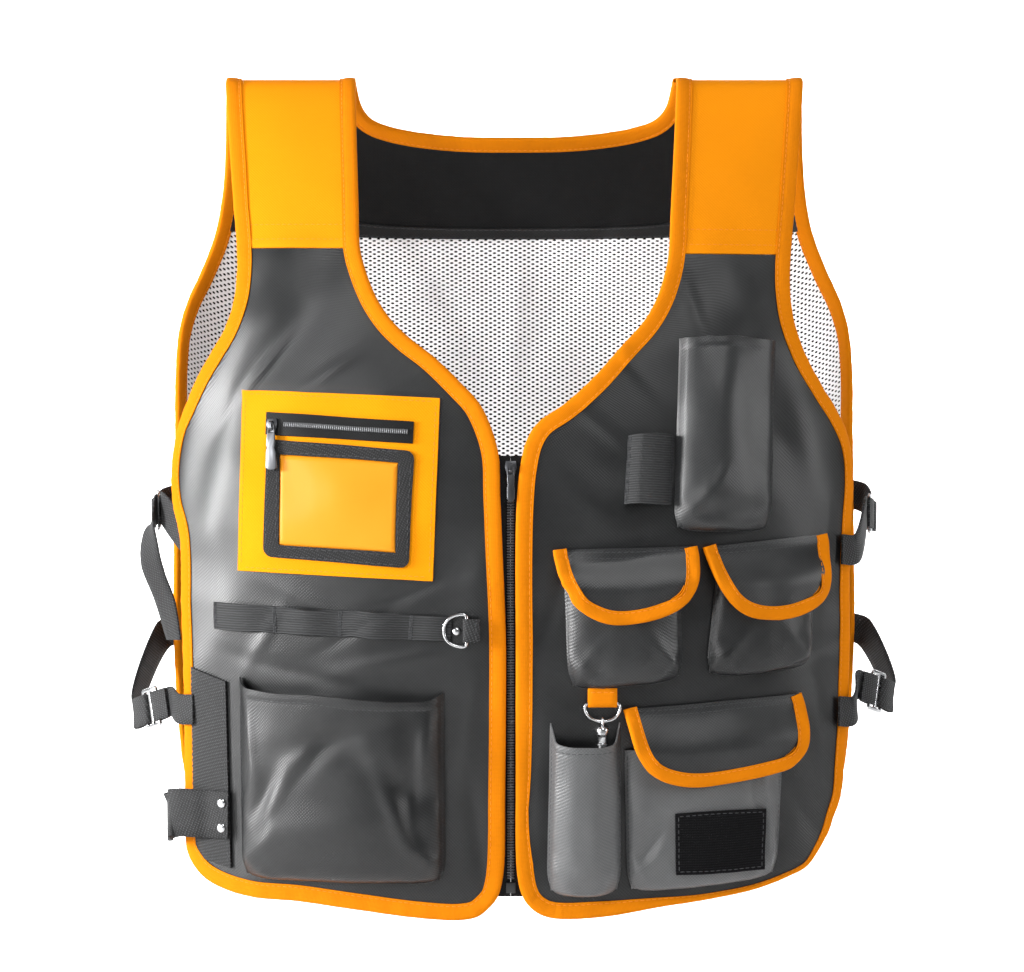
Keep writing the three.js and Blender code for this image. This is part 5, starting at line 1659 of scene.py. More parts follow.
RIGHT_FRONT = FrontHalf(
    "right",
    -1,
    [
        (0.071, 0.986, 0.893, 0.941), (0.046, 0.973, 0.907, 0.928), (0.033, 0.956, 0.912, 0.91),
        (0.026, 0.931, 0.913, 0.866), (0.024, 0.858, 0.914, 0.8), (0.022, 0.76, 0.915, 0.72),
        (0.022, 0.67, 0.922, 0.642), (0.031, 0.57, 0.928, 0.553), (0.037, 0.505, 0.947, 0.521),
        (0.041, 0.46, 0.955, 0.489), (0.059, 0.43, 0.951, 0.456), (0.093, 0.399, 0.936, 0.422),
        (0.143, 0.375, 0.912, 0.396), (0.215, 0.345, 0.877, 0.363), (0.286, 0.321, 0.836, 0.333),
        (0.338, 0.299, 0.802, 0.308), (0.378, 0.273, 0.779, 0.277), (0.411, 0.238, 0.771, 0.239),
        (0.426, 0.213, 0.773, 0.212),
    ],
    [
        (0.071, 0.986), (0.1, 0.995), (0.15, 0.999), (0.274, 0.996), (0.43, 0.988), (0.59, 0.98),
        (0.72, 0.977), (0.81, 0.968), (0.86, 0.957), (0.893, 0.941),
    ],
    (0.451, 0.823),
    DARK,
)
LEFT_FRONT = FrontHalf(
    "left",
    1,
    [
        (0.035, 0.98, 0.839, 0.926), (0.018, 0.966, 0.866, 0.908), (0.008, 0.945, 0.887, 0.885),
        (0.004, 0.915, 0.906, 0.863), (0.004, 0.85, 0.917, 0.82), (0.004, 0.76, 0.926, 0.765),
        (0.004, 0.67, 0.932, 0.678), (0.003, 0.58, 0.932, 0.582), (0.006, 0.52, 0.938, 0.53),
        (0.015, 0.475, 0.943, 0.497), (0.034, 0.441, 0.941, 0.463), (0.066, 0.42, 0.928, 0.433),
        (0.136, 0.399, 0.901, 0.408), (0.216, 0.368, 0.851, 0.374), (0.293, 0.331, 0.802, 0.334),
        (0.354, 0.302, 0.776, 0.299), (0.39, 0.276, 0.767, 0.265), (0.416, 0.243, 0.768, 0.238),
        (0.427, 0.22, 0.771, 0.22),
    ],
    [
        (0.035, 0.98), (0.065, 0.991), (0.108, 0.997), (0.25, 0.995), (0.407, 0.984), (0.53, 0.977),
        (0.65, 0.968), (0.74, 0.956), (0.807, 0.943), (0.839, 0.926),
    ],
    (0.462, 0.825),
    # The shaded copy of the dark cloth: painted shade on this side.
    SHADED_DARK,
    turned=True,
)


@dataclass
class BackHalf:
    """The back: yoke, net, outer panel and their tapes."""

    edge: Sequence[tuple] = (
        (0.823, 0), (0.824, 0.002), (0.826, 0.012), (0.829, 0.035), (0.834, 0.08), (0.845, 0.13),
        (0.866, 0.176), (0.908, 0.226), (0.946, 0.265), (0.967, 0.3), (0.978, 0.35), (0.981, 0.43),
        (0.984, 0.56), (0.983, 0.7), (0.957, 0.848), (0.93, 0.894), (0.895, 0.925), (0.866, 0.939),
        (0.8, 0.953), (0.62, 0.959), (0.32, 0.96), (0, 0.96),
    )
    neck: Sequence[tuple] = (
        (0.452, 0), (0.451, 0.003), (0.447, 0.014), (0.437, 0.028), (0.411, 0.041), (0.345, 0.051),
        (0.19, 0.06), (0, 0.062),
    )
    seam_row: int = 6
    corner_row: int = 16
    seam_middle: float = 0.182

    def mirrored(self, rows: Sequence[tuple]) -> tuple[np.ndarray, list[int]]:
        """A path from the wearer's right round to the left, and the marks of its rows."""
        half = [spot_at(-across, down) for across, down in rows]
        other = [spot_at(across, down) for across, down in rows[:-1]][::-1]
        path, marks = smooth_path(np.array(half + other), 2.9)
        path[:, 1] = np.minimum(path[:, 1], 0)
        return path, marks

    def seam(self, start: np.ndarray, end: np.ndarray, count: int, lower: float) -> np.ndarray:
        """The level line under the yoke, sagging to the middle."""
        share = np.linspace(0, 1, count)
        line = start + (end - start) * share[:, None]
        line[:, 1] -= (self.seam_middle * LONG + start[1]) * 4 * share * (1 - share) + lower
        return line

    def build(self) -> list[bpy.types.Object]:
        """The back's pieces."""
        path, marks = self.mirrored(self.edge)
        neck, _ = self.mirrored(self.neck)
        _, into = edge_frames(BACK, path, -1)
        _, neck_into = edge_frames(BACK, neck, 1)
        tight = inset(path, into, EDGE_INSET)
        tight_neck = inset(neck, neck_into, EDGE_INSET)
        last = len(marks) - 1
        seam_a, seam_b = marks[self.seam_row], marks[last - self.seam_row]
        low_a, low_b = marks[self.corner_row], marks[last - self.corner_row]

        rows, columns = BACK_YOKE_GRID
        right = resample(tight[: seam_a + 1][::-1], rows)
        left = resample(tight[seam_b:], rows)
        top = resample(np.concatenate([right[-1:], tight_neck, left[-1:]]), columns)
        low = self.seam(right[0], left[0], columns, -SEAM_GAP)
        right[0], left[0] = low[0], low[-1]
        spots = fill_grid(right, left, low, top)
        spots[..., 1] = np.minimum(spots[..., 1], 0)
        over = BACK.over(spots, CLOTH / 2)
        under = BACK.over(spots, -CLOTH / 2)
        cloth = slab("back_yoke_cloth", over, under)
        cloth.data.materials.append(BLACK.made())
        strip = spots[:8, 3:-3]
        inner = BACK.over(strip, -CLOTH / 2 - 1.1)
        band = slab("back_yoke_band", inner, BACK.over(strip, -CLOTH / 2), 0.1)
        band.data.materials.append(SHADED_DARK.made())
        rows = [1, 6]
        lines = [inner[k, 4:-4] for k in rows] + [over[k, 6:-6] for k in rows]
        outs = [BACK.normals(strip[k, 4:-4, 0], strip[k, 4:-4, 1]) for k in rows]
        overs = [BACK.normals(spots[k, 6:-6, 0], spots[k, 6:-6, 1]) for k in rows]
        yoke = stitched("back_yoke", [cloth, band], lines, [-outs[0], -outs[1], *overs], BLACK_THREAD)
        settle(yoke, None, ["back_yoke"])
        declare(over, [])

        rows, columns = BACK_GRID
        side_a = resample(tight[seam_a : low_a + 1][::-1], rows)
        side_b = resample(tight[low_b : seam_b + 1], rows)
        hem = resample(tight[low_a : low_b + 1], columns)
        head = self.seam(side_a[-1], side_b[-1], columns, SEAM_GAP)
        side_a[-1], side_b[-1] = head[0], head[-1]
        grid = fill_grid(side_a, side_b, hem, head)
        x, z = grid[..., 0], grid[..., 1]
        net_top = BACK.raised(x, z, -GAP / 2 - NET)
        net = slab("back_net_look", net_top, BACK.raised(x, z, -GAP / 2))
        settle(net, NETTING, ["back_net"])
        declare(net_top, ["back_yoke_look"])
        outer = BACK.raised(x, z, CLOTH / 2)
        panel = slab("back_panel_look", outer, BACK.raised(x, z, GAP / 2))
        settle(panel, BLACK, ["back_panel"])
        declare(outer, ["back_yoke_look"])
        tapes = [
            EdgeTape("back_edge_tape", BACK, path, -1).build(),
            EdgeTape("back_neck_tape", BACK, neck, 1).build(),
        ]
        return [yoke, net, panel, *tapes]


# Pieces on the fronts


def corner_grid(corners: Sequence[tuple], u: np.ndarray, v: np.ndarray) -> np.ndarray:
    """Spots inside four corners, at shares across and up."""
    low_right, low_left, top_left, top_right = spots_at(corners)
    u = u[None, :, None]
    v = v[:, None, None]
    start = low_right * (1 - v) + top_right * v
    end = low_left * (1 - v) + top_left * v
    return start * (1 - u) + end * u


def shares(corners: Sequence[tuple], pitch: float) -> tuple[np.ndarray, np.ndarray]:
    """Even shares across and up inside four corners at about a pitch in millimetres."""
    a, b, c, d = spots_at(corners)
    across = max(np.linalg.norm(b - a), np.linalg.norm(c - d))
    up = max(np.linalg.norm(d - a), np.linalg.norm(c - b))
    return np.linspace(0, 1, int(across / pitch) + 2), np.linspace(0, 1, int(up / pitch) + 2)


def flat_layer(
    name: str, corners: Sequence[tuple], low: float, thick: float, pitch: float = 3.0, pillow: float = 0.0
) -> tuple[bpy.types.Object, np.ndarray]:
    """A flat piece at a height over the cloth.

    Args:
        name: Its name.
        corners: Its corners from the low one nearest the wearer's right, anticlockwise.
        low: The height of its underside over the cloth's middle.
        thick: Its thickness.
        pitch: The spacing of its points.
        pillow: How much it rises in the middle.

    Returns:
        The object, and the grid of its outer face.
    """
    u, v = shares(corners, pitch)
    grid = corner_grid(corners, u, v)
    rise = pillow * (np.sin(math.pi * u)[None] * np.sin(math.pi * v)[:, None]) ** 0.5
    top = FRONT.over(grid, low + thick + rise)
    under = FRONT.over(grid, low + 0 * rise)
    return slab(name, top, under, 0.25), top


POUCH_UP = Profile([0, 0.05, 0.12, 0.42, 0.72, 1], [0, 0.8, 1, 1.04, 1.02, 1])
MOUTH = Profile([0, 0.09, 0.36, 0.64, 0.91, 1], [0, 0.85, 1, 1, 0.85, 0])
SEWN_MIDDLE = SEWN + THIN / 2


POUCH_PITCH = 1.8


@dataclass
class Pouch:
    """A pocket: a sheet that is sewn at its sides and foot and stands off the front.

    Attributes:
        name: The node's name.
        corners: Its corners.
        deep: How far it stands off.
        finish: Its cloth.
        slot: The name of a material slot; not used.
        dip: How far its mouth sags.
        hem: The depth of the hem at its mouth, or 0 for none.
        creases: Rows of across share, up share, half length, half width, turn and height.
        flange: The width of the sewn seam at its sides.
        round: How far its section is an arch and not a box.
        boxed: How square that arch is.
        unrest: How uneven its cloth is.
        belly: How far its full foot hangs over the seam.
    """

    name: str
    corners: Sequence[tuple]
    deep: float
    finish: Surface
    slot: str = "dark_cloth"
    dip: float = 0.0
    hem: float = 8.0
    creases: Sequence[tuple] = ()
    flange: float = 1.4
    round: float = 0.9
    boxed: float = 2.3
    unrest: float = 0.5
    belly: float = 4.5

    def grid(self) -> np.ndarray:
        """The grid of its middle."""
        a, b, c, d = spots_at(self.corners)
        wide = np.linalg.norm(b - a)
        high = np.linalg.norm(d - a)
        u = np.linspace(0, 1, int(wide / POUCH_PITCH) + 2)
        v = np.linspace(0, 1, int(high / POUCH_PITCH) + 2)
        f = self.flange / wide
        boxy = Profile([0, f, 0.03 + f, 0.09 + f * 0.6, 0.36, 0.64, 0.91 - f * 0.6, 0.97 - f, 1 - f, 1],
                       [0, 0.06, 0.6, 0.9, 1.03, 1.03, 0.9, 0.6, 0.06, 0])
        inside = np.clip((np.abs(2 * u - 1)) / (1 - 2 * f), 0, 1)
        arch = (1 - inside ** self.boxed) ** (1 / 1.9) * 1.08
        across = boxy(u) * (1 - self.round) + arch * self.round
        foot = np.clip(v / 0.32, 0, 1)
        sole = (1 - (1 - foot) ** 2.6) ** (1 / 2.0)
        up = POUCH_UP(v) * (1 - self.round) + (sole * (1.1 - 0.1 * v)) * self.round
        spots = corner_grid(self.corners, u, v)
        if not self.hem:
            up = up * (1 - 0.5 * np.clip((v - 0.72) / 0.28, 0, 1))
        rise = across[None] * up[:, None]
        lift = SEWN_MIDDLE + self.deep * rise
        x_mm = u[None] * wide
        z_mm = v[:, None] * high
        for at_u, at_v, long, broad, turn, height in self.creases:
            crease = fold_shape(x_mm - at_u * wide, z_mm - at_v * high, long, broad, turn)
            lift = lift + CREASE_SCALE * height * crease * np.clip(rise * 1.5, 0, 1)
        corner = np.minimum(u, 1 - u)[None] * wide + v[:, None] * high
        tuck = np.exp(-((corner / 26) ** 2)) * np.sin(corner / 3.6 + 1.0) * 1.7
        drawn = 2.6 * np.exp(-((corner / 9) ** 2))
        uneven = self.unrest * ripples(x_mm, z_mm, 0.6 * wide + 14, len(self.name))
        lift = lift + (tuck + uneven) * np.clip(rise * 1.3, 0, 1)
        if self.hem:
            into = (1 - v[:, None]) * high
            lift = lift + 0.45 / (1 + np.exp((into - self.hem) * 2.2)) * np.clip(rise * 3, 0, 1)
            lift = lift - 0.4 * np.exp(-(((into - self.hem) / 1.1) ** 2)) * np.clip(rise * 3, 0, 1)
        hang = rise * np.exp(-((v[:, None] / 0.2) ** 2))
        z = spots[..., 1] - self.dip * MOUTH(u)[None] * v[:, None] ** 4 - self.belly * hang + drawn
        spread = rise * np.sign(u - 0.5)[None] * np.abs(2 * u - 1)[None] ** 6 * (1 - 0.6 * v[:, None])
        x = spots[..., 0] + 0.75 * self.belly * spread - drawn * np.sign(u - 0.5)[None]
        return FRONT.raised(x, z, lift)

    def build(self) -> bpy.types.Object:
        """The pocket with its stitches."""
        grid = self.grid()
        body, top = sheet_between(f"{self.name}_cloth", grid, THIN, 0.35)
        body.data.materials.append(self.finish.made())
        out = outward(top)
        lines, outs = [], []
        rows, columns = top.shape[:2]
        for i in (1, columns - 2):
            lines.append(top[2:-2, i])
            outs.append(out[2:-2, i])
        lines.append(top[1, 2:-2])
        outs.append(out[1, 2:-2])
        if self.hem:
            j = rows - 1 - int(round((self.hem - 0.4) / POUCH_PITCH))
            for row in ((j, j - 2) if self.hem > 9 else (j,)):
                lines.append(top[row, 4:-4])
                outs.append(out[row, 4:-4])
        look = stitched(self.name, [body], lines, outs, DARK_THREAD)
        settle(look, None, [self.name])
        declare(grid, [front_under(self.corners[0][0])])
        return look


FLAP_POUCH_DEEP = 9.0
POUCHES = [
    Pouch(
        "cargo_pocket", [(-0.741, 0.952), (-0.188, 0.955), (-0.19, 0.733), (-0.748, 0.718)], 17, DARK, dip=7,
        hem=7.5,
        creases=[
            (0.2, 0.42, 46, 6, 58, 1.8), (0.12, 0.3, 40, 7, 74, -2.2), (0.3, 0.55, 34, 7, 50, -1.2),
            (0.85, 0.5, 50, 7, 92, -2), (0.78, 0.35, 40, 6, 110, 1.4), (0.5, 0.3, 60, 14, 10, 1.4),
            (0.62, 0.62, 46, 12, 150, -1.4), (0.08, 0.7, 34, 5, 96, 1.6), (0.92, 0.75, 30, 5, 84, 1.5),
            (0.45, 0.75, 36, 9, 20, -1), (0.06, 0.12, 20, 6, 45, 2.2), (0.94, 0.12, 20, 6, 135, 2.2),
        ],
    ),
    Pouch(
        "tool_pocket", [(0.432, 0.546), (0.696, 0.547), (0.716, 0.325), (0.453, 0.323)], 12, LIT_FLAP_CLOTH,
        dip=1, hem=7,
        creases=[
            (0.42, 0.5, 90, 12, 90, 1.8), (0.78, 0.45, 60, 10, 94, -1.6), (0.5, 0.12, 26, 6, 5, -1.3),
            (0.2, 0.15, 22, 5, 50, 1.4),
        ],
    ),
    Pouch(
        "inner_flap_pocket", [(0.148, 0.729), (0.456, 0.718), (0.448, 0.6), (0.138, 0.602)], FLAP_POUCH_DEEP,
        LIT_FLAP_CLOTH, hem=0,
        creases=[(0.66, 0.2, 22, 18, 92, 2.0), (0.12, 0.2, 22, 5, 50, 1.5), (0.9, 0.2, 22, 5, 130, 1.4),
                 (0.4, 0.4, 34, 8, 80, 0.8)],
    ),
    Pouch(
        "outer_flap_pocket", [(0.519, 0.715), (0.81, 0.706), (0.818, 0.598), (0.548, 0.602)], FLAP_POUCH_DEEP,
        SHADED_DARK, hem=0,
        creases=[(0.12, 0.2, 22, 5, 50, 1.4), (0.88, 0.2, 22, 5, 130, 1.5), (0.5, 0.35, 30, 8, 92, 1.1)],
    ),
    Pouch(
        "slim_pocket", [(0.09, 0.967), (0.289, 0.966), (0.286, 0.768), (0.098, 0.768)], 14, GREY,
        "grey_cloth", dip=15, hem=8.5, belly=6.5,
        creases=[
            (0.64, 0.5, 90, 15, 90, 1.6), (0.3, 0.5, 60, 7, 90, 0.8), (0.8, 0.4, 44, 6, 92, -0.8),
            (0.5, 0.1, 20, 5, 0, -1),
        ],
    ),
    Pouch(
        "big_flap_pocket", [(0.308, 0.966), (0.716, 0.95), (0.733, 0.788), (0.3, 0.8)], FLAP_POUCH_DEEP, GREY,
        "grey_cloth", hem=0,
        creases=[
            (0.08, 0.16, 24, 6, 40, 1.8), (0.14, 0.3, 22, 5, 65, -1.5), (0.9, 0.45, 46, 5, 100, 1.6),
            (0.84, 0.4, 44, 5, 98, -1.4), (0.95, 0.2, 26, 5, 120, 1.5), (0.3, 0.62, 34, 9, 20, 1),
        ],
    ),
]


@dataclass
class RibbedLoop:
    """Elastic sewn flat at its tacks and standing off the cloth between them.

    Attributes:
        name: The node's name.
        corners: Its corners.
        deep: How far it stands off.
        across: Its height across, as a profile.
        tacks: Shares across where it is tacked down.
    """

    name: str
    corners: Sequence[tuple]
    deep: float
    across: Profile
    tacks: Sequence[float]

    def build(self) -> bpy.types.Object:
        """The elastic and its tacks."""
        u, v = shares(self.corners, 0.8)
        spots = corner_grid(self.corners, u, v)
        lift = SEWN_MIDDLE + self.deep * self.across(u)[None] + 0 * v[:, None]
        ribs = 0.16 * np.cos(2 * math.pi * 8 * v)[:, None]
        grid = FRONT.over(spots, lift)
        out = outward(grid)
        ribbed = grid + out * (THIN / 2 + ribs[..., None])
        body = slab(f"{self.name}_body", ribbed, grid - out * THIN / 2, 0.3)
        body.data.materials.append(RUBBER.made())
        top = grid + out * (THIN / 2 + 0.15)
        lines, outs = [], []
        for at in self.tacks:
            i = int(np.clip(round(at * (len(u) - 1)), 1, len(u) - 2))
            for shift in (-1, 0, 1):
                k = int(np.clip(i + shift, 0, len(u) - 1))
                lines.append(top[:, k])
                outs.append(out[:, k])
        look = stitched(self.name, [body], lines, outs, BLACK_THREAD, TACK)
        settle(look, None, [self.name])
        declare(grid, [front_under(self.corners[0][0])])
        return look


LOOPS = [
    RibbedLoop(
        "loop_strip", [(-0.82, 0.662), (-0.172, 0.674), (-0.166, 0.646), (-0.822, 0.631)], 3.5,
        Profile([0, 0.13, 0.263, 0.4, 0.537, 0.683, 0.829, 0.92, 1], [0, 0.8, 0, 1, 0, 1, 0, 0.4, 0]),
        (0.01, 0.263, 0.537, 0.829, 0.99),
    ),
    RibbedLoop(
        "elastic_loop", [(0.299, 0.516), (0.422, 0.516), (0.432, 0.436), (0.313, 0.436)], 8,
        Profile([0, 0.12, 0.3, 0.5, 0.72, 0.9, 1], [0, 0.55, 0.95, 1, 0.85, 0.4, 0]),
        (0.03, 0.97),
    ),
]

FLAP_CHANNEL = THIN / 2 + 1.1
FLAP_TAPE_TOP = FLAP_CHANNEL + 0.8
FLAP_LOW = CLOTH / 2 + GAP + FLAP_TAPE_TOP
FLAP_HIGH = SEWN + THIN + FLAP_POUCH_DEEP * 1.07 + FLAP_TAPE_TOP + 1.0
FLAP_TAPE_SHARE = 0.84
FLAP_SECTION = [
    (11.2, 1.4), (10.4, 1.45), (9.5, 1.2), (8.2, 1.6), (5.8, 2.0), (3.2, 2.15), (1.4, 2.0), (0.5, 1.4),
    (0.08, 0.6), (0.08, -0.6), (0.5, -1.4), (1.4, -2.0), (3.2, -2.15), (8.2, -1.6), (11.2, -1.4),
    (11.2, -0.75), (1.6, -0.8), (1.6, 0.8), (11.2, 0.75), (11.3, 1.1),
]


@dataclass
class Flap:
    """A flap with tape folded over its free edges.

    Attributes:
        name: The node's name.
        rows: From the low edge up: inner, its down, outer and its down.
        low: Spots of the low edge.
        finish: Its cloth.
    """

    name: str
    rows: Sequence[tuple]
    low: Sequence[tuple]
    finish: Surface
    slot: str = "dark_cloth"

    def grid(self) -> np.ndarray:
        """The grid of the flap's middle, drawn in by what the tape takes up."""
        inner = spots_at([(row[0], row[1]) for row in self.rows])
        outer = spots_at([(row[2], row[3]) for row in self.rows])
        foot = np.concatenate([inner[:1], spots_at(self.low), outer[:1]])
        way = np.concatenate([inner[::-1], foot[1:-1], outer])
        path, marks = smooth_path(way, 1.6)
        path = smoothed(path, 6, 3)
        a, b = marks[len(inner) - 1], marks[len(inner) + len(self.low)]
        rows, columns = FLAP_GRID
        left = resample(path[: a + 1][::-1], rows)
        right = resample(path[b:], rows)
        low = resample(path[a : b + 1], columns)
        top = np.linspace(left[-1], right[-1], columns)
        edge = fill_grid(left, right, low, top)
        middle = (top[0, 0] + top[-1, 0]) / 2
        head = top[0, 1]
        edge[..., 0] = middle + (edge[..., 0] - middle) * (1 - EDGE_INSET / (middle - top[0, 0]))
        edge[..., 1] = head + (edge[..., 1] - head) * (1 - EDGE_INSET / (head - foot[3, 1]))
        v = np.linspace(0, 1, rows)[:, None]
        u = np.linspace(0, 1, columns)[None]
        rise = np.clip((v - 0.4) / 0.6, 0, 1)
        lift = FLAP_LOW + (FLAP_HIGH - FLAP_LOW) * (1 - rise * rise * (3 - 2 * rise))
        wave = 0.7 * np.sin(u * 9 + 0.6) * (1 - v) + 0.4 * np.sin(u * 21 + 1.1) * (1 - v) ** 2
        lean = (lift + wave) * FRONT.facing_at(edge)[..., 0]
        return FRONT.raised(edge[..., 0] - lean + 0.5 * lean.mean(), edge[..., 1], lift + wave)

    def build(self) -> list[bpy.types.Object]:
        """The flap's cloth and its tape."""
        grid = self.grid()
        body, top = sheet_between(f"{self.name}_cloth", grid, THIN, 0.2)
        body.data.materials.append(self.finish.made())
        out = outward(top)
        lines = [top[-3, 3:-3], top[-6, 3:-3]]
        outs = [out[-3, 3:-3], out[-6, 3:-3]]
        cloth = stitched(self.name, [body], lines, outs, DARK_THREAD)
        settle(cloth, None, [self.name])
        declare(grid, ["left_front_look"])
        return [cloth, self.tape(grid)]

    def tape(self, grid: np.ndarray) -> bpy.types.Object:
        """The tape round the free edges."""
        middle_out = outward(grid)
        way = np.concatenate([grid[::-1, 0], grid[0, 1:-1], grid[:, -1]])
        out = np.concatenate([middle_out[::-1, 0], middle_out[0, 1:-1], middle_out[:, -1]])
        run = unit(np.gradient(way, axis=0))
        into = unit(np.cross(out, run))
        centre = grid.reshape(-1, 3).mean(0)
        if ((centre - way) * into).sum() < 0:
            into = -into
        for k in range(3):
            into[:, k] = evened(into[:, k], 9)
            out[:, k] = evened(out[:, k], 9)
        into, out = unit(into), unit(out)
        length = arc_lengths(way)
        pucker = 0.1 * np.sin(length * 0.8) + 0.08 * np.sin(length * 1.7 + 0.4)
        columns = []
        for k, (depth, lift) in enumerate(FLAP_SECTION):
            swell = pucker * np.sign(lift) if 3 <= k <= 12 else 0 * pucker
            column = way + into * (depth * FLAP_TAPE_SHARE - EDGE_INSET) + out * (lift + swell)[:, None]
            columns.append(smoothed(column, 8 if depth > 5 else 2, 2))
        rings = np.stack(columns, 1)
        body = loft(f"{self.name}_tape_body", rings, section_uv(FLAP_SECTION, length), sharp=70)
        body.data.materials.append(BINDING.made())
        line = smoothed(way + into * (9.5 * FLAP_TAPE_SHARE - EDGE_INSET) + out * 1.42, 6, 2)
        tape = stitched(f"{self.name}_tape", [body], [line], [out], ORANGE_THREAD)
        settle(tape, None, [f"{self.name}_tape"])
        declare_band(2 * TAPE_WIDE, [f"{self.name}_look"])
        return tape


FLAPS = [
    Flap(
        "inner_flap",
        [
            (0.164, 0.637, 0.471, 0.631), (0.135, 0.619, 0.5, 0.611), (0.115, 0.595, 0.507, 0.591),
            (0.106, 0.58, 0.501, 0.576), (0.102, 0.569, 0.495, 0.564),
        ],
        [(0.205, 0.65), (0.252, 0.655), (0.304, 0.655), (0.361, 0.65), (0.424, 0.643)],
        LIT_FLAP_CLOTH,
    ),
    Flap(
        "outer_flap",
        [
            (0.572, 0.631, 0.847, 0.633), (0.545, 0.613, 0.867, 0.615), (0.524, 0.591, 0.868, 0.59),
            (0.511, 0.577, 0.862, 0.566), (0.502, 0.565, 0.854, 0.55),
        ],
        [(0.614, 0.645), (0.662, 0.65), (0.744, 0.651), (0.805, 0.645)],
        LIT_FLAP_CLOTH,
    ),
    Flap(
        "big_flap",
        [
            (0.357, 0.827, 0.778, 0.819), (0.331, 0.809, 0.806, 0.805), (0.31, 0.784, 0.811, 0.787),
            (0.298, 0.767, 0.802, 0.761), (0.289, 0.753, 0.783, 0.737),
        ],
        [(0.399, 0.838), (0.451, 0.843), (0.515, 0.842), (0.594, 0.837), (0.674, 0.831), (0.734, 0.827)],
        LIT_FLAP_CLOTH,
    ),
]


FRAME_CORNER = 6.5


@dataclass
class IdPocket:
    """The patch with its zip, its webbing frame and its clear window."""

    patch: Sequence[tuple] = ((-0.753, 0.593), (-0.22, 0.604), (-0.202, 0.393), (-0.745, 0.382))
    zip_strip: Sequence[tuple] = ((-0.675, 0.4345), (-0.275, 0.446), (-0.272, 0.421), (-0.673, 0.409))
    teeth: Sequence[tuple] = ((-0.625, 0.4265), (-0.29, 0.436), (-0.288, 0.43), (-0.623, 0.42))
    window: Sequence[tuple] = ((-0.634, 0.5615), (-0.323, 0.5695), (-0.316, 0.4695), (-0.633, 0.4595))
    outer: Sequence[tuple] = ((-0.679, 0.576), (-0.285, 0.589), (-0.269, 0.455), (-0.672, 0.44))
    inner: Sequence[tuple] = ((-0.637, 0.563), (-0.32, 0.571), (-0.313, 0.468), (-0.636, 0.458))

    def build(self) -> list[bpy.types.Object]:
        """The pocket's pieces."""
        cloth, top = flat_layer("id_patch_cloth", self.patch, SEWN, THIN, 2.5, 0.5)
        cloth.data.materials.append(PATCH.made())
        patch = stitched("id_patch", [cloth], *rim_lines(top, 2), ORANGE_THREAD)
        settle(patch, None, ["id_patch"])
        declare(top, ["right_front_look"])

        tape, tape_top = flat_layer("id_zip_cloth", self.zip_strip, ON_PATCH, 0.9, 2.0)
        tape.data.materials.append(BLACK.made())
        coil = ZipCoil("id_zip_coil", 1.4, 3.3, 1.5, PALE_COIL).along(self.line(self.teeth), ON_PATCH + 1.5)
        strip = merged("id_zip_look", [tape, coil])
        settle(strip, None, ["id_zip_strip"])
        declare(tape_top, ["id_patch_look"])

        film, film_top = flat_layer("id_window_look", self.window, ON_PATCH, 0.6, 3.0, 0.35)
        settle(film, FILM, ["id_window"])
        declare(film_top, ["id_patch_look"])
        return [patch, strip, film, self.frame()]

    def line(self, corners: Sequence[tuple]) -> np.ndarray:
        """The middle line between a strip's ends."""
        low_right, low_left, top_left, top_right = spots_at(corners)
        return np.linspace((low_right + top_right) / 2, (low_left + top_left) / 2, 60)

    def frame(self) -> bpy.types.Object:
        """The mitred webbing frame, of four bands sewn with their ends over one another."""
        outer, inner = spots_at(self.outer), spots_at(self.inner)
        bands = []
        lines, outs = [], []
        for k in range(4):
            nxt = (k + 1) % 4
            count = 60
            rim = np.linspace(outer[k], outer[nxt], count)
            core = np.linspace(inner[k], inner[nxt], count)
            length = arc_lengths(rim)
            near = np.minimum(length, length[-1] - length)
            pull = np.clip(1 - near / FRAME_CORNER, 0, 1) ** 2 * FRAME_CORNER * 0.4
            middle = (outer[0] + outer[1] + outer[2] + outer[3]) / 4
            rim = rim + unit(middle - rim) * pull[:, None]
            v = np.linspace(0, 1, 7)[:, None, None]
            spots = core[None] * (1 - v) + rim[None] * v
            rise = 1.4 - 0.25 * (2 * v[..., 0] - 1) ** 4
            top = FRONT.over(spots, ON_PATCH + rise + 0 * spots[..., 0])
            low = FRONT.over(spots, ON_PATCH + 0 * spots[..., 0])
            band = slab(f"id_frame_band_{k}", top, low, 0.1)
            band.data.materials.append(FRAME_WEB.made())
            bands.append(band)
            out = outward(top)
            for row in (1, 5):
                lines.append(top[row, 5:-5])
                outs.append(out[row, 5:-5])
        frame_look = stitched("id_frame", bands, lines, outs, BLACK_THREAD)
        settle(frame_look, None, ["id_window_frame"])
        return frame_look


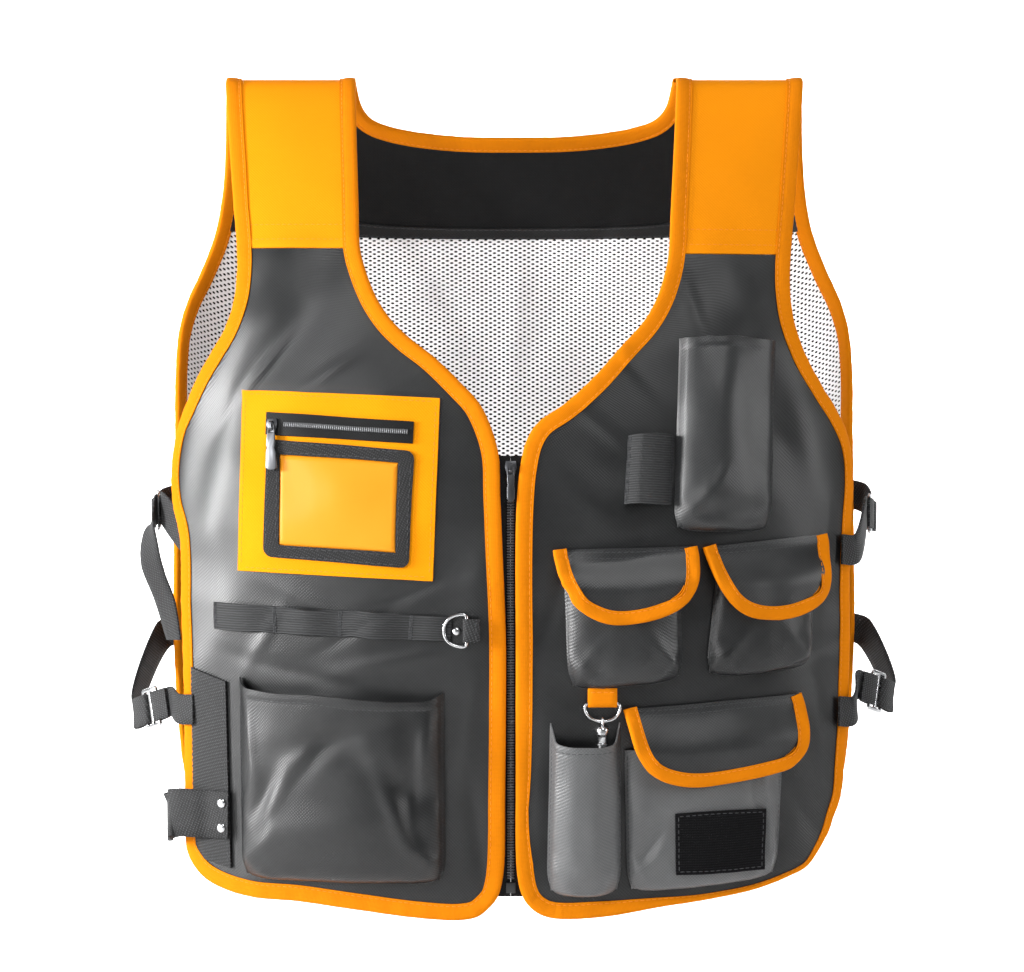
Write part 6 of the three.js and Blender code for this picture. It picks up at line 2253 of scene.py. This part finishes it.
@dataclass
class ZipCoil:
    """A closed row of zip teeth, one moulded tooth repeated.

    Attributes:
        name: The object's name.
        pitch: The distance between teeth.
        wide: The row's width.
        high: A tooth's height.
        finish: What the teeth are made of.
    """

    name: str
    pitch: float
    wide: float
    high: float
    finish: Surface = COIL

    def tooth(self) -> bpy.types.Object:
        """One tooth across the row, with its length along y."""
        reach = np.array([-0.5, -0.42, -0.15, 0.15, 0.42, 0.5]) * self.wide
        size = np.array([0.55, 0.95, 1.0, 1.0, 0.95, 0.55])
        turn = 2 * math.pi * (np.arange(8) + 0.5) / 8
        x = np.cos(turn)[None] * size[:, None] * self.pitch * 0.36
        z = np.sin(turn)[None] * size[:, None] * self.high / 2
        y = np.broadcast_to(reach[:, None], x.shape)
        return loft(f"{self.name}_one", np.stack([x, y, z], -1), sharp=180)

    def along(self, spots: np.ndarray, lift: float) -> bpy.types.Object:
        """The teeth along spots of the front's cloth.

        Args:
            spots: The line's spots.
            lift: The height of the teeth's middle over the cloth's middle.

        Returns:
            The row of teeth.
        """
        line = FRONT.over(spots, lift)
        normal = FRONT.facing_at(spots)
        length = arc_lengths(line)
        at = np.arange(self.pitch / 2, length[-1], self.pitch)
        place = sampled(at, length, line)
        out = sampled(at, length, normal)
        way = sampled(at + 0.5, length, line) - place
        way[-1] = way[-2]
        return Repeat(self.tooth(), self.finish.made()).over(self.name, place, unit(way), unit(out))


ID_PULL_FLARE = 0.75


def broaden(thing: bpy.types.Object, share: float) -> None:
    """Broadens a pull tab towards its lower end.

    Args:
        thing: The tab.
        share: How much wider the lower end becomes.
    """
    points = np.array([vertex.co for vertex in thing.data.vertices])
    low, high = points.min(0), points.max(0)
    centre = (low + high) / 2
    normal = FRONT.normals(np.array([centre[0] / MM]), np.array([centre[2] / MM]))[0]
    across = unit(np.cross(UP, normal))
    fall = (high[2] - points[:, 2]) / (high[2] - low[2])
    points += ((points - centre) @ across * share * fall)[:, None] * across
    thing.data.vertices.foreach_set("co", points.ravel())


@dataclass
class FrontZip:
    """The closed front zip: tapes, teeth, bottom box, sliders and pull tabs."""

    across: float = -0.009
    top: float = 0.458
    teeth_top: float = 0.4865
    teeth_low: float = 0.9515
    low: float = 0.972
    tape_wide: float = 14.0
    tape_thick: float = 0.9

    def build(self) -> list[bpy.types.Object]:
        """The zip's pieces."""
        base = -TAPE_TOP - LAYER_GAP - self.tape_thick
        middle = self.across * HALF_WIDE
        made = []
        for side, start, end in (("right", -self.tape_wide, -GAP / 2), ("left", GAP / 2, self.tape_wide)):
            x = np.linspace(middle + start, middle + end, 9)
            z = np.linspace(-LONG * self.low, -LONG * self.top, 120)
            grid_x, grid_z = np.meshgrid(x, z)
            top = FRONT.raised(grid_x, grid_z, base + self.tape_thick)
            low = FRONT.raised(grid_x, grid_z, base + 0 * grid_x)
            tape = slab(f"zip_tape_{side}_look", top, low, 0.1)
            settle(tape, BLACK, [f"zip_tape_{side}"])
            declare(top, [f"{side}_front_look"])
            made.append(tape)
        z = np.linspace(-LONG * self.teeth_low, -LONG * self.teeth_top, 200)
        spots = np.stack([np.full_like(z, middle), z], -1)
        coil = ZipCoil("zip_teeth_look", 1.9, 5.0, 2.0).along(spots, -TAPE_TOP - GAP + 1.1)
        settle(coil, None, ["zip_teeth"])
        made.append(coil)
        for node, finish, slot, body in (
            ("zip_slider", GUNMETAL, "metal", VEST), ("zip_pull", GUNMETAL, "metal", "zip_pull"),
            ("id_zip_slider", GUNMETAL, "metal", VEST), ("id_zip_pull", GUNMETAL, "metal", "id_zip_pull"),
            ("zip_box", MOULDED, "zip_box", VEST),
        ):
            copy = merged_copy(node, f"{node}_look")
            if node == "id_zip_pull":
                broaden(copy, ID_PULL_FLARE)
            soften(copy, 0.3)
            made.append(settle(copy, finish, [node], body))
        return made


def front_axes(spot: np.ndarray) -> tuple[np.ndarray, np.ndarray, np.ndarray]:
    """The front's normal at a spot, and its directions up and across."""
    normal = FRONT.facing_at(spot)
    up = unit(np.cross(normal, ACROSS))
    return normal, up, np.cross(up, normal)


def set_on_front(local: np.ndarray, spot: np.ndarray, lift: float, turn: float = 0.0) -> np.ndarray:
    """Points made round their own origin, x across, y up along the cloth and z out of it, set on the front.

    Args:
        local: The points.
        spot: The spot of the cloth.
        lift: The origin's height over the cloth's middle.
        turn: A turn about z first, in radians.

    Returns:
        The points in the vest's frame.
    """
    normal, up, across = front_axes(spot)
    place = FRONT.over(spot, lift)
    c, s = math.cos(turn), math.sin(turn)
    x = local[..., 0] * c - local[..., 1] * s
    y = local[..., 0] * s + local[..., 1] * c
    return place + x[..., None] * across + y[..., None] * up + local[..., 2:3] * normal


def band_rings(
    points: np.ndarray,
    acrosses: np.ndarray,
    wide: float,
    thick: float,
    bulge: float = 0.0,
    spacing: float = 1.6,
) -> tuple[np.ndarray, np.ndarray, np.ndarray]:
    """Rings of a band through a few points, its width along a direction given at each of its stages.

    Args:
        points: The points that it passes.
        acrosses: Directions of its width, evenly spread over the points.
        wide: Its width.
        thick: Its thickness.
        bulge: How much thicker its middle is.
        spacing: The spacing of its rings.

    Returns:
        The rings, their places on the flat band, and the middle line.
    """
    path, marks = smooth_path(np.asarray(points, float), spacing)
    share = np.interp(np.arange(len(path)), marks, np.linspace(0, 1, len(points)))
    at = share * (len(acrosses) - 1)
    across = sampled(at, np.arange(len(acrosses)), acrosses)
    rings, uv = ribbon_rings(path, across, wide, thick, bulge)
    return rings, uv, path


@dataclass
class SideWebbing:
    """Webbing on the wearer's right side with the hammer loop and its rivets."""

    rows: Sequence[tuple] = (
        (0.775, 0.944, 0.846, 0.924), (0.778, 0.905, 0.868, 0.9), (0.781, 0.86, 0.874, 0.855),
        (0.785, 0.79, 0.877, 0.78), (0.789, 0.724, 0.879, 0.71),
    )
    down: float = 0.881
    wide: float = 33.0
    thick: float = 1.6

    def build(self) -> list[bpy.types.Object]:
        """The webbing, the loop and the rivets."""
        inner, _ = smooth_path(spots_at([(-row[0], row[1]) for row in self.rows]), 2)
        outer, _ = smooth_path(spots_at([(-row[2], row[3]) for row in self.rows]), 2)
        inner, outer = resample(inner, 80), resample(outer, 80)
        share = np.linspace(-0.28, 1, 17)[None, :, None]
        spots = outer[:, None] * (1 - share) + inner[:, None] * share
        foot = np.linspace(1, 0, 80)[:, None] ** 6 * np.linspace(1, 0, 17)[None]
        spots[..., 1] -= 9 * foot
        hidden = np.clip(-share[..., 0] / 0.16, 0, 1)
        top = FRONT.over(spots, SEWN + 1.6 - 1.75 * hidden)
        low = FRONT.over(spots, SEWN - 0.6 * hidden)
        body = slab("side_webbing_body", top, low, 0.1)
        body.data.materials.append(WEB.made())
        lines, outs = rim_lines(top, 2)
        webbing = stitched("side_webbing", [body], lines[:2], outs[:2], BLACK_THREAD)
        settle(webbing, None, ["side_webbing"])
        declare(top, ["right_front_look"])
        return [webbing, self.loop(), *self.rivets()]

    def loop(self) -> bpy.types.Object:
        """The hammer loop, a band doubled on itself that stands out past the edge."""
        z = -self.down * LONG
        base = SEWN + 1.6 + 1.6

        def over(across: float, lift: float) -> np.ndarray:
            """A point over the front at the loop's height."""
            return FRONT.raised(across * HALF_WIDE, z, lift)

        points = [
            over(-0.849, base), over(-0.881, base + 0.4), over(-0.909, base + 1.4),
            in_room(-0.936, -0.43, self.down + 0.0025), in_room(-0.956, -0.376, self.down + 0.0065),
            in_room(-0.966, -0.41, self.down + 0.0085), in_room(-0.953, -0.492, self.down + 0.0065),
            over(-0.908, base + 10), over(-0.869, base + 5), over(-0.837, base + 0.6),
            over(-0.806, base), over(-0.778, base),
        ]
        rings, uv, path = band_rings(np.array(points), np.array([UP, UP]), self.wide, self.thick, 0.1)
        loop = loft("hammer_loop_look", rings, uv, sharp=70)
        settle(loop, WEB, ["hammer_loop"])
        declare_band(self.wide, ["side_webbing_look"])
        return loop

    def rivets(self) -> list[bpy.types.Object]:
        """The two rivets and the stud in the chest ring."""
        base = SEWN + 1.6 + 1.6 + self.thick / 2 + 0.5
        made = []
        for name, across, down, radius, high, low in (
            ("rivet_upper", -0.795, 0.867, 3.3, 1.4, base), ("rivet_lower", -0.796, 0.896, 3.3, 1.4, base),
            ("ring_stud", -0.156, 0.6625, 3.0, 1.8, SEWN + GAP),
        ):
            profile = [(0.01, 0), (radius * 0.96, 0), (radius, high * 0.2), (radius * 0.93, high * 0.45),
                       (radius * 0.72, high * 0.8), (radius * 0.4, high * 0.96), (0.01, high)]
            rings = lathe(profile, 28)
            head = loft(f"{name}_look", set_on_front(rings, spot_at(across, down), low), sharp=35)
            made.append(settle(head, STEEL, [name]))
        return made


def in_room(across: float, back: float, down: float) -> np.ndarray:
    """A point in the room round the body, from shares of its half width, depth and length."""
    return np.array([across * HALF_WIDE, back * FRONT_DEEP, -down * LONG])


def lathe(profile: Sequence[tuple], sides: int) -> np.ndarray:
    """Rings of a turned shape about z, from rows of radius and height."""
    turn = 2 * math.pi * np.arange(sides) / sides
    rows = np.array(profile, float)
    x = rows[:, :1] * np.cos(turn)[None]
    y = rows[:, :1] * np.sin(turn)[None]
    z = np.broadcast_to(rows[:, 1:2], x.shape)
    return np.stack([x, y, z], -1)


@dataclass
class Ring:
    """A D-ring of round wire with the tab that holds it.

    Attributes:
        name: chest or hanging.
        spot: Where the middle of its bar is.
        lift: The bar's height over the cloth.
        wide: The ring's width.
        deep: The ring's depth.
        tab: The tab's width.
        reach: How far the tab's sewn end is from the bar.
        turn: The ring's turn on the cloth.
        body: The body that the ring rides on.
        finish: The tab's finish.
        slot: The name of the tab's material, which picks the colour of its thread.
    """

    name: str
    spot: tuple[float, float]
    lift: float
    wide: float
    deep: float
    tab: float
    reach: float
    turn: float
    body: str
    finish: Surface
    slot: str
    wire: float = 2.2

    def wire_path(self) -> np.ndarray:
        """The ring's middle line on its own plane."""
        half, bend, deep = self.wide / 2, 2.2, self.deep
        corners = [
            (-half + bend, 0), (0, 0), (half - bend, 0), (half - bend * 0.3, -bend * 0.3), (half, -bend),
            (half * 0.96, -deep * 0.45), (half * 0.72, -deep * 0.8), (half * 0.3, -deep * 0.98),
            (-half * 0.3, -deep * 0.98), (-half * 0.72, -deep * 0.8), (-half * 0.96, -deep * 0.45),
            (-half, -bend), (-half + bend * 0.3, -bend * 0.3),
        ]
        path, _ = smooth_path(np.array([(x, y, 0.0) for x, y in corners]), 0.9, closed=True)
        return path

    def build(self) -> list[bpy.types.Object]:
        """The ring and its tab."""
        spot = spot_at(*self.spot)
        path = set_on_front(self.wire_path(), spot, self.lift, self.turn)
        ring = tube(f"{self.name}_ring_look", path, self.wire / 2, 14, closed=True)
        settle(ring, STEEL, [f"{self.name}_ring"], self.body)
        return [ring, self.tab_piece(spot)]

    def tab_piece(self, spot: np.ndarray) -> bpy.types.Object:
        """The tab: a band round the ring's bar, closed at its sewn end."""
        normal, up, across = front_axes(spot)
        away = up * math.cos(self.turn) - across * math.sin(self.turn)
        bar = np.cross(away, normal)
        centre = FRONT.over(spot, self.lift)
        r = self.wire / 2 + 0.5 + 0.5
        way = [
            (self.reach, -r * 0.45), (self.reach * 0.4, -r * 0.95), (0, -r), (-r * 0.75, -r * 0.7), (-r, 0),
            (-r * 0.75, r * 0.7), (0, r), (self.reach * 0.4, r * 0.95), (self.reach, r * 0.45),
        ]
        points = np.array([centre + away * along + normal * out for along, out in way])
        rings, uv, path = band_rings(points, np.array([bar, bar]), self.tab, 1.0, 0.05, 0.8)
        body = loft(f"{self.name}_tab_body", rings, uv, sharp=70)
        body.data.materials.append(self.finish.made())
        start = centre + away * (self.reach * 0.75) + normal * (r * 0.68 + 0.62)
        count = 20
        line = np.linspace(start - bar * (self.tab / 2 - 1.2), start + bar * (self.tab / 2 - 1.2), count)
        thread = ORANGE_THREAD if self.slot == "binding" else BLACK_THREAD
        tab = stitched(f"{self.name}_ring_tab", [body], [line], [np.tile(normal, (count, 1))], thread)
        settle(tab, None, [f"{self.name}_ring_tab"])
        declare_band(self.tab, [front_under(self.spot[0])])
        return tab


RINGS = [
    Ring("chest", (-0.127, 0.6615), 4.2, 22, 15.5, 16, 9, -math.pi / 2, "chest_ring", WEB, "webbing"),
    Ring("hanging", (0.2385, 0.7455), 5.8, 24, 12, 20, 10.5, 0, VEST, BINDING, "binding"),
]


@dataclass
class SnapHook:
    """The snap hook that hangs from the ring over the slim pocket."""

    eye: float = 3.3
    wire: float = 1.7
    collar: float = 4.4
    stem: float = 3.1
    hook_wide: float = 13.0
    hook_long: float = 22.0
    hook_wire: float = 2.6

    def build(self) -> bpy.types.Object:
        """The hook, as one piece of several forms."""
        ring = RINGS[1]
        spot = spot_at(*ring.spot)
        eye_centre = -ring.deep * 0.98 - self.eye + self.wire / 2 + ring.wire / 2 + 0.5
        collar_top = eye_centre - self.eye + self.wire * 0.2
        stem_low = collar_top - 17
        parts = []
        turn = 2 * math.pi * np.arange(36) / 36
        eye = np.stack([0 * turn, np.sin(turn) * self.eye + eye_centre, -np.cos(turn) * self.eye], -1)
        parts.append(tube("snap_eye", set_on_front(eye, spot, ring.lift), self.wire / 2, 12, closed=True))
        profile = [
            (0.01, stem_low), (self.stem, stem_low), (self.stem, stem_low + 4),
            (self.stem * 1.25, stem_low + 4.4), (self.stem * 1.25, stem_low + 5.4),
            (self.stem, stem_low + 5.8), (self.stem, collar_top - 7.5),
            (self.collar * 0.85, collar_top - 5.9), (self.collar * 0.97, collar_top - 5.5),
            (self.collar * 0.85, collar_top - 5.0), (self.collar * 0.85, collar_top - 4.2),
            (self.collar, collar_top - 3.8), (self.collar, collar_top - 2),
            (self.collar * 0.9, collar_top - 1), (self.collar * 0.6, collar_top), (0.01, collar_top),
        ]
        rings = lathe(profile, 28)[..., [0, 2, 1]]
        parts.append(loft("snap_shaft", set_on_front(rings, spot, ring.lift), sharp=38))
        half, long = self.hook_wide / 2, self.hook_long
        way = [
            (0, 0), (half * 0.75, -1.2), (half, -5), (half, -long * 0.65), (half * 0.72, -long * 0.9),
            (0, -long), (-half * 0.72, -long * 0.9), (-half, -long * 0.65), (-half, -5),
            (-half * 0.75, -1.2),
        ]
        loop, _ = smooth_path(np.array([(x, y + stem_low + 0.6, 0.0) for x, y in way]), 1.2, closed=True)
        wire = set_on_front(loop, spot, ring.lift)
        parts.append(tube("snap_loop", wire, self.hook_wire / 2, 14, closed=True))
        lever = np.array([[-1.7, -2.5], [1.7, -2.5], [1.7, 2.5], [-1.7, 2.5]])
        box = np.stack([np.concatenate([lever, np.full((4, 1), z)], 1) for z in (-0.8, 0.8)])
        box[..., 0] += half + 0.6
        box[..., 1] += stem_low - 1.4
        parts.append(soften(loft("snap_lever", set_on_front(box, spot, ring.lift), sharp=30), 0.4))
        for part in parts:
            part.data.materials.append(STEEL.made())
        hook = merged("snap_hook_look", parts)
        return settle(hook, None, ["snap_hook"])


@dataclass
class Strap:
    """A side strap pair and its slide buckle.

    Attributes:
        name: right_upper and so on, the wearer's.
        centre: The buckle's middle, in shares of the room.
        lead: The buckle's turn from the fore and aft line, in degrees.
        roll: Its tilt.
        front: Across and down of the front end, its lift and its rise.
        back: Across and down of the back end.
        tail: The free end's points and width directions, if it hangs.
    """

    name: str
    centre: tuple[float, float, float]
    lead: float
    roll: float
    front: tuple[float, float, float, float]
    back: tuple[float, float]
    tail: Sequence[tuple] = ()

    way: Sequence[tuple] = (
        (-24, -1), (-14, -2.2), (-8.4, -2.5), (-5, -1.9), (-3.8, 0), (-5, 1.9), (-8.4, 2.5), (-14, 2.2),
        (-21, 1),
    )
    back_turn: tuple[float, float] = (1.016, 0.36)
    sewn: float = 10.0

    def build(self) -> list[bpy.types.Object]:
        """The buckle and its two straps."""
        away = math.copysign(1.0, self.centre[0])
        lead, roll = math.radians(self.lead), math.radians(self.roll)
        out = np.array([away * math.cos(lead), -away * math.sin(lead), 0])
        turn = np.array(Matrix.Rotation(roll, 3, Vector(out)))
        along = turn @ np.array([math.sin(lead), math.cos(lead), 0])
        high = turn @ UP
        centre = in_room(*self.centre)
        buckle = soften(merged_copy(f"{self.name}_buckle", f"{self.name}_buckle_look"), 0.55, 3)
        made = [settle(buckle, STEEL, [f"{self.name}_buckle"])]
        across, down, lift, rise = self.front
        spot = spot_at(across, down)
        points = [
            FRONT.over(spot, lift),
            FRONT.raised(spot[0] + away * self.sewn, spot[1], lift + rise),
            *(centre + along * a + out * o for a, o in self.way),
        ]
        acrosses = [UP, high, high]
        if self.tail:
            points.pop()
            acrosses = [UP if k < 2 else high for k in range(len(points))]
            acrosses += [np.array(row[3:]) for row in self.tail]
            points += [in_room(*row[:3]) for row in self.tail]
        made.append(self.band("front", np.array(points), np.array(acrosses)))
        spot = spot_at(*self.back)
        points = [
            BACK.over(spot, TAPE_TOP + 1.6),
            BACK.raised(spot[0] + away * self.sewn, spot[1] - 1, TAPE_TOP + 1.6),
            in_room(away * self.back_turn[0], self.back_turn[1], self.back[1] + 0.007),
            *(centre - along * a + out * o for a, o in self.way),
        ]
        made.append(self.band("back", np.array(points), np.array([UP, high, high])))
        return made

    def band(self, end: str, points: np.ndarray, acrosses: np.ndarray) -> bpy.types.Object:
        """One strap: webbing round a bar of the buckle."""
        rings, uv, path = band_rings(points, acrosses, WEB_WIDE, WEB_THICK, 0.08)
        strap = loft(f"{self.name}_{end}_strap_look", rings, uv, sharp=70)
        settle(strap, WEB, [f"{self.name}_{end}_strap"])
        cloth = front_under(self.centre[0]) if end == "front" else "back_panel_look"
        declare_band(WEB_WIDE, [f"{self.name}_buckle_look", cloth])
        return strap


OVER_TAPE = TAPE_TOP + 1.8
UNDER_TAPE = -TAPE_TOP - 1.6
STRAPS = [
    Strap(
        "right_upper", (-1.016, -0.048, 0.525), -12, 8, (-0.869, 0.563, UNDER_TAPE, 0), (-0.921, 0.508),
        [
            (-1.02, -0.232, 0.536, 0.15, -0.75, 0.6), (-1.028, -0.216, 0.563, 0.6, -0.8, 0.1),
            (-1.024, -0.16, 0.593, 0.8, -0.6, 0), (-0.992, -0.096, 0.634, 0.75, -0.65, 0),
            (-0.968, -0.072, 0.681, 0.55, -0.83, 0),
        ],
    ),
    Strap("right_lower", (-1.02, -0.272, 0.761), -40, 14, (-0.877, 0.758, OVER_TAPE, 0.8), (-0.929, 0.671)),
    Strap("left_upper", (1.016, -0.048, 0.529), 12, -6, (0.897, 0.569, OVER_TAPE, 0.8), (0.921, 0.502)),
    Strap("left_lower", (1.024, -0.208, 0.742), 38, -14, (0.889, 0.761, OVER_TAPE, 0.8), (0.929, 0.668)),
]


@dataclass
class HookPatch:
    """The hook tape patch on the big pocket's front."""

    corners: Sequence[tuple] = ((0.434, 0.944), (0.667, 0.94), (0.669, 0.869), (0.428, 0.872))

    def build(self) -> bpy.types.Object:
        """The patch and its stitches."""
        base = SEWN + THIN + FLAP_POUCH_DEEP * 1.07 + 0.6
        body, top = flat_layer("hook_patch_body", self.corners, base, THIN, 2.0)
        body.data.materials.append(HOOKS.made())
        patch = stitched("hook_patch", [body], *rim_lines(top, 1), BLACK_THREAD)
        settle(patch, None, ["hook_patch"])
        declare(top, ["big_flap_pocket_look"])
        return patch


@dataclass
class Studio:
    """The pale floor, the lights and the camera.

    Attributes:
        floor: The floor's height in metres.
    """

    floor: float = -0.72
    lights: Sequence[tuple] = (
        ("key", (-2.0, -0.6, 0.0), 0.6, 78, (0.0, 0.0, -0.3)),
        ("near_key", (-1.5, -1.7, 0.15), 0.4, 24, (0.0, 0.0, -0.35)),
        ("fill", (0.5, -2.0, 2.2), 1.4, 40, (0.0, 0.0, -0.3)),
        ("side", (1.9, -0.7, 0.1), 0.5, 12, (0.0, 0.0, -0.3)),
        ("top", (0.0, -0.2, 1.6), 1.2, 4, (0.0, 0.0, -0.2)),
        ("wall_left", (-1.6, 1.2, 0.6), 1.2, 90, (-0.6, 2.8, -0.2)),
        ("wall_right", (1.6, 1.2, 0.6), 1.2, 90, (0.6, 2.8, -0.2)),
    )

    def build(self) -> None:
        """Makes the stage, the lights and the camera."""
        self.backdrop()
        for name, place, size, power, aim in self.lights:
            lamp = bpy.data.lights.new(name, "AREA")
            lamp.shape = "DISK"
            lamp.size = size
            lamp.energy = power
            thing = linked(name, lamp)
            thing.location = place
            thing.rotation_euler = (Vector(aim) - Vector(place)).to_track_quat("-Z", "Y").to_euler()
        world = bpy.data.worlds.new("studio")
        bpy.context.scene.world = world
        world.use_nodes = True
        sky = world.node_tree.nodes["Background"]
        sky.inputs["Color"].default_value = (1.0, 1.0, 1.0, 1.0)
        sky.inputs["Strength"].default_value = 0.12
        camera = bpy.data.cameras.new("camera")
        camera.lens = 117.2
        camera.sensor_width = 36.0
        thing = linked("camera", camera)
        thing.location = (-0.00144, -2.4, -0.2916)
        thing.rotation_euler = (math.radians(90), 0, 0)
        bpy.context.scene.camera = thing
        bpy.context.scene.view_settings.view_transform = "Standard"

    def backdrop(self) -> None:
        """A pale floor that curves up into a wall behind."""
        turn = np.linspace(0, math.pi / 2, 24)
        y = np.concatenate([[-6.0], 1.6 + 1.2 * np.sin(turn), [2.8]])
        z = np.concatenate([[self.floor], self.floor + 1.2 * (1 - np.cos(turn)), [4.0]])
        points = [(x, a, b) for a, b in zip(y, z) for x in (-6.0, 6.0)]
        faces = [[2 * k, 2 * k + 1, 2 * k + 3, 2 * k + 2] for k in range(len(y) - 1)]
        mesh = bpy.data.meshes.new("floor")
        mesh.from_pydata(points, [], faces)
        mesh.polygons.foreach_set("use_smooth", np.ones(len(mesh.polygons), bool))
        thing = linked("floor", mesh)
        mesh.materials.append(Surface("floor_look", (0.93, 0.93, 0.93, 1.0), rough=0.9).made())


def main() -> None:
    """Builds the vest and the studio."""
    logging.basicConfig(level=logging.INFO, format="%(message)s")
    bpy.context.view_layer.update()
    BackHalf().build()
    for half in (RIGHT_FRONT, LEFT_FRONT):
        half.build()
    IdPocket().build()
    for piece in (*POUCHES, *LOOPS, *FLAPS):
        piece.build()
    HookPatch().build()
    FrontZip().build()
    SideWebbing().build()
    for ring in RINGS:
        ring.build()
    SnapHook().build()
    for strap in STRAPS:
        strap.build()
    Studio().build()


if __name__ == "__main__":
    main()
